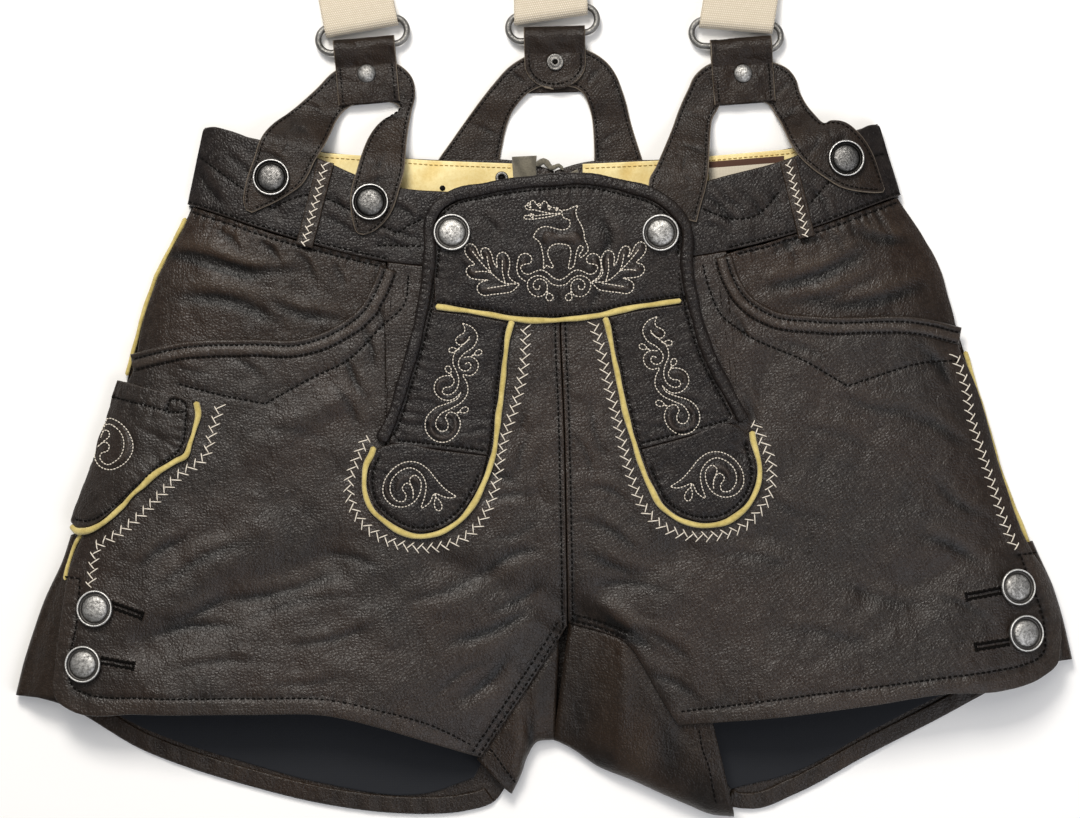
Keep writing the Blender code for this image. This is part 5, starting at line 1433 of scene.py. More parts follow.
HEM_LEVEL = LEATHER + 0.1 + TRIM_LEATHER / 2
HEM_START = 0.5
HEMS = {
    # side: the line of its fold, and its width to the left of that line
    "left": (part_of(curve(HEM_BACK_LEFT, 300), 0.02, 0.965), 8.6),
    "right": (part_of(curve(HEM_BACK_RIGHT + [(95.5, 6.6)], 300), 0.02, 1.0), -8.2),
}
for side, (line, width) in HEMS.items():
    shell("hem_" + side, strip_along(beside(line, math.copysign(HEM_START, width)), width),
          table, TRIM_LEATHER, HEM_NAPPA, HEM_LEVEL, hem_relief, replaces=())
LININGS = {
    "left": ([(-222, 128), (-150, 132), (-60, 128), (-6, 96)],
             [(-262, 74), (-213, 46), (-156, 27), (-119, 17), (-61, 12), (-38, 20)],
             [(-222, 128), (-246, 102), (-262, 74)], [(-6, 96), (-16, 62), (-38, 20)]),
    "right": ([(232, 134), (160, 132), (90, 124), (40, 96)],
              [(258, 88), (211, 64), (172, 44), (133, 23), (99, 14)],
              [(232, 134), (250, 112), (258, 88)], [(40, 96), (66, 56), (99, 14)]),
}
for side, lines in LININGS.items():
    grid = panel(*lines, 3.0)
    shell("lining_" + side, grid, lambda x, y: 0.6 * np.abs(ripple(x, y)), LINING, LINING_CLOTH,
          LEATHER + SEAM_GAP + LINING / 2, uv=grid[0])
print("hems made at", round(HEM_LEVEL, 2), "mm above the table")

# %% [markdown]
# ## Pockets and waistband
#
# The pocket facing lies a little lower than the front and shows a browner, more wrinkled skin.
# The pocket mouth is finished with a rolled welt. The waistband is two layers of leather, so
# it stays smoother and thicker than the body.

# %% Pocket facings and welts
POCKET_FACINGS = {
    "left": (
        [(-187.6, 324), (-132, 305.6), (-84, 293.6)],
        [(-218.8, 236), (-193, 240), (-155, 242), (-118, 243)],
        [(-187.6, 324), (-193.6, 312), (-206.6, 287), (-214.8, 263), (-218.8, 236)],
        [(-84, 293.6), (-83, 280), (-88, 264), (-100, 251), (-118, 243)]),
    "right": (
        [(188.2, 329.2), (132, 308.6), (95, 298)],
        [(222, 249), (199, 253), (144, 254), (110, 256)],
        [(188.2, 329.2), (203.6, 306), (216.4, 274), (222, 249)],
        [(95, 298), (93, 287), (98, 270), (110, 256)]),
}
for side, lines in POCKET_FACINGS.items():
    # The creases are painted into the colour as well: shade in their troughs, highlight on their
    # ridges.
    shell("pocket_facing_" + side, panel(*lines, 1.2), creased_pocket, TRIM_LEATHER,
          POCKET_NAPPA, -FACING_DROP, pocket_detail, pocket_creases)


WELT_SEWN = (2.0, 7.7)  # from the pocket's mouth to its two rows of stitches
WELT_RIDGE = (0.75, 4.85, 2.75)  # height, middle, half width


def welt_profile(mouth, away):
    """Relief of a welt: a round ridge, a lip at the mouth and a groove at each of two rows."""
    mouth = evenly(mouth, 60)
    first, second = WELT_SEWN
    rise, middle, half = WELT_RIDGE

    def height(x, y):
        below, way = nearest(mouth, x, y)
        below = away * below
        ridge = rise * np.clip(1 - ((below - middle) / half) ** 2, 0, 1) ** 0.7
        pinch = 0.12 * np.sin(2 * math.pi * way / 3.3 + 1.2 * np.sin(way / 9.0))
        return (ridge * (1 + pinch) + 0.75 * bell(below - 0.1, 0.75)
                - 0.3 * bell(below - first, 0.5) - 0.3 * bell(below - second, 0.5))
    return height


WELTS = {
    # side: which way is down, and the mouth's line
    "left": (-1, [(-219.4, 244), *POCKET_LEFT[1:-1], (-85.9, 291.6)]),
    "right": (1, [(220.6, 258.2), *POCKET_RIGHT[1:-1], (97.3, 297.6)]),
}
WELT_ROWS = {}
for side, (away, points) in WELTS.items():
    mouth = curve(points, 300)
    profile = welt_profile(mouth, away)
    # The welt's profile is painted into the colour again and lowered: painted highlight on the
    # ridge and lip, painted shade in the grooves, and the rest of the welt a little darker.
    shell("pocket_welt_" + side, strip_along(beside(mouth, -away * 1.1), away * 9.4, 0.9),
          creased_front, TRIM_LEATHER, NAPPA, WELT_LIFT, profile,
          lambda x, y: 0.6 * profile(x, y) - 0.3)
    WELT_ROWS[side] = ([beside(mouth, away * drop) for drop in WELT_SEWN], profile)
print("pockets made")

# %% Waistbands, back facing, lace, eyelet and bare label
BAND_CENTRE = 8 - SEAM_GAP / 2
FRONT_BANDS = {
    "left": ([(-182.2, 361.8), (-181.2, 365.2), (-177.4, 366), *FRONT_BAND_TOP[1:7],
              (BAND_CENTRE, 331)],
             [*WAIST_SEAM_LEFT, *WAIST_SEAM_MIDDLE_LEFT[1:-1], (BAND_CENTRE, 291)]),
    "right": ([(BAND_CENTRE + SEAM_GAP, 331), *FRONT_BAND_TOP[8:-1], (173.6, 367.2),
               (177.4, 367), (178.6, 363.6)],
              [(BAND_CENTRE + SEAM_GAP, 291), *WAIST_SEAM_MIDDLE_RIGHT[1:],
               *WAIST_SEAM_RIGHT[1:]]),
}
for side, lines in FRONT_BANDS.items():
    # The creases are painted into the colour as well: shade in their troughs, highlight on their
    # ridges.
    shell("waistband_front_" + side, straight_sided(*lines, 1.3), creased_band, BAND_LEATHER,
          FLAP_NAPPA, detail=band_detail, hollows=band_creases)
for side, away, top, bottom in (
        ("left", -1, BACK_BAND_TOP[:5], BACK_BAND_BOTTOM[:4]),
        ("right", 1, BACK_BAND_TOP[4:][::-1], BACK_BAND_BOTTOM[3:][::-1])):
    top, bottom = curve(top), curve(bottom)
    top[-1, 0] = bottom[-1, 0] = 5.0 + away * SEAM_GAP / 2
    shell("waistband_back_" + side, straight_sided(top, bottom, 2.0), back_band, BAND_LEATHER,
          NAPPA)
FACING_LIFT = BAND_LEATHER / 2 + SEAM_GAP + CHAMOIS / 2
ON_FACING = BAND_LEATHER / 2 + 2 * SEAM_GAP + CHAMOIS
LACE = 1.2
LACE_LIFT = BAND_LEATHER / 2 + SEAM_GAP + LACE / 2


def below_band_top(start, end, drop, count):
    """The line a drop below the back waistband's top edge, between two places along it."""
    x = np.linspace(start, end, count)
    return np.column_stack([x, np.interp(x, *BACK_BAND_TOP.T) - drop])


def facing_detail(x, y):
    below = np.interp(x, *BACK_BAND_TOP.T) - y
    waves = 0.12 * np.sin(x / 2.1 + np.sin(y / 3.0)) * bell(below - 2.2, 2.5)
    return 1.6 * ripple(x, y, height=0.05) - 0.18 * bell(below - 2.4, 0.6) + waves


for side, ends in (("left", (-140, -14)), ("right", (20, 145))):
    grid = straight_sided(*(below_band_top(*ends, drop, 160) for drop in (0.6, 30)), 1.3)
    shell("facing_" + side, grid, back_band, CHAMOIS, CHAMOIS_SKIN, FACING_LIFT, facing_detail)
lace_line = curve([(-12.5, 339), (-2, 336), (9, 337), (18.5, 341)], 60)
shell("back_lace", straight_sided(beside(lace_line, 3.0), beside(lace_line, -3.0), 0.8),
      back_band, LACE, SUEDE, LACE_LIFT, lambda x, y: 0.25 * np.sin(x / 1.7) * np.sin(y / 2.0))
# The lace's end is folded over above the waist, and a short twisted end lies beside it.
tab_grid = panel([(-17.2, 350.2), (-4.4, 350.9)], [(-16.4, 338.6), (-4.2, 338.2)],
                 [(-17.2, 350.2), (-16.9, 345), (-16.4, 338.6)],
                 [(-4.4, 350.9), (-4.7, 345), (-4.2, 338.2)], 0.7)
shell("lace_tab", tab_grid, lambda x, y: back_band(x, y) + 0.35 * np.sin(x / 2.6), 1.3, SUEDE,
      LACE_LIFT + 1.5, lambda x, y: 0.3 * np.sin(x / 1.4 + y / 3.0), replaces=())
roll("lace_end", [(-4.6, 345.4), (-0.5, 347.6), (3.6, 344.4), (7.6, 345.6), (9.8, 343.2)],
     (2.8, 2.2), back_band, LACE_LIFT + 1.0, SUEDE, 0.5, (), wrinkle=(2.2, 0.3), taper=1.6)
point, normal = raised(np.array([-23.0, 339.0]), back_band, ON_FACING)
turned("eyelet", [(1.7, 0.75), (2.0, 1.0), (2.6, 1.1), (3.2, 0.9), (3.5, 0.45), (3.5, 0.0),
                  (1.7, 0.0)], point, normal, WIRE, 40, True)
# A dark disc in the eyelet's hole is painted shade.
turned("eyelet_hole_shade", [(0.0, 0.12), (1.7, 0.1), (1.72, 0.0), (0.0, 0.0)], point, normal,
       DARK_THREAD, 28, replaces=())
point, normal = raised(np.array([-54.5, 333.6]), back_band, ON_FACING)
# A dark disc at the pulled hole is painted shade.
turned("pulled_hole_shade", [(0.0, 0.12), (1.4, 0.1), (1.5, 0.0), (0.0, 0.0)], point, normal,
       DARK_THREAD, 20, replaces=())
LABEL_ENDS = (87, 127)
LABEL_TOP = (347.6, 350.8)
LABEL_BOTTOM = (333, 336)
label_grid = straight_sided(list(zip(LABEL_ENDS, LABEL_TOP)),
                            list(zip(LABEL_ENDS, LABEL_BOTTOM)), 0.6)


def label_border(x, y):
    return 0.75 * smoothstep((3.9 - (np.interp(x, LABEL_ENDS, LABEL_TOP) - y)) / 0.4)


shell("label", label_grid, back_band, LABEL, LABEL_CLOTH, ON_FACING + LABEL / 2,
      hollows=label_border, uv=label_grid[0])

# %% [markdown]
# ## Motifs
#
# The flap carries a stag above a wavy scroll with two oak sprays, and the tabs and pocket
# carry a vine and curled scrolls. All are worked in cream running stitch round padded shapes.
# They are drawn here as short lists of points joined smoothly; each left-hand vine
# and scroll serves the right-hand side too, mirrored and turned.

# %% Scrolls, leaves and the stag
def leaflet(x, y, angle, length, width):
    """A small pointed loop on a short stem: its width follows the sine times its length."""
    t = np.linspace(0, 2 * math.pi, 13)
    along = length * (0.28 + 0.36 * (1 - np.cos(t)))
    across = width / 2 * np.sin(t) * (1 - 0.25 * np.cos(t))
    loop = np.stack(turned_plan(along, across, angle, (x, y)), axis=1)
    return curve(np.vstack([[(x, y)], loop, [(x, y)]]), 90)


def drop(base, tip, width):
    """A padded drop, narrow at its base and round at its tip."""
    base, tip = np.array(base, float), np.array(tip, float)
    t = np.linspace(0, 1, 8)[1:]
    round_end = np.sin(math.pi * np.clip(0.12 + 0.84 * t, 0, 1))
    swell = width / 2 * np.sqrt(round_end * (0.25 + 0.75 * t))
    middle = base + t[:, None] * (tip - base)
    aside = swell[:, None] * unit(left_of(tip - base))
    return curve(np.vstack([[base], middle + aside, (middle - aside)[::-1], [base]]), 140)


def arc_band(centre, inner, outer, start, end):
    """A closed band between two arcs round a centre, its angles in degrees."""
    turn = np.radians(np.linspace(start, end, 24))
    ring = np.stack([np.cos(turn), np.sin(turn)], axis=1)
    taper = np.sin(np.linspace(0.12, math.pi - 0.12, 24))[:, None] ** 0.5
    middle, half = (inner + outer) / 2, (outer - inner) / 2
    out = np.array(centre) + ring * (middle + half * taper)
    back = np.array(centre) + ring * (middle - half * taper)
    return np.vstack([out, back[::-1], out[:1]])


def mirrored(line, middle, rise=0.0):
    return np.column_stack([2 * middle - line[:, 0], line[:, 1] + rise])


STAG = curve([
    (17.4, 323.3), (16.3, 320.6), (16.9, 317.0), (18.9, 313.2), (20.4, 309.2), (20.9, 305.4),
    (22.3, 302.3), (22.7, 299.5), (20.4, 296.9), (18.7, 295.7), (17.9, 297.0), (19.5, 299.4),
    (20.1, 301.5), (18.4, 302.2), (17.0, 300.0), (16.0, 295.7), (14.6, 290.7), (12.6, 289.8),
    (13.0, 294.6), (13.6, 299.4), (12.7, 301.9), (9.2, 302.9), (5.0, 302.8), (2.6, 301.4),
    (1.4, 298.2), (2.8, 294.2), (4.3, 290.6), (2.6, 290.6), (1.0, 291.9), (-0.6, 289.9),
    (-0.7, 294.6), (-1.5, 299.3), (-2.4, 302.9), (-4.2, 305.3), (-6.1, 306.3), (-5.0, 309.1),
    (-2.6, 311.5), (1.0, 312.2), (5.0, 311.3), (9.2, 310.4), (12.1, 311.2), (13.3, 313.7),
    (12.5, 316.0), (10.2, 316.4), (9.0, 318.6), (8.8, 320.5), (11.7, 321.0), (14.6, 322.4),
    (17.4, 323.3)], 460)
STAG_BODY = curve([
    (-1.6, 308.6), (0.8, 310.2), (4.2, 309.6), (8.2, 308.6), (12.0, 308.8), (16.2, 309.6),
    (18.9, 307.0), (19.3, 303.6), (16.4, 302.2), (13.4, 303.7), (9.0, 304.5), (4.6, 304.4),
    (1.8, 302.6), (0.0, 303.0), (-1.8, 305.8), (-1.6, 308.6)], 90)
STAG_HEAD = curve([(13.0, 320.0), (15.4, 321.0), (15.6, 318.6), (15.4, 314.4), (13.6, 317.4),
                   (13.0, 320.0)], 40)
ANTLERS = [curve(line, 160) for line in (
    [(8.8, 320.4), (4.6, 322.2), (1.8, 322.9), (0.8, 325.2), (-0.8, 325.7), (-1.8, 323.6),
     (-4.6, 323.8), (-5.8, 325.9), (-7.8, 325.5), (-7.6, 323.5), (-10.6, 323.3), (-10.2, 321.8),
     (-5.4, 321.0), (0.0, 319.7), (5.0, 319.0), (8.4, 319.3)],
    [(8.4, 319.0), (3.2, 317.6), (-2.6, 316.6), (-8.0, 316.1), (-11.3, 316.7), (-10.7, 318.1),
     (-8.4, 318.0), (-7.3, 319.4), (-5.8, 318.1), (-1.6, 318.4), (3.4, 318.9)])]
TINES = [leaflet(*spot) for spot in (
    (-7.4, 321.7, 118, 3.4, 1.9), (-2.4, 321.5, 108, 3.2, 1.7), (2.4, 320.7, 100, 2.8, 1.5),
    (5.8, 320.2, 70, 2.4, 1.3), (-6.2, 316.6, 128, 2.4, 1.5))]
SPRAY = curve([
    (24.4, 283.0), (27.8, 284.4), (30.4, 287.8), (29.6, 292.4), (30.1, 297.0), (32.8, 299.7),
    (35.6, 298.7), (36.5, 295.2), (36.1, 291.4), (38.0, 294.2), (39.2, 298.8), (41.6, 301.9),
    (44.2, 301.5), (44.7, 298.6), (43.5, 296.0), (45.8, 298.4), (47.4, 302.2), (50.2, 304.2),
    (52.8, 303.0), (53.1, 299.8), (51.0, 296.2), (47.9, 293.1), (51.0, 292.4), (52.5, 289.4),
    (50.4, 286.4), (46.4, 285.3), (40.6, 285.0), (43.8, 284.3), (46.5, 282.2), (46.3, 278.9),
    (43.6, 277.0), (38.6, 277.5), (33.2, 278.1), (28.6, 279.0), (26.0, 281.2), (24.4, 283.0)],
    560)
VEINS = [curve(line, 60) for line in (
    [(26.0, 283.0), (32.0, 283.4), (39.6, 289.0), (44.6, 294.2), (49.4, 300.2)],
    [(32.0, 283.4), (33.4, 289.4), (33.4, 295.6)], [(39.4, 288.8), (40.8, 293.2), (41.6, 297.8)],
    [(39.6, 289.0), (43.4, 289.6), (48.0, 289.2)], [(29.6, 282.6), (35.4, 281.6), (41.6, 280.6)])]
SPRAY_PADS = [drop(*lobe) for lobe in (
    ((31.8, 288.0), (33.4, 298.6), 4.6), ((38.4, 291.4), (42.6, 300.8), 4.6),
    ((44.2, 294.4), (51.4, 302.6), 5.2), ((42.6, 288.6), (51.4, 289.6), 4.8),
    ((30.6, 280.8), (45.4, 279.8), 4.6))]
WAVE = curve([
    (7.4, 283.9), (10.6, 285.3), (13.6, 287.9), (16.8, 289.4), (20.2, 288.5), (23.6, 287.0),
    (26.6, 288.2), (27.6, 291.2), (25.2, 292.4), (22.4, 293.0), (21.9, 295.8), (24.6, 298.0),
    (28.0, 297.0), (29.2, 293.6), (29.6, 289.6), (28.4, 286.0), (24.8, 283.2)], 240)
WAVE_BELOW = curve([
    (7.4, 280.9), (11.2, 281.9), (14.4, 285.0), (18.0, 286.4), (21.6, 285.5), (23.7, 283.6),
    (23.9, 280.0), (21.6, 276.5), (17.8, 275.3), (14.5, 277.0), (13.5, 280.4), (14.6, 283.4),
    (17.4, 284.7), (20.1, 283.6), (21.1, 281.2), (19.9, 279.1), (17.7, 279.4), (17.6, 281.5)],
    260)
CURL_PAD = drop((28.6, 288.4), (24.6, 295.8), 4.4)
SPIRAL_PAD = arc_band((18.4, 280.4), 3.6, 5.0, 180, 380)
half = [WAVE, WAVE_BELOW, leaflet(13.9, 278.6, 247, 5.8, 3.4)]
MOTIF_MIDDLE, WAVE_MIDDLE = 5.5, 7.4
FLAP_LINES = [STAG, *ANTLERS, *TINES, *half, *[mirrored(line, WAVE_MIDDLE) for line in half],
              SPRAY, *VEINS, *[mirrored(line, MOTIF_MIDDLE, -1.0) for line in [SPRAY, *VEINS]]]
FLAP_PADS = [STAG_BODY, STAG_HEAD, *SPRAY_PADS, CURL_PAD, SPIRAL_PAD,
             *[mirrored(pad, MOTIF_MIDDLE, -1.0) for pad in SPRAY_PADS],
             *[mirrored(pad, WAVE_MIDDLE) for pad in (CURL_PAD, SPIRAL_PAD)]]
VINE = [curve(line, 300) for line in (
    [(-43.6, 261.4), (-38.4, 259.2), (-35.5, 254.6), (-37.5, 249.0), (-43.0, 244.9),
     (-45.5, 241.0), (-44.6, 237.2), (-41.2, 236.2), (-38.9, 238.4), (-40.0, 240.8),
     (-42.2, 239.6)],
    [(-43.0, 243.2), (-38.8, 243.6), (-35.3, 240.6), (-35.9, 236.2), (-39.6, 233.6),
     (-43.3, 234.4), (-41.2, 230.2), (-40.6, 225.0), (-43.5, 220.1), (-49.2, 216.5),
     (-55.4, 213.0), (-57.5, 208.2), (-55.0, 204.3), (-51.5, 205.3), (-51.0, 208.6),
     (-52.5, 211.6), (-50.6, 214.4), (-46.6, 213.5), (-44.5, 209.0), (-46.9, 202.2),
     (-52.4, 198.7), (-58.5, 199.8), (-62.7, 205.0), (-62.5, 211.2), (-57.8, 216.5),
     (-50.6, 219.4), (-45.8, 221.8), (-44.2, 225.2)],
    [(-44.6, 224.2), (-49.0, 220.9), (-54.6, 221.4), (-58.3, 226.0), (-57.3, 231.0),
     (-53.0, 233.6), (-48.8, 233.2), (-47.7, 230.4), (-49.7, 227.9), (-53.2, 227.2),
     (-54.0, 224.7), (-51.2, 223.5), (-47.0, 225.8), (-45.3, 230.6), (-46.3, 235.4),
     (-48.4, 240.0), (-47.7, 245.4), (-43.3, 249.8), (-39.5, 253.2)],
    [(-39.5, 254.6), (-41.6, 251.2), (-45.1, 249.8), (-47.2, 252.2), (-45.3, 254.8),
     (-42.6, 256.2), (-42.3, 259.0), (-43.6, 261.4)])]
VINE += [leaflet(-38.8, 244.0, 26, 6.2, 2.8), leaflet(-44.8, 247.6, 186, 6.0, 2.8),
         leaflet(-49.0, 233.4, 118, 6.0, 3.0), leaflet(-46.6, 213.9, 22, 6.8, 3.0)]
VINE_PADS = [arc_band((-53.5, 207.6), 5.2, 8.3, 110, 430),
             arc_band((-52.9, 227.5), 2.6, 5.2, 40, 280),
             arc_band((-40.2, 238.8), 3.1, 4.8, -110, 60),
             drop((-40.6, 252.2), (-45.8, 252.4), 4.0)]
VINE_TOP, VINE_TWIN_TOP, VINE_TURN = (-43.6, 261.4), (59.1, 264.9), 3.0


def vine_twin(line):
    """The left vine mirrored, turned by three degrees and moved to the right tab."""
    x, y = (line - np.array(VINE_TOP)).T
    return np.stack(turned_plan(-x, y, VINE_TURN, VINE_TWIN_TOP), axis=1)


SCROLL = [curve(line, 300) for line in (
    [(-46.6, 170.2), (-52.6, 174.2), (-57.4, 179.4), (-61.6, 184.6), (-67.2, 188.1),
     (-73.6, 188.2), (-80.0, 184.5), (-84.5, 178.0), (-84.9, 171.2), (-81.0, 166.1),
     (-74.4, 164.7), (-68.5, 167.6), (-65.3, 173.4), (-65.6, 179.0), (-68.6, 181.5),
     (-71.1, 179.4), (-70.1, 175.2), (-69.1, 171.6), (-69.5, 168.9)],
    [(-69.3, 170.9), (-69.6, 174.6), (-72.6, 177.3), (-75.1, 174.6), (-72.9, 170.8),
     (-73.7, 167.9), (-77.4, 167.7), (-81.0, 171.8), (-80.8, 178.2), (-76.6, 183.2),
     (-70.6, 185.3), (-65.5, 182.6), (-62.5, 176.6), (-63.2, 170.2), (-64.9, 164.1),
     (-60.6, 167.0), (-58.0, 171.8), (-54.0, 170.3), (-49.6, 169.4), (-46.6, 170.2)])]
SCROLL.append(leaflet(-58.0, 171.9, 286, 9.6, 3.8))
SCROLL_PADS = [arc_band((-73.6, 176.4), 9.2, 11.4, 60, 290),
               arc_band((-71.6, 174.6), 4.4, 7.6, 0, 200)]


def with_twins(lines, twin):
    return {"left": lines, "right": [twin(line) for line in lines]}


def scroll_twin(line):
    return mirrored(line, 9.6, 5.2)


VINES, VINE_PADS = with_twins(VINE, vine_twin), with_twins(VINE_PADS, vine_twin)
SCROLLS, SCROLL_PADS = with_twins(SCROLL, scroll_twin), with_twins(SCROLL_PADS, scroll_twin)
POCKET_MOTIF = [curve(line, 300) for line in (
    [(-235.2, 204.6), (-233.4, 208.5), (-229.4, 210.6), (-223.4, 208.5), (-218.3, 203.2),
     (-216.1, 197.0), (-218.0, 190.4), (-222.6, 185.6), (-228.6, 183.5), (-234.2, 185.4),
     (-236.9, 190.2), (-235.9, 194.6), (-231.6, 198.6), (-228.7, 201.4), (-229.7, 204.2),
     (-233.0, 203.6), (-235.9, 200.6)],
    [(-235.6, 201.6), (-233.3, 205.8), (-229.4, 207.6), (-224.3, 205.0), (-221.3, 199.4),
     (-221.9, 192.6), (-225.4, 187.7), (-230.2, 186.3), (-233.9, 189.4), (-233.1, 192.3),
     (-229.7, 193.6), (-228.9, 196.6), (-231.3, 198.0), (-235.4, 195.4)])]
POCKET_PADS = [arc_band((-228.4, 197.0), 8.6, 11.2, -110, 110)]
print(len(FLAP_LINES), "lines in the flap's motif,", len(FLAP_PADS), "padded shapes")

# %% Relief of the motifs
PAD_HEIGHT = 2.0
PAD_ROUNDING = 2.4
MOTIF_GROOVE = 0.4


def within(polygon, x, y):
    """Which points lie inside a closed plan line: an odd number of its runs cross their ray."""
    odd = np.zeros(np.shape(x), bool)
    for (x0, y0), (x1, y1) in zip(polygon, np.roll(polygon, -1, axis=0)):
        if y0 != y1:
            crosses = (y0 > y) != (y1 > y)
            odd ^= crosses & (x < (x1 - x0) * (y - y0) / (y1 - y0) + x0)
    return odd


def coarser(lines, fewest):
    return [evenly(line, max(int(length_of(line) / 2.2), fewest)) for line in lines]


def padding(lines, pads):
    """Padded shapes swell by the tanh of the depth inside their line over the rounding, and
    every line lies sunk in a groove.
    """
    lines, pads = coarser(lines, 6), coarser(pads, 8)

    def relief(x, y):
        total = np.zeros(np.shape(x))
        near = np.full(np.shape(x), 1e9)
        for line in lines:
            near = np.minimum(near, distance_to(line, x, y))
        for pad in pads:
            depth = distance_to(pad, x, y) * within(pad, x, y)
            total = np.maximum(total, PAD_HEIGHT * np.tanh(depth / PAD_ROUNDING))
        return total - MOTIF_GROOVE * bell(near, 0.8)
    return relief


YOKE_ROWS = [part_of(moved(BINDING, -4.6), 0.25, 0.74), moved(CROSS_PIPING, 2.9)]
SIDE_ROWS = {
    "left": [part_of(moved(BINDING, -4.6), 0.015, 0.235), part_of(moved(TAB_LEFT, -2.8), 0, 0.42),
             curve([(-78, 199.6), (-55, 197.4), (-32, 194.4)], 60)],
    "right": [part_of(moved(BINDING, -4.6), 0.765, 0.985), part_of(moved(TAB_RIGHT, 2.8), 0, 0.42),
              curve([(50.5, 198.2), (75, 204.6), (96, 210.4)], 60)],
}
TONGUE_ROWS = {
    "left": [part_of(moved(TAB_LEFT, -4.4), 0.45, 1.0)],
    "right": [part_of(moved(TAB_RIGHT, 4.4), 0.45, 1.0)],
}
POCKET_ROW = [curve([(-230.4, 222.8), (-214, 219), (-199.4, 214.9)], 60),
              part_of(np.array([(-199.4, 214.9), (-196.8, 221.8), (-188.6, 220.0), (-188.2, 214.4),
                                (-199, 214.2)]), 0.0, 1.0),
              curve([(-188.4, 214), (-188.9, 209.7), (-190.6, 197.4), (-193.7, 192.6),
                     (-201.6, 187.4), (-210.4, 179.4), (-216.6, 174), (-224, 166.6),
                     (-230, 161.6), (-236, 157.9), (-243, 156.4), (-247.4, 157.4)], 160)]


def motif_detail(lines, pads, rows):
    return summed(padding(lines, pads), row_relief(rows, pucker=FLAP_PUCKER))


yoke_detail = motif_detail(FLAP_LINES, FLAP_PADS, YOKE_ROWS)
knife_detail = motif_detail(POCKET_MOTIF, POCKET_PADS, POCKET_ROW)
tab_details = {side: motif_detail(VINES[side], VINE_PADS[side], SIDE_ROWS[side])
               for side in VINES}
tongue_details = {side: motif_detail(SCROLLS[side], SCROLL_PADS[side], TONGUE_ROWS[side])
                  for side in SCROLLS}
print("padding stands", round(float(yoke_detail(np.array([5.0]), np.array([305.0]))[0]), 2), "mm")

# %% [markdown]
# ## The flap
#
# The flap is a yoke over two side tabs that end in round tongues. Its panels are shells on the
# flap's own height, a few millimetres above the front, and chamois rolls cover the seams.

# %% Flap panels
FLAP_PANELS = {
    # name: its four lines, the pitch of its grid and its relief
    "flap_yoke": (
        [(-57.8, 313), (-54.2, 320.4), (-46.8, 325.2), (-33.3, 329.6), (7, 334.6), (20, 335),
         (43.4, 330.6), (55.8, 326.2), (65.6, 318.9), (71.2, 311)],
        [(-58.3, 272.2), (-38, 269.6), (-15, 265.7), (7, 265.2), (25, 267.2), (49, 272.2),
         (74.2, 275.8)],
        [(-57.8, 313), (-58.2, 300), (-58.3, 272.2)],
        [(71.2, 311), (71.8, 292), (74.2, 275.8)], 0.76, yoke_detail),
    "flap_side_left": (
        [(-61.8, 268.2), (-38, 265.2), (-20.6, 262)],
        [(-82, 198.2), (-55, 195), (-30.2, 191.9)],
        [(-61.8, 268.2), (-64.4, 257), (-71.4, 232), (-79.2, 208), (-82, 198.2)],
        [(-20.6, 262), (-23, 242), (-26, 216), (-30.2, 191.9)], 0.75, tab_details["left"]),
    "flap_side_right": (
        [(34, 264.6), (49, 267.9), (75.6, 271.4)],
        [(49.4, 195.2), (75, 202), (100.8, 209.6)],
        [(34, 264.6), (38, 245), (43, 220.4), (49.4, 195.2)],
        [(75.6, 271.4), (77.6, 263.4), (84.6, 242.2), (93.6, 224.8), (100.8, 209.6)], 0.75,
        tab_details["right"]),
    "flap_tongue_left": (
        [(-89, 193.4), (-85.6, 196.2), (-81, 197.7), (-55, 194.6), (-30.4, 191.5)],
        [(-90, 166.4), (-81.8, 158), (-70.4, 152.2), (-59.3, 152.2), (-49, 157), (-41.6, 164.6)],
        [(-89, 193.4), (-91.9, 186.6), (-92.9, 176), (-90, 166.4)],
        [(-30.4, 191.5), (-35, 175.8), (-41.6, 164.6)], 0.75, tongue_details["left"]),
    "flap_tongue_right": (
        [(50.2, 194.9), (75, 201.6), (98, 208.4), (103, 206.2), (107.2, 202)],
        [(62.6, 166.8), (70, 161), (82.1, 157.2), (92.4, 158.1), (101.5, 163.7), (108, 172)],
        [(50.2, 194.9), (57, 176.9), (62.6, 166.8)],
        [(107.2, 202), (108.9, 194), (110.9, 182), (108, 172)], 0.75, tongue_details["right"]),
}
for name, (*lines, pitch, detail) in FLAP_PANELS.items():
    # The creases are painted into the colour as well: shade in their troughs, highlight on their
    # ridges.
    shell(name, panel(*lines, pitch), creased_flap, TRIM_LEATHER, FLAP_NAPPA, detail=detail,
          hollows=flap_creases)
print("flap panels made:", len(FLAP_PANELS))

# %% Binding and chamois rolls
roll("flap_binding", BINDING, BINDING_ROLL, creased_flap, 0.9, FLAP_NAPPA, 0.15, pitch=0.6,
     wrinkle=(3.4, 0.2), taper=2.0, flat=0.3, sides=18)
for name, points, surface, lift, wobble, depth in (
        ("piping_cross", part_of(curve(CROSS_PIPING), 0.0, 0.985), creased_flap, 0.2, 0.3, 0.08),
        ("piping_tab_left", [(-17.4, 262.8), *TAB_LEFT, (-89.9, 196.4)], creased_flap, 0.2, 0.3,
         0.08),
        ("piping_tab_right", [(31.4, 264.4), *TAB_RIGHT, (108.9, 204.6)], creased_flap, 0.2,
         0.3, 0.08),
        ("piping_knife", KNIFE_PIPING, creased_front, 2.3, 0.4, 0.1)):
    roll(name, points, PIPING, surface, lift, CHAMOIS_ROLL, wobble, pitch=0.6,
         wrinkle=(6.5, depth))
roll("piping_side_left_lower", LOWER_PIPING, SIDE_PIPING, creased_front, -0.5, CHAMOIS_ROLL, 0.2)
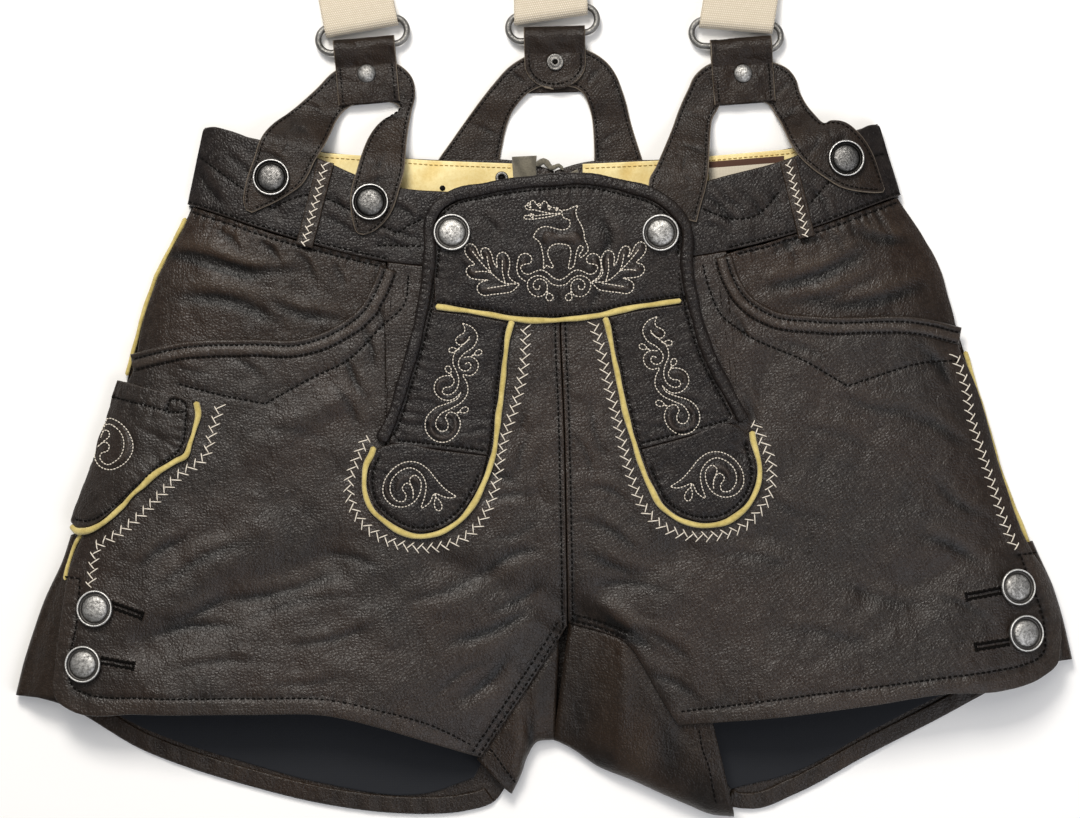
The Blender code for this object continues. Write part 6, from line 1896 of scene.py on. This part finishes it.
for name, outline, ends, shift in (
        ("piping_side_left_upper", SIDE_LEFT, (318, 234), 1.9),
        ("piping_side_right", SIDE_RIGHT, (247, 143), -1.9)):
    y = np.linspace(*ends, 120)
    line = np.column_stack([side_x(outline, y) + shift, y])
    roll(name, line, SIDE_PIPING, table, 2.95, CHAMOIS_ROLL, 0.25)

# %% [markdown]
# ## Knife pocket, belt loops and buttons
#
# A narrow knife pocket sits on the side seam, two loops stand on the waistband, and nine cast
# buttons with a rim, a dark groove and a hammered dome fasten flap, braces and vents.

# %% Knife pocket and belt loops
shell("knife_pocket", panel(
    [(-227.2, 231.6), (-211.9, 227.6), (-198.5, 224.6), (-185.3, 220.6)],
    [(-250.2, 156.6), (-247, 153.4), (-243, 153), (-238.6, 154), (-233.5, 157), (-228.2, 161.2),
     (-222.9, 166.5), (-213.3, 176.3), (-201, 186.8), (-190.2, 193)],
    [(-227.2, 231.6), (-230, 222.6), (-231.8, 213), (-236.8, 201), (-240.6, 183),
     (-247.4, 166.7), (-250.2, 156.6)],
    [(-185.3, 220.6), (-184.2, 213), (-186, 205.2), (-188.1, 198), (-190.2, 193)], 0.9),
    creased_front, TRIM_LEATHER, NAPPA, KNIFE_POCKET_LIFT, knife_detail)
LOOPS = {
    # side: top, bottom, width
    "left": ((-115.5, 346.8), (-127, 302), 9.0),
    "right": ((128, 347.6), (138, 306.6), 8.8),
}
for side, (top, bottom, width) in LOOPS.items():
    line = curve([top, bottom], 80)
    a, b = beside(line, -width / 2), beside(line, width / 2)
    shell("belt_loop_" + side, panel([a[0], b[0]], [a[-1], b[-1]], a, b, 0.8),
          creased_band, TRIM_LEATHER, HEM_NAPPA, BELT_LOOP_LIFT,
          lambda x, y: -0.22 * bell(distance_to(line[::20], x, y) - 3.1, 0.6)
          + 0.1 * np.sin(y / 1.3))
print("pocket and loops made")

# %% Buttons
# A turned profile is a list of radius and height; its tone, from -1 dark to 1 bright, is a list
# with a value for each of them. On a button the groove is dark with patina and the rim's crest
# bright where burnished, while the rim's outer side and underside are darkened as painted shade.
BUTTON = [(0.0, 3.9), (1.8, 3.86), (3.6, 3.72), (5.2, 3.42), (6.3, 3.0), (6.9, 2.5), (7.2, 1.9),
          (7.7, 1.6), (8.3, 1.7), (8.55, 2.5), (8.75, 3.2), (9.05, 3.4), (9.4, 3.25),
          (9.7, 2.7), (BUTTON_RADIUS, 2.0), (9.5, 1.2), (8.9, 0.5), (8.4, 0.0), (0.0, 0.0)]
BUTTON_TONE = [0, 0, 0, -0.04, -0.2, -0.6, -1, -1, -1, -0.9, 0.3, 0.9, 0.6, -0.2, -0.8, -0.95,
               -1, -1, -1]
BUTTONS = (
    # name, x, y, surface, lift of the base
    ("button_flap_left", -49, 309, flap, 1.2), ("button_flap_right", 60.8, 309, flap, 1.2),
    ("button_brace_left_outer", -144, 338, front, 3.6),
    ("button_brace_left_inner", -92, 325, front, 3.6),
    ("button_brace_right_outer", 158, 348, front, 3.6),
    ("button_leg_left_upper", -236, 111, front, 1.15),
    ("button_leg_left_lower", -242, 82, front, 1.2),
    ("button_leg_right_upper", 248, 122, front, 1.15),
    ("button_leg_right_lower", 252, 98, front, 1.15),
)
for name, x, y, surface, lift in BUTTONS:
    point, normal = raised(np.array([x, y], float), surface, lift)
    turned(name, BUTTON, point, normal, GUNMETAL if "brace" in name else METAL,
           relief=BUTTON_TONE)
print(len(BUTTONS), "buttons made")

# %% [markdown]
# ## Braces
#
# Three leather forks button to the waistband. Each hangs in a folded leather loop held by a
# rivet, on an oval ring, under wide ribbed elastic. The two front elastics fold over above and
# meet the back one under a leather patch. The strap's side view is one path, repeated across
# its width, so the fold round the ring keeps an even thickness.

# %% Forks
FORK_WIDTH = 26.0
FORK_PITCH = 1.1
FORK_INSET = 2.1


def fork(side, rows, surface):
    """A leather strap between its two edge lines, with stitched edges and button slits."""
    line = curve(rows, 240)
    centre = (line[:, :2] + line[:, 2:]) / 2
    shares = spaced(length_of(centre), FORK_PITCH)
    both = np.stack([np.interp(shares, share(centre), line[:, i]) for i in range(4)], axis=-1)
    outer, inner = both[:, :2], both[:, 2:]
    width = np.linalg.norm(outer - inner, axis=1)
    across = spaced(FORK_WIDTH, FORK_PITCH)
    plan = inner[:, None] + (outer - inner)[:, None] * across[None, :, None]
    ends = np.minimum(shares, 1 - shares) * length_of(centre)
    edge = np.minimum(ends[:, None], np.minimum(across, 1 - across)[None] * width[:, None])
    inset = np.clip(FORK_INSET / width, 0, 0.5)[:, None]
    sewn = [inner + (outer - inner) * inset, outer + (inner - outer) * inset]
    coarse = [evenly(edge_line, 50) for edge_line in sewn]
    bends = creases(FORK_CREASES[side])

    def detail(x, y):
        total = bends(x, y) + 0.6 * ripple(x, y)
        for edge_line in coarse:
            total -= 0.22 * bell(distance_to(edge_line, x, y), 0.6)
        for slit in SLITS[side]:
            total -= 0.6 * bell(distance_to(np.array(slit, float), x, y), 0.5)
        return total

    shell("brace_fork_" + side, (plan, edge), surface, FORK_LEATHER, STRAP, detail=detail)
    return sewn, detail


FORK_CREASES = {
    # side: x0, y0, x1, y1, bend, depth, width
    "left": [
        (-112, 392, -106, 384, 1, 0.5, 1.4), (-104, 398, -101, 388, 0.6, 0.5, 1.3),
        (-84, 398, -88, 387, -0.6, 0.5, 1.3), (-76, 392, -83, 384, -1, 0.45, 1.3),
        (-126, 378, -118, 372, 1, 0.4, 1.5), (-74, 372, -84, 372, 0.8, 0.35, 1.3),
        (-152, 352, -136, 344, 2, 0.35, 1.8), (-84, 352, -92, 340, 1, 0.3, 1.6),
        (-132, 366, -124, 360, 0.6, 0.3, 1.5), (-98, 334, -82, 338, 1, 0.3, 1.6)],
    "right": [
        (86, 394, 92, 385, 0.6, 0.5, 1.3), (96, 400, 98, 390, 0.6, 0.5, 1.3),
        (120, 398, 116, 388, -0.6, 0.5, 1.3), (130, 390, 122, 381, -1, 0.5, 1.3),
        (74, 374, 86, 372, -0.8, 0.4, 1.4), (68, 356, 84, 352, 1, 0.35, 1.5),
        (134, 378, 126, 370, 1, 0.35, 1.4), (146, 362, 138, 350, 1.4, 0.4, 1.6),
        (62, 340, 80, 336, 1, 0.3, 1.6), (158, 362, 152, 348, 1, 0.3, 1.6)],
    "back": [
        (-18, 396, -10, 388, 0.6, 0.45, 1.3), (-4, 404, -1, 394, 0.5, 0.45, 1.3),
        (16, 404, 13, 394, -0.5, 0.45, 1.3), (30, 398, 22, 388, -0.8, 0.45, 1.3),
        (-40, 368, -26, 362, 1, 0.35, 1.5), (42, 364, 30, 358, -1, 0.35, 1.5)],
}
SLITS = {
    "left": [((-140.5, 347.5), (-135.5, 356)), ((-88.8, 334.5), (-86.8, 345.5))],
    "right": [((71.5, 341), (75.5, 352)), ((152.8, 356), (149.4, 364))],
    "back": [],
}
FORKS = {"left": (FORK_LEFT, front_fork), "right": (FORK_RIGHT, front_fork),
         "back": (FORK_BACK, back_fork)}
fork_edges = {side: fork(side, rows, surface) for side, (rows, surface) in FORKS.items()}
print("forks made")

# %% Loops, rings, rivets and elastic
def strap_path(back_end, reach, front_points):
    """Side view of a strap round a bar: along the table, round below the bar, back on top.

    The fold is half an ellipse, the wrap radius high and as long as its reach past the bar.
    """
    under = [(back_end, LAYER_ON_TABLE), (back_end * 0.3, LAYER_ON_TABLE)]
    toward = -math.copysign(1, back_end)
    arc = [(toward * reach * math.sin(a), BAR_HEIGHT - WRAP_RADIUS * math.cos(a))
           for a in np.linspace(0, math.pi, 17)]
    return np.array(under + arc + front_points, float)


def finer(path, pitch):
    """A path of straight runs with points added so that none is longer than the pitch."""
    parts = [np.linspace(a, b, max(int(np.linalg.norm(b - a) / pitch), 1) + 1)[:-1]
             for a, b in zip(path[:-1], path[1:])]
    return np.vstack(parts + [path[-1:]])


def strap(name, columns, thickness, material, uv, relief=0.0, edge=0.0):
    """A strap from lines of points along it, with a Solidify wall."""
    points = np.stack(columns, axis=1)
    down, right = points[1, 0] - points[0, 0], points[0, 1] - points[0, 0]
    faces = grid_faces(numbered(*points.shape[:2]), np.cross(down, right)[2] > 0)
    with_wall(piece(name, points, [faces], material, uv=uv,
                    relief=np.broadcast_to(relief, points.shape[:2]),
                    edge=np.broadcast_to(edge, points.shape[:2])), thickness)


LOOP_RUNS = []
LOOP_LEVEL = 5.0
LOOP_INSET = 2.4  # from a loop's edge to its row of stitches
RIVET_PLACE = LOOP_HEIGHT * 0.45
RIVET_LEVEL = 6.1
RING_SIDES = 16
FLAT_FROM = 47  # along an elastic from its bar, where it lies on the table
SETTLE_FROM = 84  # past its fold, where the upper layer starts down to the table
SETTLE_LENGTH = 24
ACROSS = np.linspace(-0.5, 0.5, 27) * ELASTIC_WIDTH


def loop(name, centre, angle, tongue):
    """A leather loop round the ring's bar and the fork; a tongue ends in a half ellipse.

    The upper layer has fine crackle wrinkles round the rivet and short puckers at its fold.
    """
    bar = LOOP_HEIGHT - LOOP_REACH - TRIM_LEATHER / 2
    tip = TONGUE_SHORT - bar if tongue else -bar
    path = finer(strap_path(-bar, LOOP_REACH, [
        (-3.4, BAR_HEIGHT + WRAP_RADIUS - 0.7), (-6.6, 6.0), (-8.9, 5.05), (tip, LOOP_LEVEL)]),
        0.8)
    upper = np.arange(len(path)) > np.argmax(path[:, 0])
    wide = np.full(len(path), LOOP_WIDTH)
    if tongue:
        left = np.clip((path[:, 0] - tip) / TONGUE_LENGTH, 0.003, 1)
        wide = np.where(upper, wide * np.sqrt(1 - (1 - left) ** 2), wide)
    across = np.concatenate([[0, 0.02, 0.05], np.linspace(0.09, 0.91, 34), [0.95, 0.98, 1]])
    columns = []
    for f in across - 0.5:
        local = f * wide
        x, y = turned_plan(local, path[:, 0] + bar, angle, centre)
        above_rivet = path[:, 0] + bar - RIVET_PLACE
        from_rivet = np.hypot(local, above_rivet)
        crackle = np.sin(from_rivet / 0.9 + 2.5 * np.sin(5 * np.arctan2(local, above_rivet)))
        crackle *= 0.22 * np.exp(-from_rivet / 7.0)
        pucker = 0.16 * np.sin(local * 2.1 + np.sin(local)) * bell(path[:, 0] + bar - 1.5, 2.6)
        lift = (crackle + pucker + 2.2 * ripple(x, y)) * upper
        columns.append(np.column_stack([x, y, path[:, 1] + lift]))
    uv = np.stack(np.broadcast_arrays(walked(path)[:, None], across * LOOP_WIDTH), axis=-1)
    side = np.minimum(across, 1 - across)[None] * wide[:, None]
    # A line of painted shade runs along each row of stitches, with no groove built under it.
    strap(name, columns, TRIM_LEATHER, STRAP, uv, -0.45 * bell(side - LOOP_INSET, 0.7),
          np.exp(-side / 0.5) * 0.8)
    place = skin(lambda x, y: np.full(np.shape(x), LOOP_LEVEL), TRIM_LEATHER / 2)
    reach = LOOP_WIDTH / 2 - LOOP_INSET
    if tongue:
        turn = np.linspace(0, math.pi, 40)
        base = TONGUE_SHORT + TONGUE_LENGTH
        local = np.stack([reach * np.cos(turn),
                          base - (TONGUE_LENGTH - LOOP_INSET) * np.sin(turn)], axis=1)
        lines = [np.vstack([[(reach, bar - 9)], local, [(-reach, bar - 9)]])]
    else:
        lines = [np.array([(sign * reach, 1.2), (sign * reach, 10), (sign * reach, bar - 9)])
                 for sign in (-1, 1)]
    for line in lines:
        plan = np.stack(turned_plan(*line.T, angle, centre), axis=1)
        LOOP_RUNS.append(row(evenly(plan, 120), place, 2.5))
    return turned_plan(0.0, bar, angle, centre)


def ring(name, centre, angle):
    """An oval ring of round wire: a stadium outline with a circular section."""
    straight = RING_HALF_LENGTH - RING_HALF_HEIGHT
    turn = np.linspace(-math.pi / 2, math.pi / 2, 25)
    right = np.stack([straight + RING_HALF_HEIGHT * np.cos(turn),
                      RING_HALF_HEIGHT * np.sin(turn)], axis=1)
    top = np.stack([np.linspace(straight, -straight, 18)[1:-1], np.full(16, RING_HALF_HEIGHT)], 1)
    outline = np.vstack([right, top, -right, -top])
    out = -left_of(unit(np.roll(outline, -1, axis=0) - np.roll(outline, 1, axis=0)))
    a = np.arange(RING_SIDES) * 2 * math.pi / RING_SIDES
    plan = outline[:, None] + out[:, None] * (RING_WIRE * np.cos(a))[None, :, None]
    x, y = turned_plan(plan[..., 0], plan[..., 1], angle, centre)
    points = np.stack([x, y, np.broadcast_to(BAR_HEIGHT + RING_WIRE * np.sin(a), x.shape)], -1)
    ids = numbered(len(outline), RING_SIDES, closed=True)
    # The underside of the wire is darkened as painted shade.
    tone = np.broadcast_to(-0.5 * (np.sin(a) < -0.5), x.shape)
    piece(name, points, [grid_faces(np.concatenate([ids, ids[:1]]), True)], WIRE, relief=tone,
          edge=0 * tone)


def elastic(name, centre, angle, slant, end, rise):
    """Elastic webbing from its sewn end, round the ring's bar and up.

    A back one runs straight to its end. A front one rises to a fold line, rolls round the fold
    radius there and runs back mirrored to the yoke.
    """
    start = [(8, BAR_HEIGHT + WRAP_RADIUS - 0.9), (18, 4.8), (28, 3.3), (38, 2.6),
             (FLAT_FROM, LAYER_ON_TABLE)]
    path = strap_path(DOUBLED_LENGTH, ELASTIC_REACH, start)
    centre = np.array(centre)
    along = np.array([-math.sin(math.radians(angle)), math.cos(math.radians(angle))])
    side = -left_of(along) + along * math.tan(math.radians(slant))
    columns = []
    if rise is None:
        path = finer(np.vstack([path, [(end, LAYER_ON_TABLE)]]), 3.0)
        ways = np.broadcast_to(walked(path)[:, None], (len(path), len(ACROSS)))
        for f in ACROSS:
            columns.append(with_height(centre + path[:, :1] * along + f * side, path[:, 1]))
    else:
        path = finer(path, 2.0)
        corner = centre + along * rise
        length = np.linalg.norm(YOKE_CENTRE - corner) - YOKE_CLEAR
        crease = unit(along + unit(YOKE_CENTRE - corner))
        beyond = unit(along - crease * (along @ crease))
        reach = along @ beyond
        lean = (side @ beyond) / reach
        half_turn = math.pi * FOLD_RADIUS
        way = walked(path)
        ways = []
        for f in ACROSS:
            fold = rise - f * lean
            near_fold = rise - 60 - f * lean * 0.5
            # Points along the band stand closest together where it folds over.
            run = np.concatenate([
                np.linspace(50, 80, 9), np.linspace(80, near_fold, 36)[1:],
                np.linspace(near_fold, fold - 8, 12)[1:],
                fold + np.linspace(0, half_turn, 11) / reach, fold + np.linspace(8, 50, 9),
                fold + np.linspace(50, 104, 12)[1:],
                np.linspace(fold + 104, rise + length, 24)[1:]])
            plan = centre + run[:, None] * along + f * side
            over = (plan - corner) @ beyond
            angle_over = np.clip(over / FOLD_RADIUS, 0, math.pi)
            bent = np.where(over < 0, over, np.where(
                over < half_turn, FOLD_RADIUS * np.sin(angle_over), half_turn - over))
            height = LAYER_ON_TABLE + FOLD_RADIUS * (1 - np.cos(angle_over))
            settle = smoothstep((run - (fold + SETTLE_FROM)) / SETTLE_LENGTH)
            height = height + (LAYER_ON_TABLE - height) * settle * (over > 0)
            columns.append(np.vstack([
                with_height(centre + path[:, :1] * along + f * side, path[:, 1]),
                with_height(plan + (bent - over)[:, None] * beyond, height)]))
            ways.append(np.concatenate([way, way[-1] + run - FLAT_FROM]))
        ways = np.stack(ways, axis=1)
    uv = np.stack([np.broadcast_to(ACROSS, ways.shape), ways], axis=-1)
    strap(name, columns, ELASTIC, WEBBING, uv)


RIVET = [(0.0, 2.0), (1.4, 1.93), (2.8, 1.6), (3.9, 1.0), (4.5, 0.5), (RIVET_RADIUS, 0.25),
         (RIVET_RADIUS, 0.0), (0.0, 0.0)]
SNAP = [(1.2, 0.5), (1.3, 0.95), (1.7, 1.2), (2.3, 1.15), (2.8, 0.75), (3.3, 0.75), (3.9, 1.0),
        (4.4, 0.75), (SNAP_RADIUS, 0.3), (SNAP_RADIUS, 0.0), (1.2, 0.0)]
for name, (x, y, loop_turn, ring_turn, slide, elastic_turn, slant) in BRACES.items():
    back = name == "back"
    bar = loop("brace_loop_" + name, (x, y), loop_turn, back)
    ring("ring_" + name, turned_plan(slide, RING_HALF_HEIGHT, ring_turn, bar), ring_turn)
    top_bar = turned_plan(slide, 2 * RING_HALF_HEIGHT, ring_turn, bar)
    if back:
        elastic("elastic_back", top_bar, elastic_turn, slant,
                YOKE_CENTRE[1] - YOKE_CLEAR + 8 - top_bar[1], None)
    else:
        elastic("elastic_" + name, top_bar, elastic_turn, slant, None, FRONT_ELASTIC_RISE)
    spot = np.array([*turned_plan(0.0, RIVET_PLACE, loop_turn, (x, y)), RIVET_LEVEL])
    # The snap is dark in its grooves with patina; it and the rivets darken towards their base and
    # beneath as painted shade.
    if back:
        turned("rivet_back", SNAP, spot, (0, 0, 1), WIRE, steps=36, hollow=True,
               relief=[-0.6, -0.2, 0, 0, -0.5, -0.5, 0, -0.1, -0.6, -1, -1])
        # A dark disc in the snap's hole is painted shade.
        turned("snap_hole_shade", [(0.0, 0.35), (1.2, 0.3), (1.25, 0.1), (0.0, 0.1)], spot, (0, 0, 1),
               DARK_THREAD, 24, replaces=())
    else:
        turned("rivet_" + name, RIVET, spot, (0, 0, 1), METAL, steps=36,
               relief=[0, 0, 0, -0.1, -0.5, -0.9, -1, -1])
print("loops, rings and elastics made")

# %% Yoke patch over the three strap ends
def yoke_plan(reach):
    """A triangle with rounded corners: a circle with three swellings, at a reach from 0 to 1."""
    turn = np.linspace(0, 2 * math.pi, 121)[:-1]
    radius = YOKE_RADIUS * (reach + 0.12 * np.cos(3 * (turn + math.pi / 2)))
    return YOKE_CENTRE + radius[:, None] * np.stack([np.cos(turn), np.sin(turn)], axis=1)


YOKE_LEVEL = 2 * LAYER_ON_TABLE + 1.2
YOKE_INSETS = np.array([0.0, 0.15, 0.5, 1.0, 1.6, 2.3, 2.6, 3.2, 5, 9, 14, 20, 26])
YOKE_SEAM = 2.4
insets = np.concatenate([YOKE_INSETS[::-1], YOKE_INSETS[1:]])
upper = np.arange(len(insets)) < len(YOKE_INSETS)
swell = np.sqrt(1 - (1 - np.minimum(insets, 1.0)) ** 2) * YOKE_LEATHER / 2
lifts = YOKE_LEVEL + np.where(upper, swell - 0.28 * bell(insets - YOKE_SEAM, 0.5), -swell)
rings = np.stack([with_height(yoke_plan(1 - inset / YOKE_RADIUS), lift)
                  for inset, lift in zip(insets, lifts)])
ids = numbered(*rings.shape[:2], closed=True)
# The seam's groove is darkened a second time in colour, as painted shade.
piece("yoke", rings, [grid_faces(ids), *end_caps(ids)], STRAP,
      relief=np.repeat(-0.4 * bell(insets - YOKE_SEAM, 0.6), rings.shape[1]),
      edge=np.repeat(np.exp(-insets / 0.6), rings.shape[1]))
print("yoke made,", len(insets), "rings")

# %% [markdown]
# ## Thread
#
# Dark lockstitch holds the leather, cream running stitch draws the motifs and cream feather
# stitch frames the tabs and side seams. Thousands of stitches share one shape of 36 triangles,
# set on the leather's own relief, so none floats or sinks.

# %% Dark rows
SHOWN_TRIM = TRIM_LEATHER / 2
left_skin = skin(creased_front, LEATHER / 2, left_detail)
right_skin = skin(creased_front, LEATHER / 2, right_detail)
pocket_skin = skin(creased_pocket, SHOWN_TRIM - FACING_DROP, pocket_detail)
band_skin = skin(creased_band, BAND_LEATHER / 2, band_detail)
yoke_skin = skin(creased_flap, SHOWN_TRIM, yoke_detail)
tab_skins = {side: skin(creased_flap, SHOWN_TRIM, detail) for side, detail in tab_details.items()}
tongue_skins = {side: skin(creased_flap, SHOWN_TRIM, detail)
                for side, detail in tongue_details.items()}
knife_skin = skin(creased_front, SHOWN_TRIM + KNIFE_POCKET_LIFT, knife_detail)
facing_skin = skin(back_band, FACING_LIFT + CHAMOIS / 2, facing_detail)


def grid_height(points):
    """Height between scattered points of a surface, each weighing one over distance to the 4th."""
    flat = points.reshape(-1, 3)

    def height(x, y):
        x, y = np.asarray(x, float), np.asarray(y, float)
        away = (x[..., None] - flat[:, 0]) ** 2 + (y[..., None] - flat[:, 1]) ** 2 + 0.05
        weight = 1 / away**2
        return (weight * flat[:, 2]).sum(axis=-1) / weight.sum(axis=-1)
    return height


def worked_slit(first, last, place):
    """Buttonhole stitches: short ones across both sides of a slit, and a bar at its end."""
    first, last = np.array(first, float), np.array(last, float)
    run = unit(last - first)
    side = left_of(run)
    way = np.arange(0.4, np.linalg.norm(last - first), 0.8)[:, None]
    runs = []
    for sign in (-1, 1):
        start = first + way * run + side * sign * 0.5
        end = first + (way + 0.25) * run + side * sign * (2.3 + 0.35 * np.sin(way * 2.3))
        runs.append(laid_stitches(start, end, place))
    bar = np.linspace(-2.0, 2.0, 5)[:, None] * side
    runs.append(laid_stitches(last + bar - 0.7 * run, last + bar + 1.0 * run, place))
    return merged(runs)


DARK = 0.46
FORK_DARK = 0.34
YELLOW = 0.26
FLAP_PITCH = 2.6
THIGH_ROWS = {
    "back_right": curve([(81.2, 48), (83.1, 36.9), (86.8, 26.6), (89, 14.8), (90.6, 8)], 60),
    "back_left": curve([(-29, 37), (-24, 30), (-19, 23), (-16, 18)], 30),
}
for side, rows, holes, place in (("left", LEFT_ROWS, BUTTONHOLES[:2], left_skin),
                                 ("right", RIGHT_ROWS, BUTTONHOLES[2:], right_skin)):
    thread("topstitch_" + side, [row(line, place) for line in rows]
           + [worked_slit(*hole, place) for hole in holes], DARK)
thread("topstitch_waist", [row(line, pocket_skin) for line in POCKET_ROWS]
       + [row(line, band_skin) for line in BAND_ROWS], DARK)
welt_runs = []
for lines, profile in WELT_ROWS.values():
    place = skin(creased_front, SHOWN_TRIM + WELT_LIFT, profile)
    welt_runs += [row(part_of(line, 0.01, 0.99), place, 2.7) for line in lines]
thread("topstitch_welts", welt_runs, DARK)
flap_runs = [row(line, yoke_skin, FLAP_PITCH) for line in YOKE_ROWS]
for side in ("left", "right"):
    flap_runs += [row(line, tab_skins[side], FLAP_PITCH) for line in SIDE_ROWS[side]]
    flap_runs += [row(line, tongue_skins[side], FLAP_PITCH) for line in TONGUE_ROWS[side]]
flap_runs += [row(line, knife_skin, 2.4) for line in POCKET_ROW]
thread("topstitch_thighs", [
    row(line, skin(grid_height(THIGHS[name][:, 7:]), LEATHER / 2))
    for name, line in THIGH_ROWS.items()], DARK)
thread("topstitch_flap", flap_runs, DARK)
fork_runs = []
for side, (rows, surface) in FORKS.items():
    edges, detail = fork_edges[side]
    place = skin(surface, FORK_LEATHER / 2, detail)
    fork_runs += [row(part_of(line, 0.02, 0.98), place, 2.6) for line in edges]
thread("topstitch_forks", fork_runs + LOOP_RUNS, FORK_DARK)
thread("topstitch_facing", [row(below_band_top(*ends, 3.0, 120), facing_skin, 2.8)
                            for ends in ((-139, -15), (21, 144))], YELLOW, YELLOW_THREAD, 0.15)
print("dark rows made")

# %% Cream motifs and feather stitch
CREAM = 0.3
FEATHER_CREAM = 0.33


def motif(lines, place):
    return [row(line, place, 1.75, 0.78) for line in lines]


motif_runs = motif(FLAP_LINES, yoke_skin)
for side in ("left", "right"):
    motif_runs += motif(VINES[side], tab_skins[side]) + motif(SCROLLS[side], tongue_skins[side])
motif_runs += motif(POCKET_MOTIF, knife_skin)
thread("embroidery", motif_runs, CREAM, CREAM_THREAD)
on_loop = skin(creased_band, SHOWN_TRIM + BELT_LOOP_LIFT)
thread("feather_stitch", [
    feather(SIDE_FEATHERS[0], left_skin), feather(TAB_FEATHERS[0], left_skin),
    feather(SIDE_FEATHERS[1], right_skin, mirrored=True),
    feather(TAB_FEATHERS[1], right_skin, mirrored=True),
    *[feather([top, bottom], on_loop, 3.9, scale=0.74) for top, bottom, _ in LOOPS.values()]],
    FEATHER_CREAM, CREAM_THREAD, 0.35)

# %% [markdown]

# %% [markdown]
# ## Table, light and camera
#
# A plain pale table carries the garment. The key light stands beyond the waist, a little to the
# left, so each seam and crease throws its shade towards the hems. A weaker light hangs overhead
# and a wide one fills from the lower right. The camera looks straight down through a long lens.

# %% Table
TABLE_HALF = 3.0
TABLE_DROP = 0.0004
floor_mesh = bpy.data.meshes.new("table_top")
floor_mesh.from_pydata([(x * TABLE_HALF, y * TABLE_HALF, -TABLE_DROP)
                        for x, y in ((-1, -1), (1, -1), (1, 1), (-1, 1))], [], [(0, 1, 2, 3)])
table_top = bpy.data.objects.new("table_top", floor_mesh)
bpy.context.scene.collection.objects.link(table_top)
paper, paper_tree, paper_place = new_finish("matt_white_paper", None, Roughness=0.9)
paper_tone = noise(paper_tree, paper_place, 300.0, 2.0)
floor_mesh.materials.append(
    finished(paper, Base_Color=mixed(paper_tree, paper_tone, "f4f4f3", "f8f8f7")))
print("table laid")

# %% Lights and camera
def area_light(name, place, aim, size, power, colour):
    """A square light, its place and aim in metres, turned to face what it aims at."""
    light = bpy.data.lights.new(name, "AREA")
    light.shape = "SQUARE"
    light.size = size
    light.energy = power
    light.color = linear(colour)[:3]
    thing = bpy.data.objects.new(name, light)
    bpy.context.scene.collection.objects.link(thing)
    x, y, z = np.array(place) - np.array(aim)
    thing.location = place
    thing.rotation_euler = (0.0, math.atan2(math.hypot(x, y), z), math.atan2(y, x))


area_light("key_light", (-0.35, 0.9, 1.3), (0.0, -0.2, 0.0), 0.5, 24.0, "fffaf3")
area_light("top_light", (-0.15, 0.38, 1.6), (0.0, 0.0, 0.0), 0.7, 6.0, "fffaf4")
area_light("fill_light", (0.8, -0.95, 1.3), (0.0, -0.1, 0.0), 1.2, 12.0, "f8f9ff")
world = bpy.data.worlds.new("studio")
world.use_nodes = True
background = world.node_tree.nodes["Background"]
background.inputs["Color"].default_value = linear("f5f6f8")
background.inputs["Strength"].default_value = 0.22
bpy.context.scene.world = world
bpy.context.scene.view_settings.view_transform = "Standard"
LENS = 100.0
SENSOR = 36.0
FRAME_WIDTH = 1080 * 0.53
VIEW_CENTRE = (-2.65, 216.2)
VIEW_LEVEL = 10.0
camera_data = bpy.data.cameras.new("camera")
camera_data.lens = LENS
camera_data.sensor_width = SENSOR
camera = bpy.data.objects.new("camera", camera_data)
camera.location = ((VIEW_CENTRE[0] - MIDDLE[0]) * MM, (VIEW_CENTRE[1] - MIDDLE[1]) * MM,
                   (FRAME_WIDTH * LENS / SENSOR + VIEW_LEVEL) * MM)
bpy.context.scene.collection.objects.link(camera)
bpy.context.scene.camera = camera
print("camera", round(camera.location.z, 2), "m above the table")
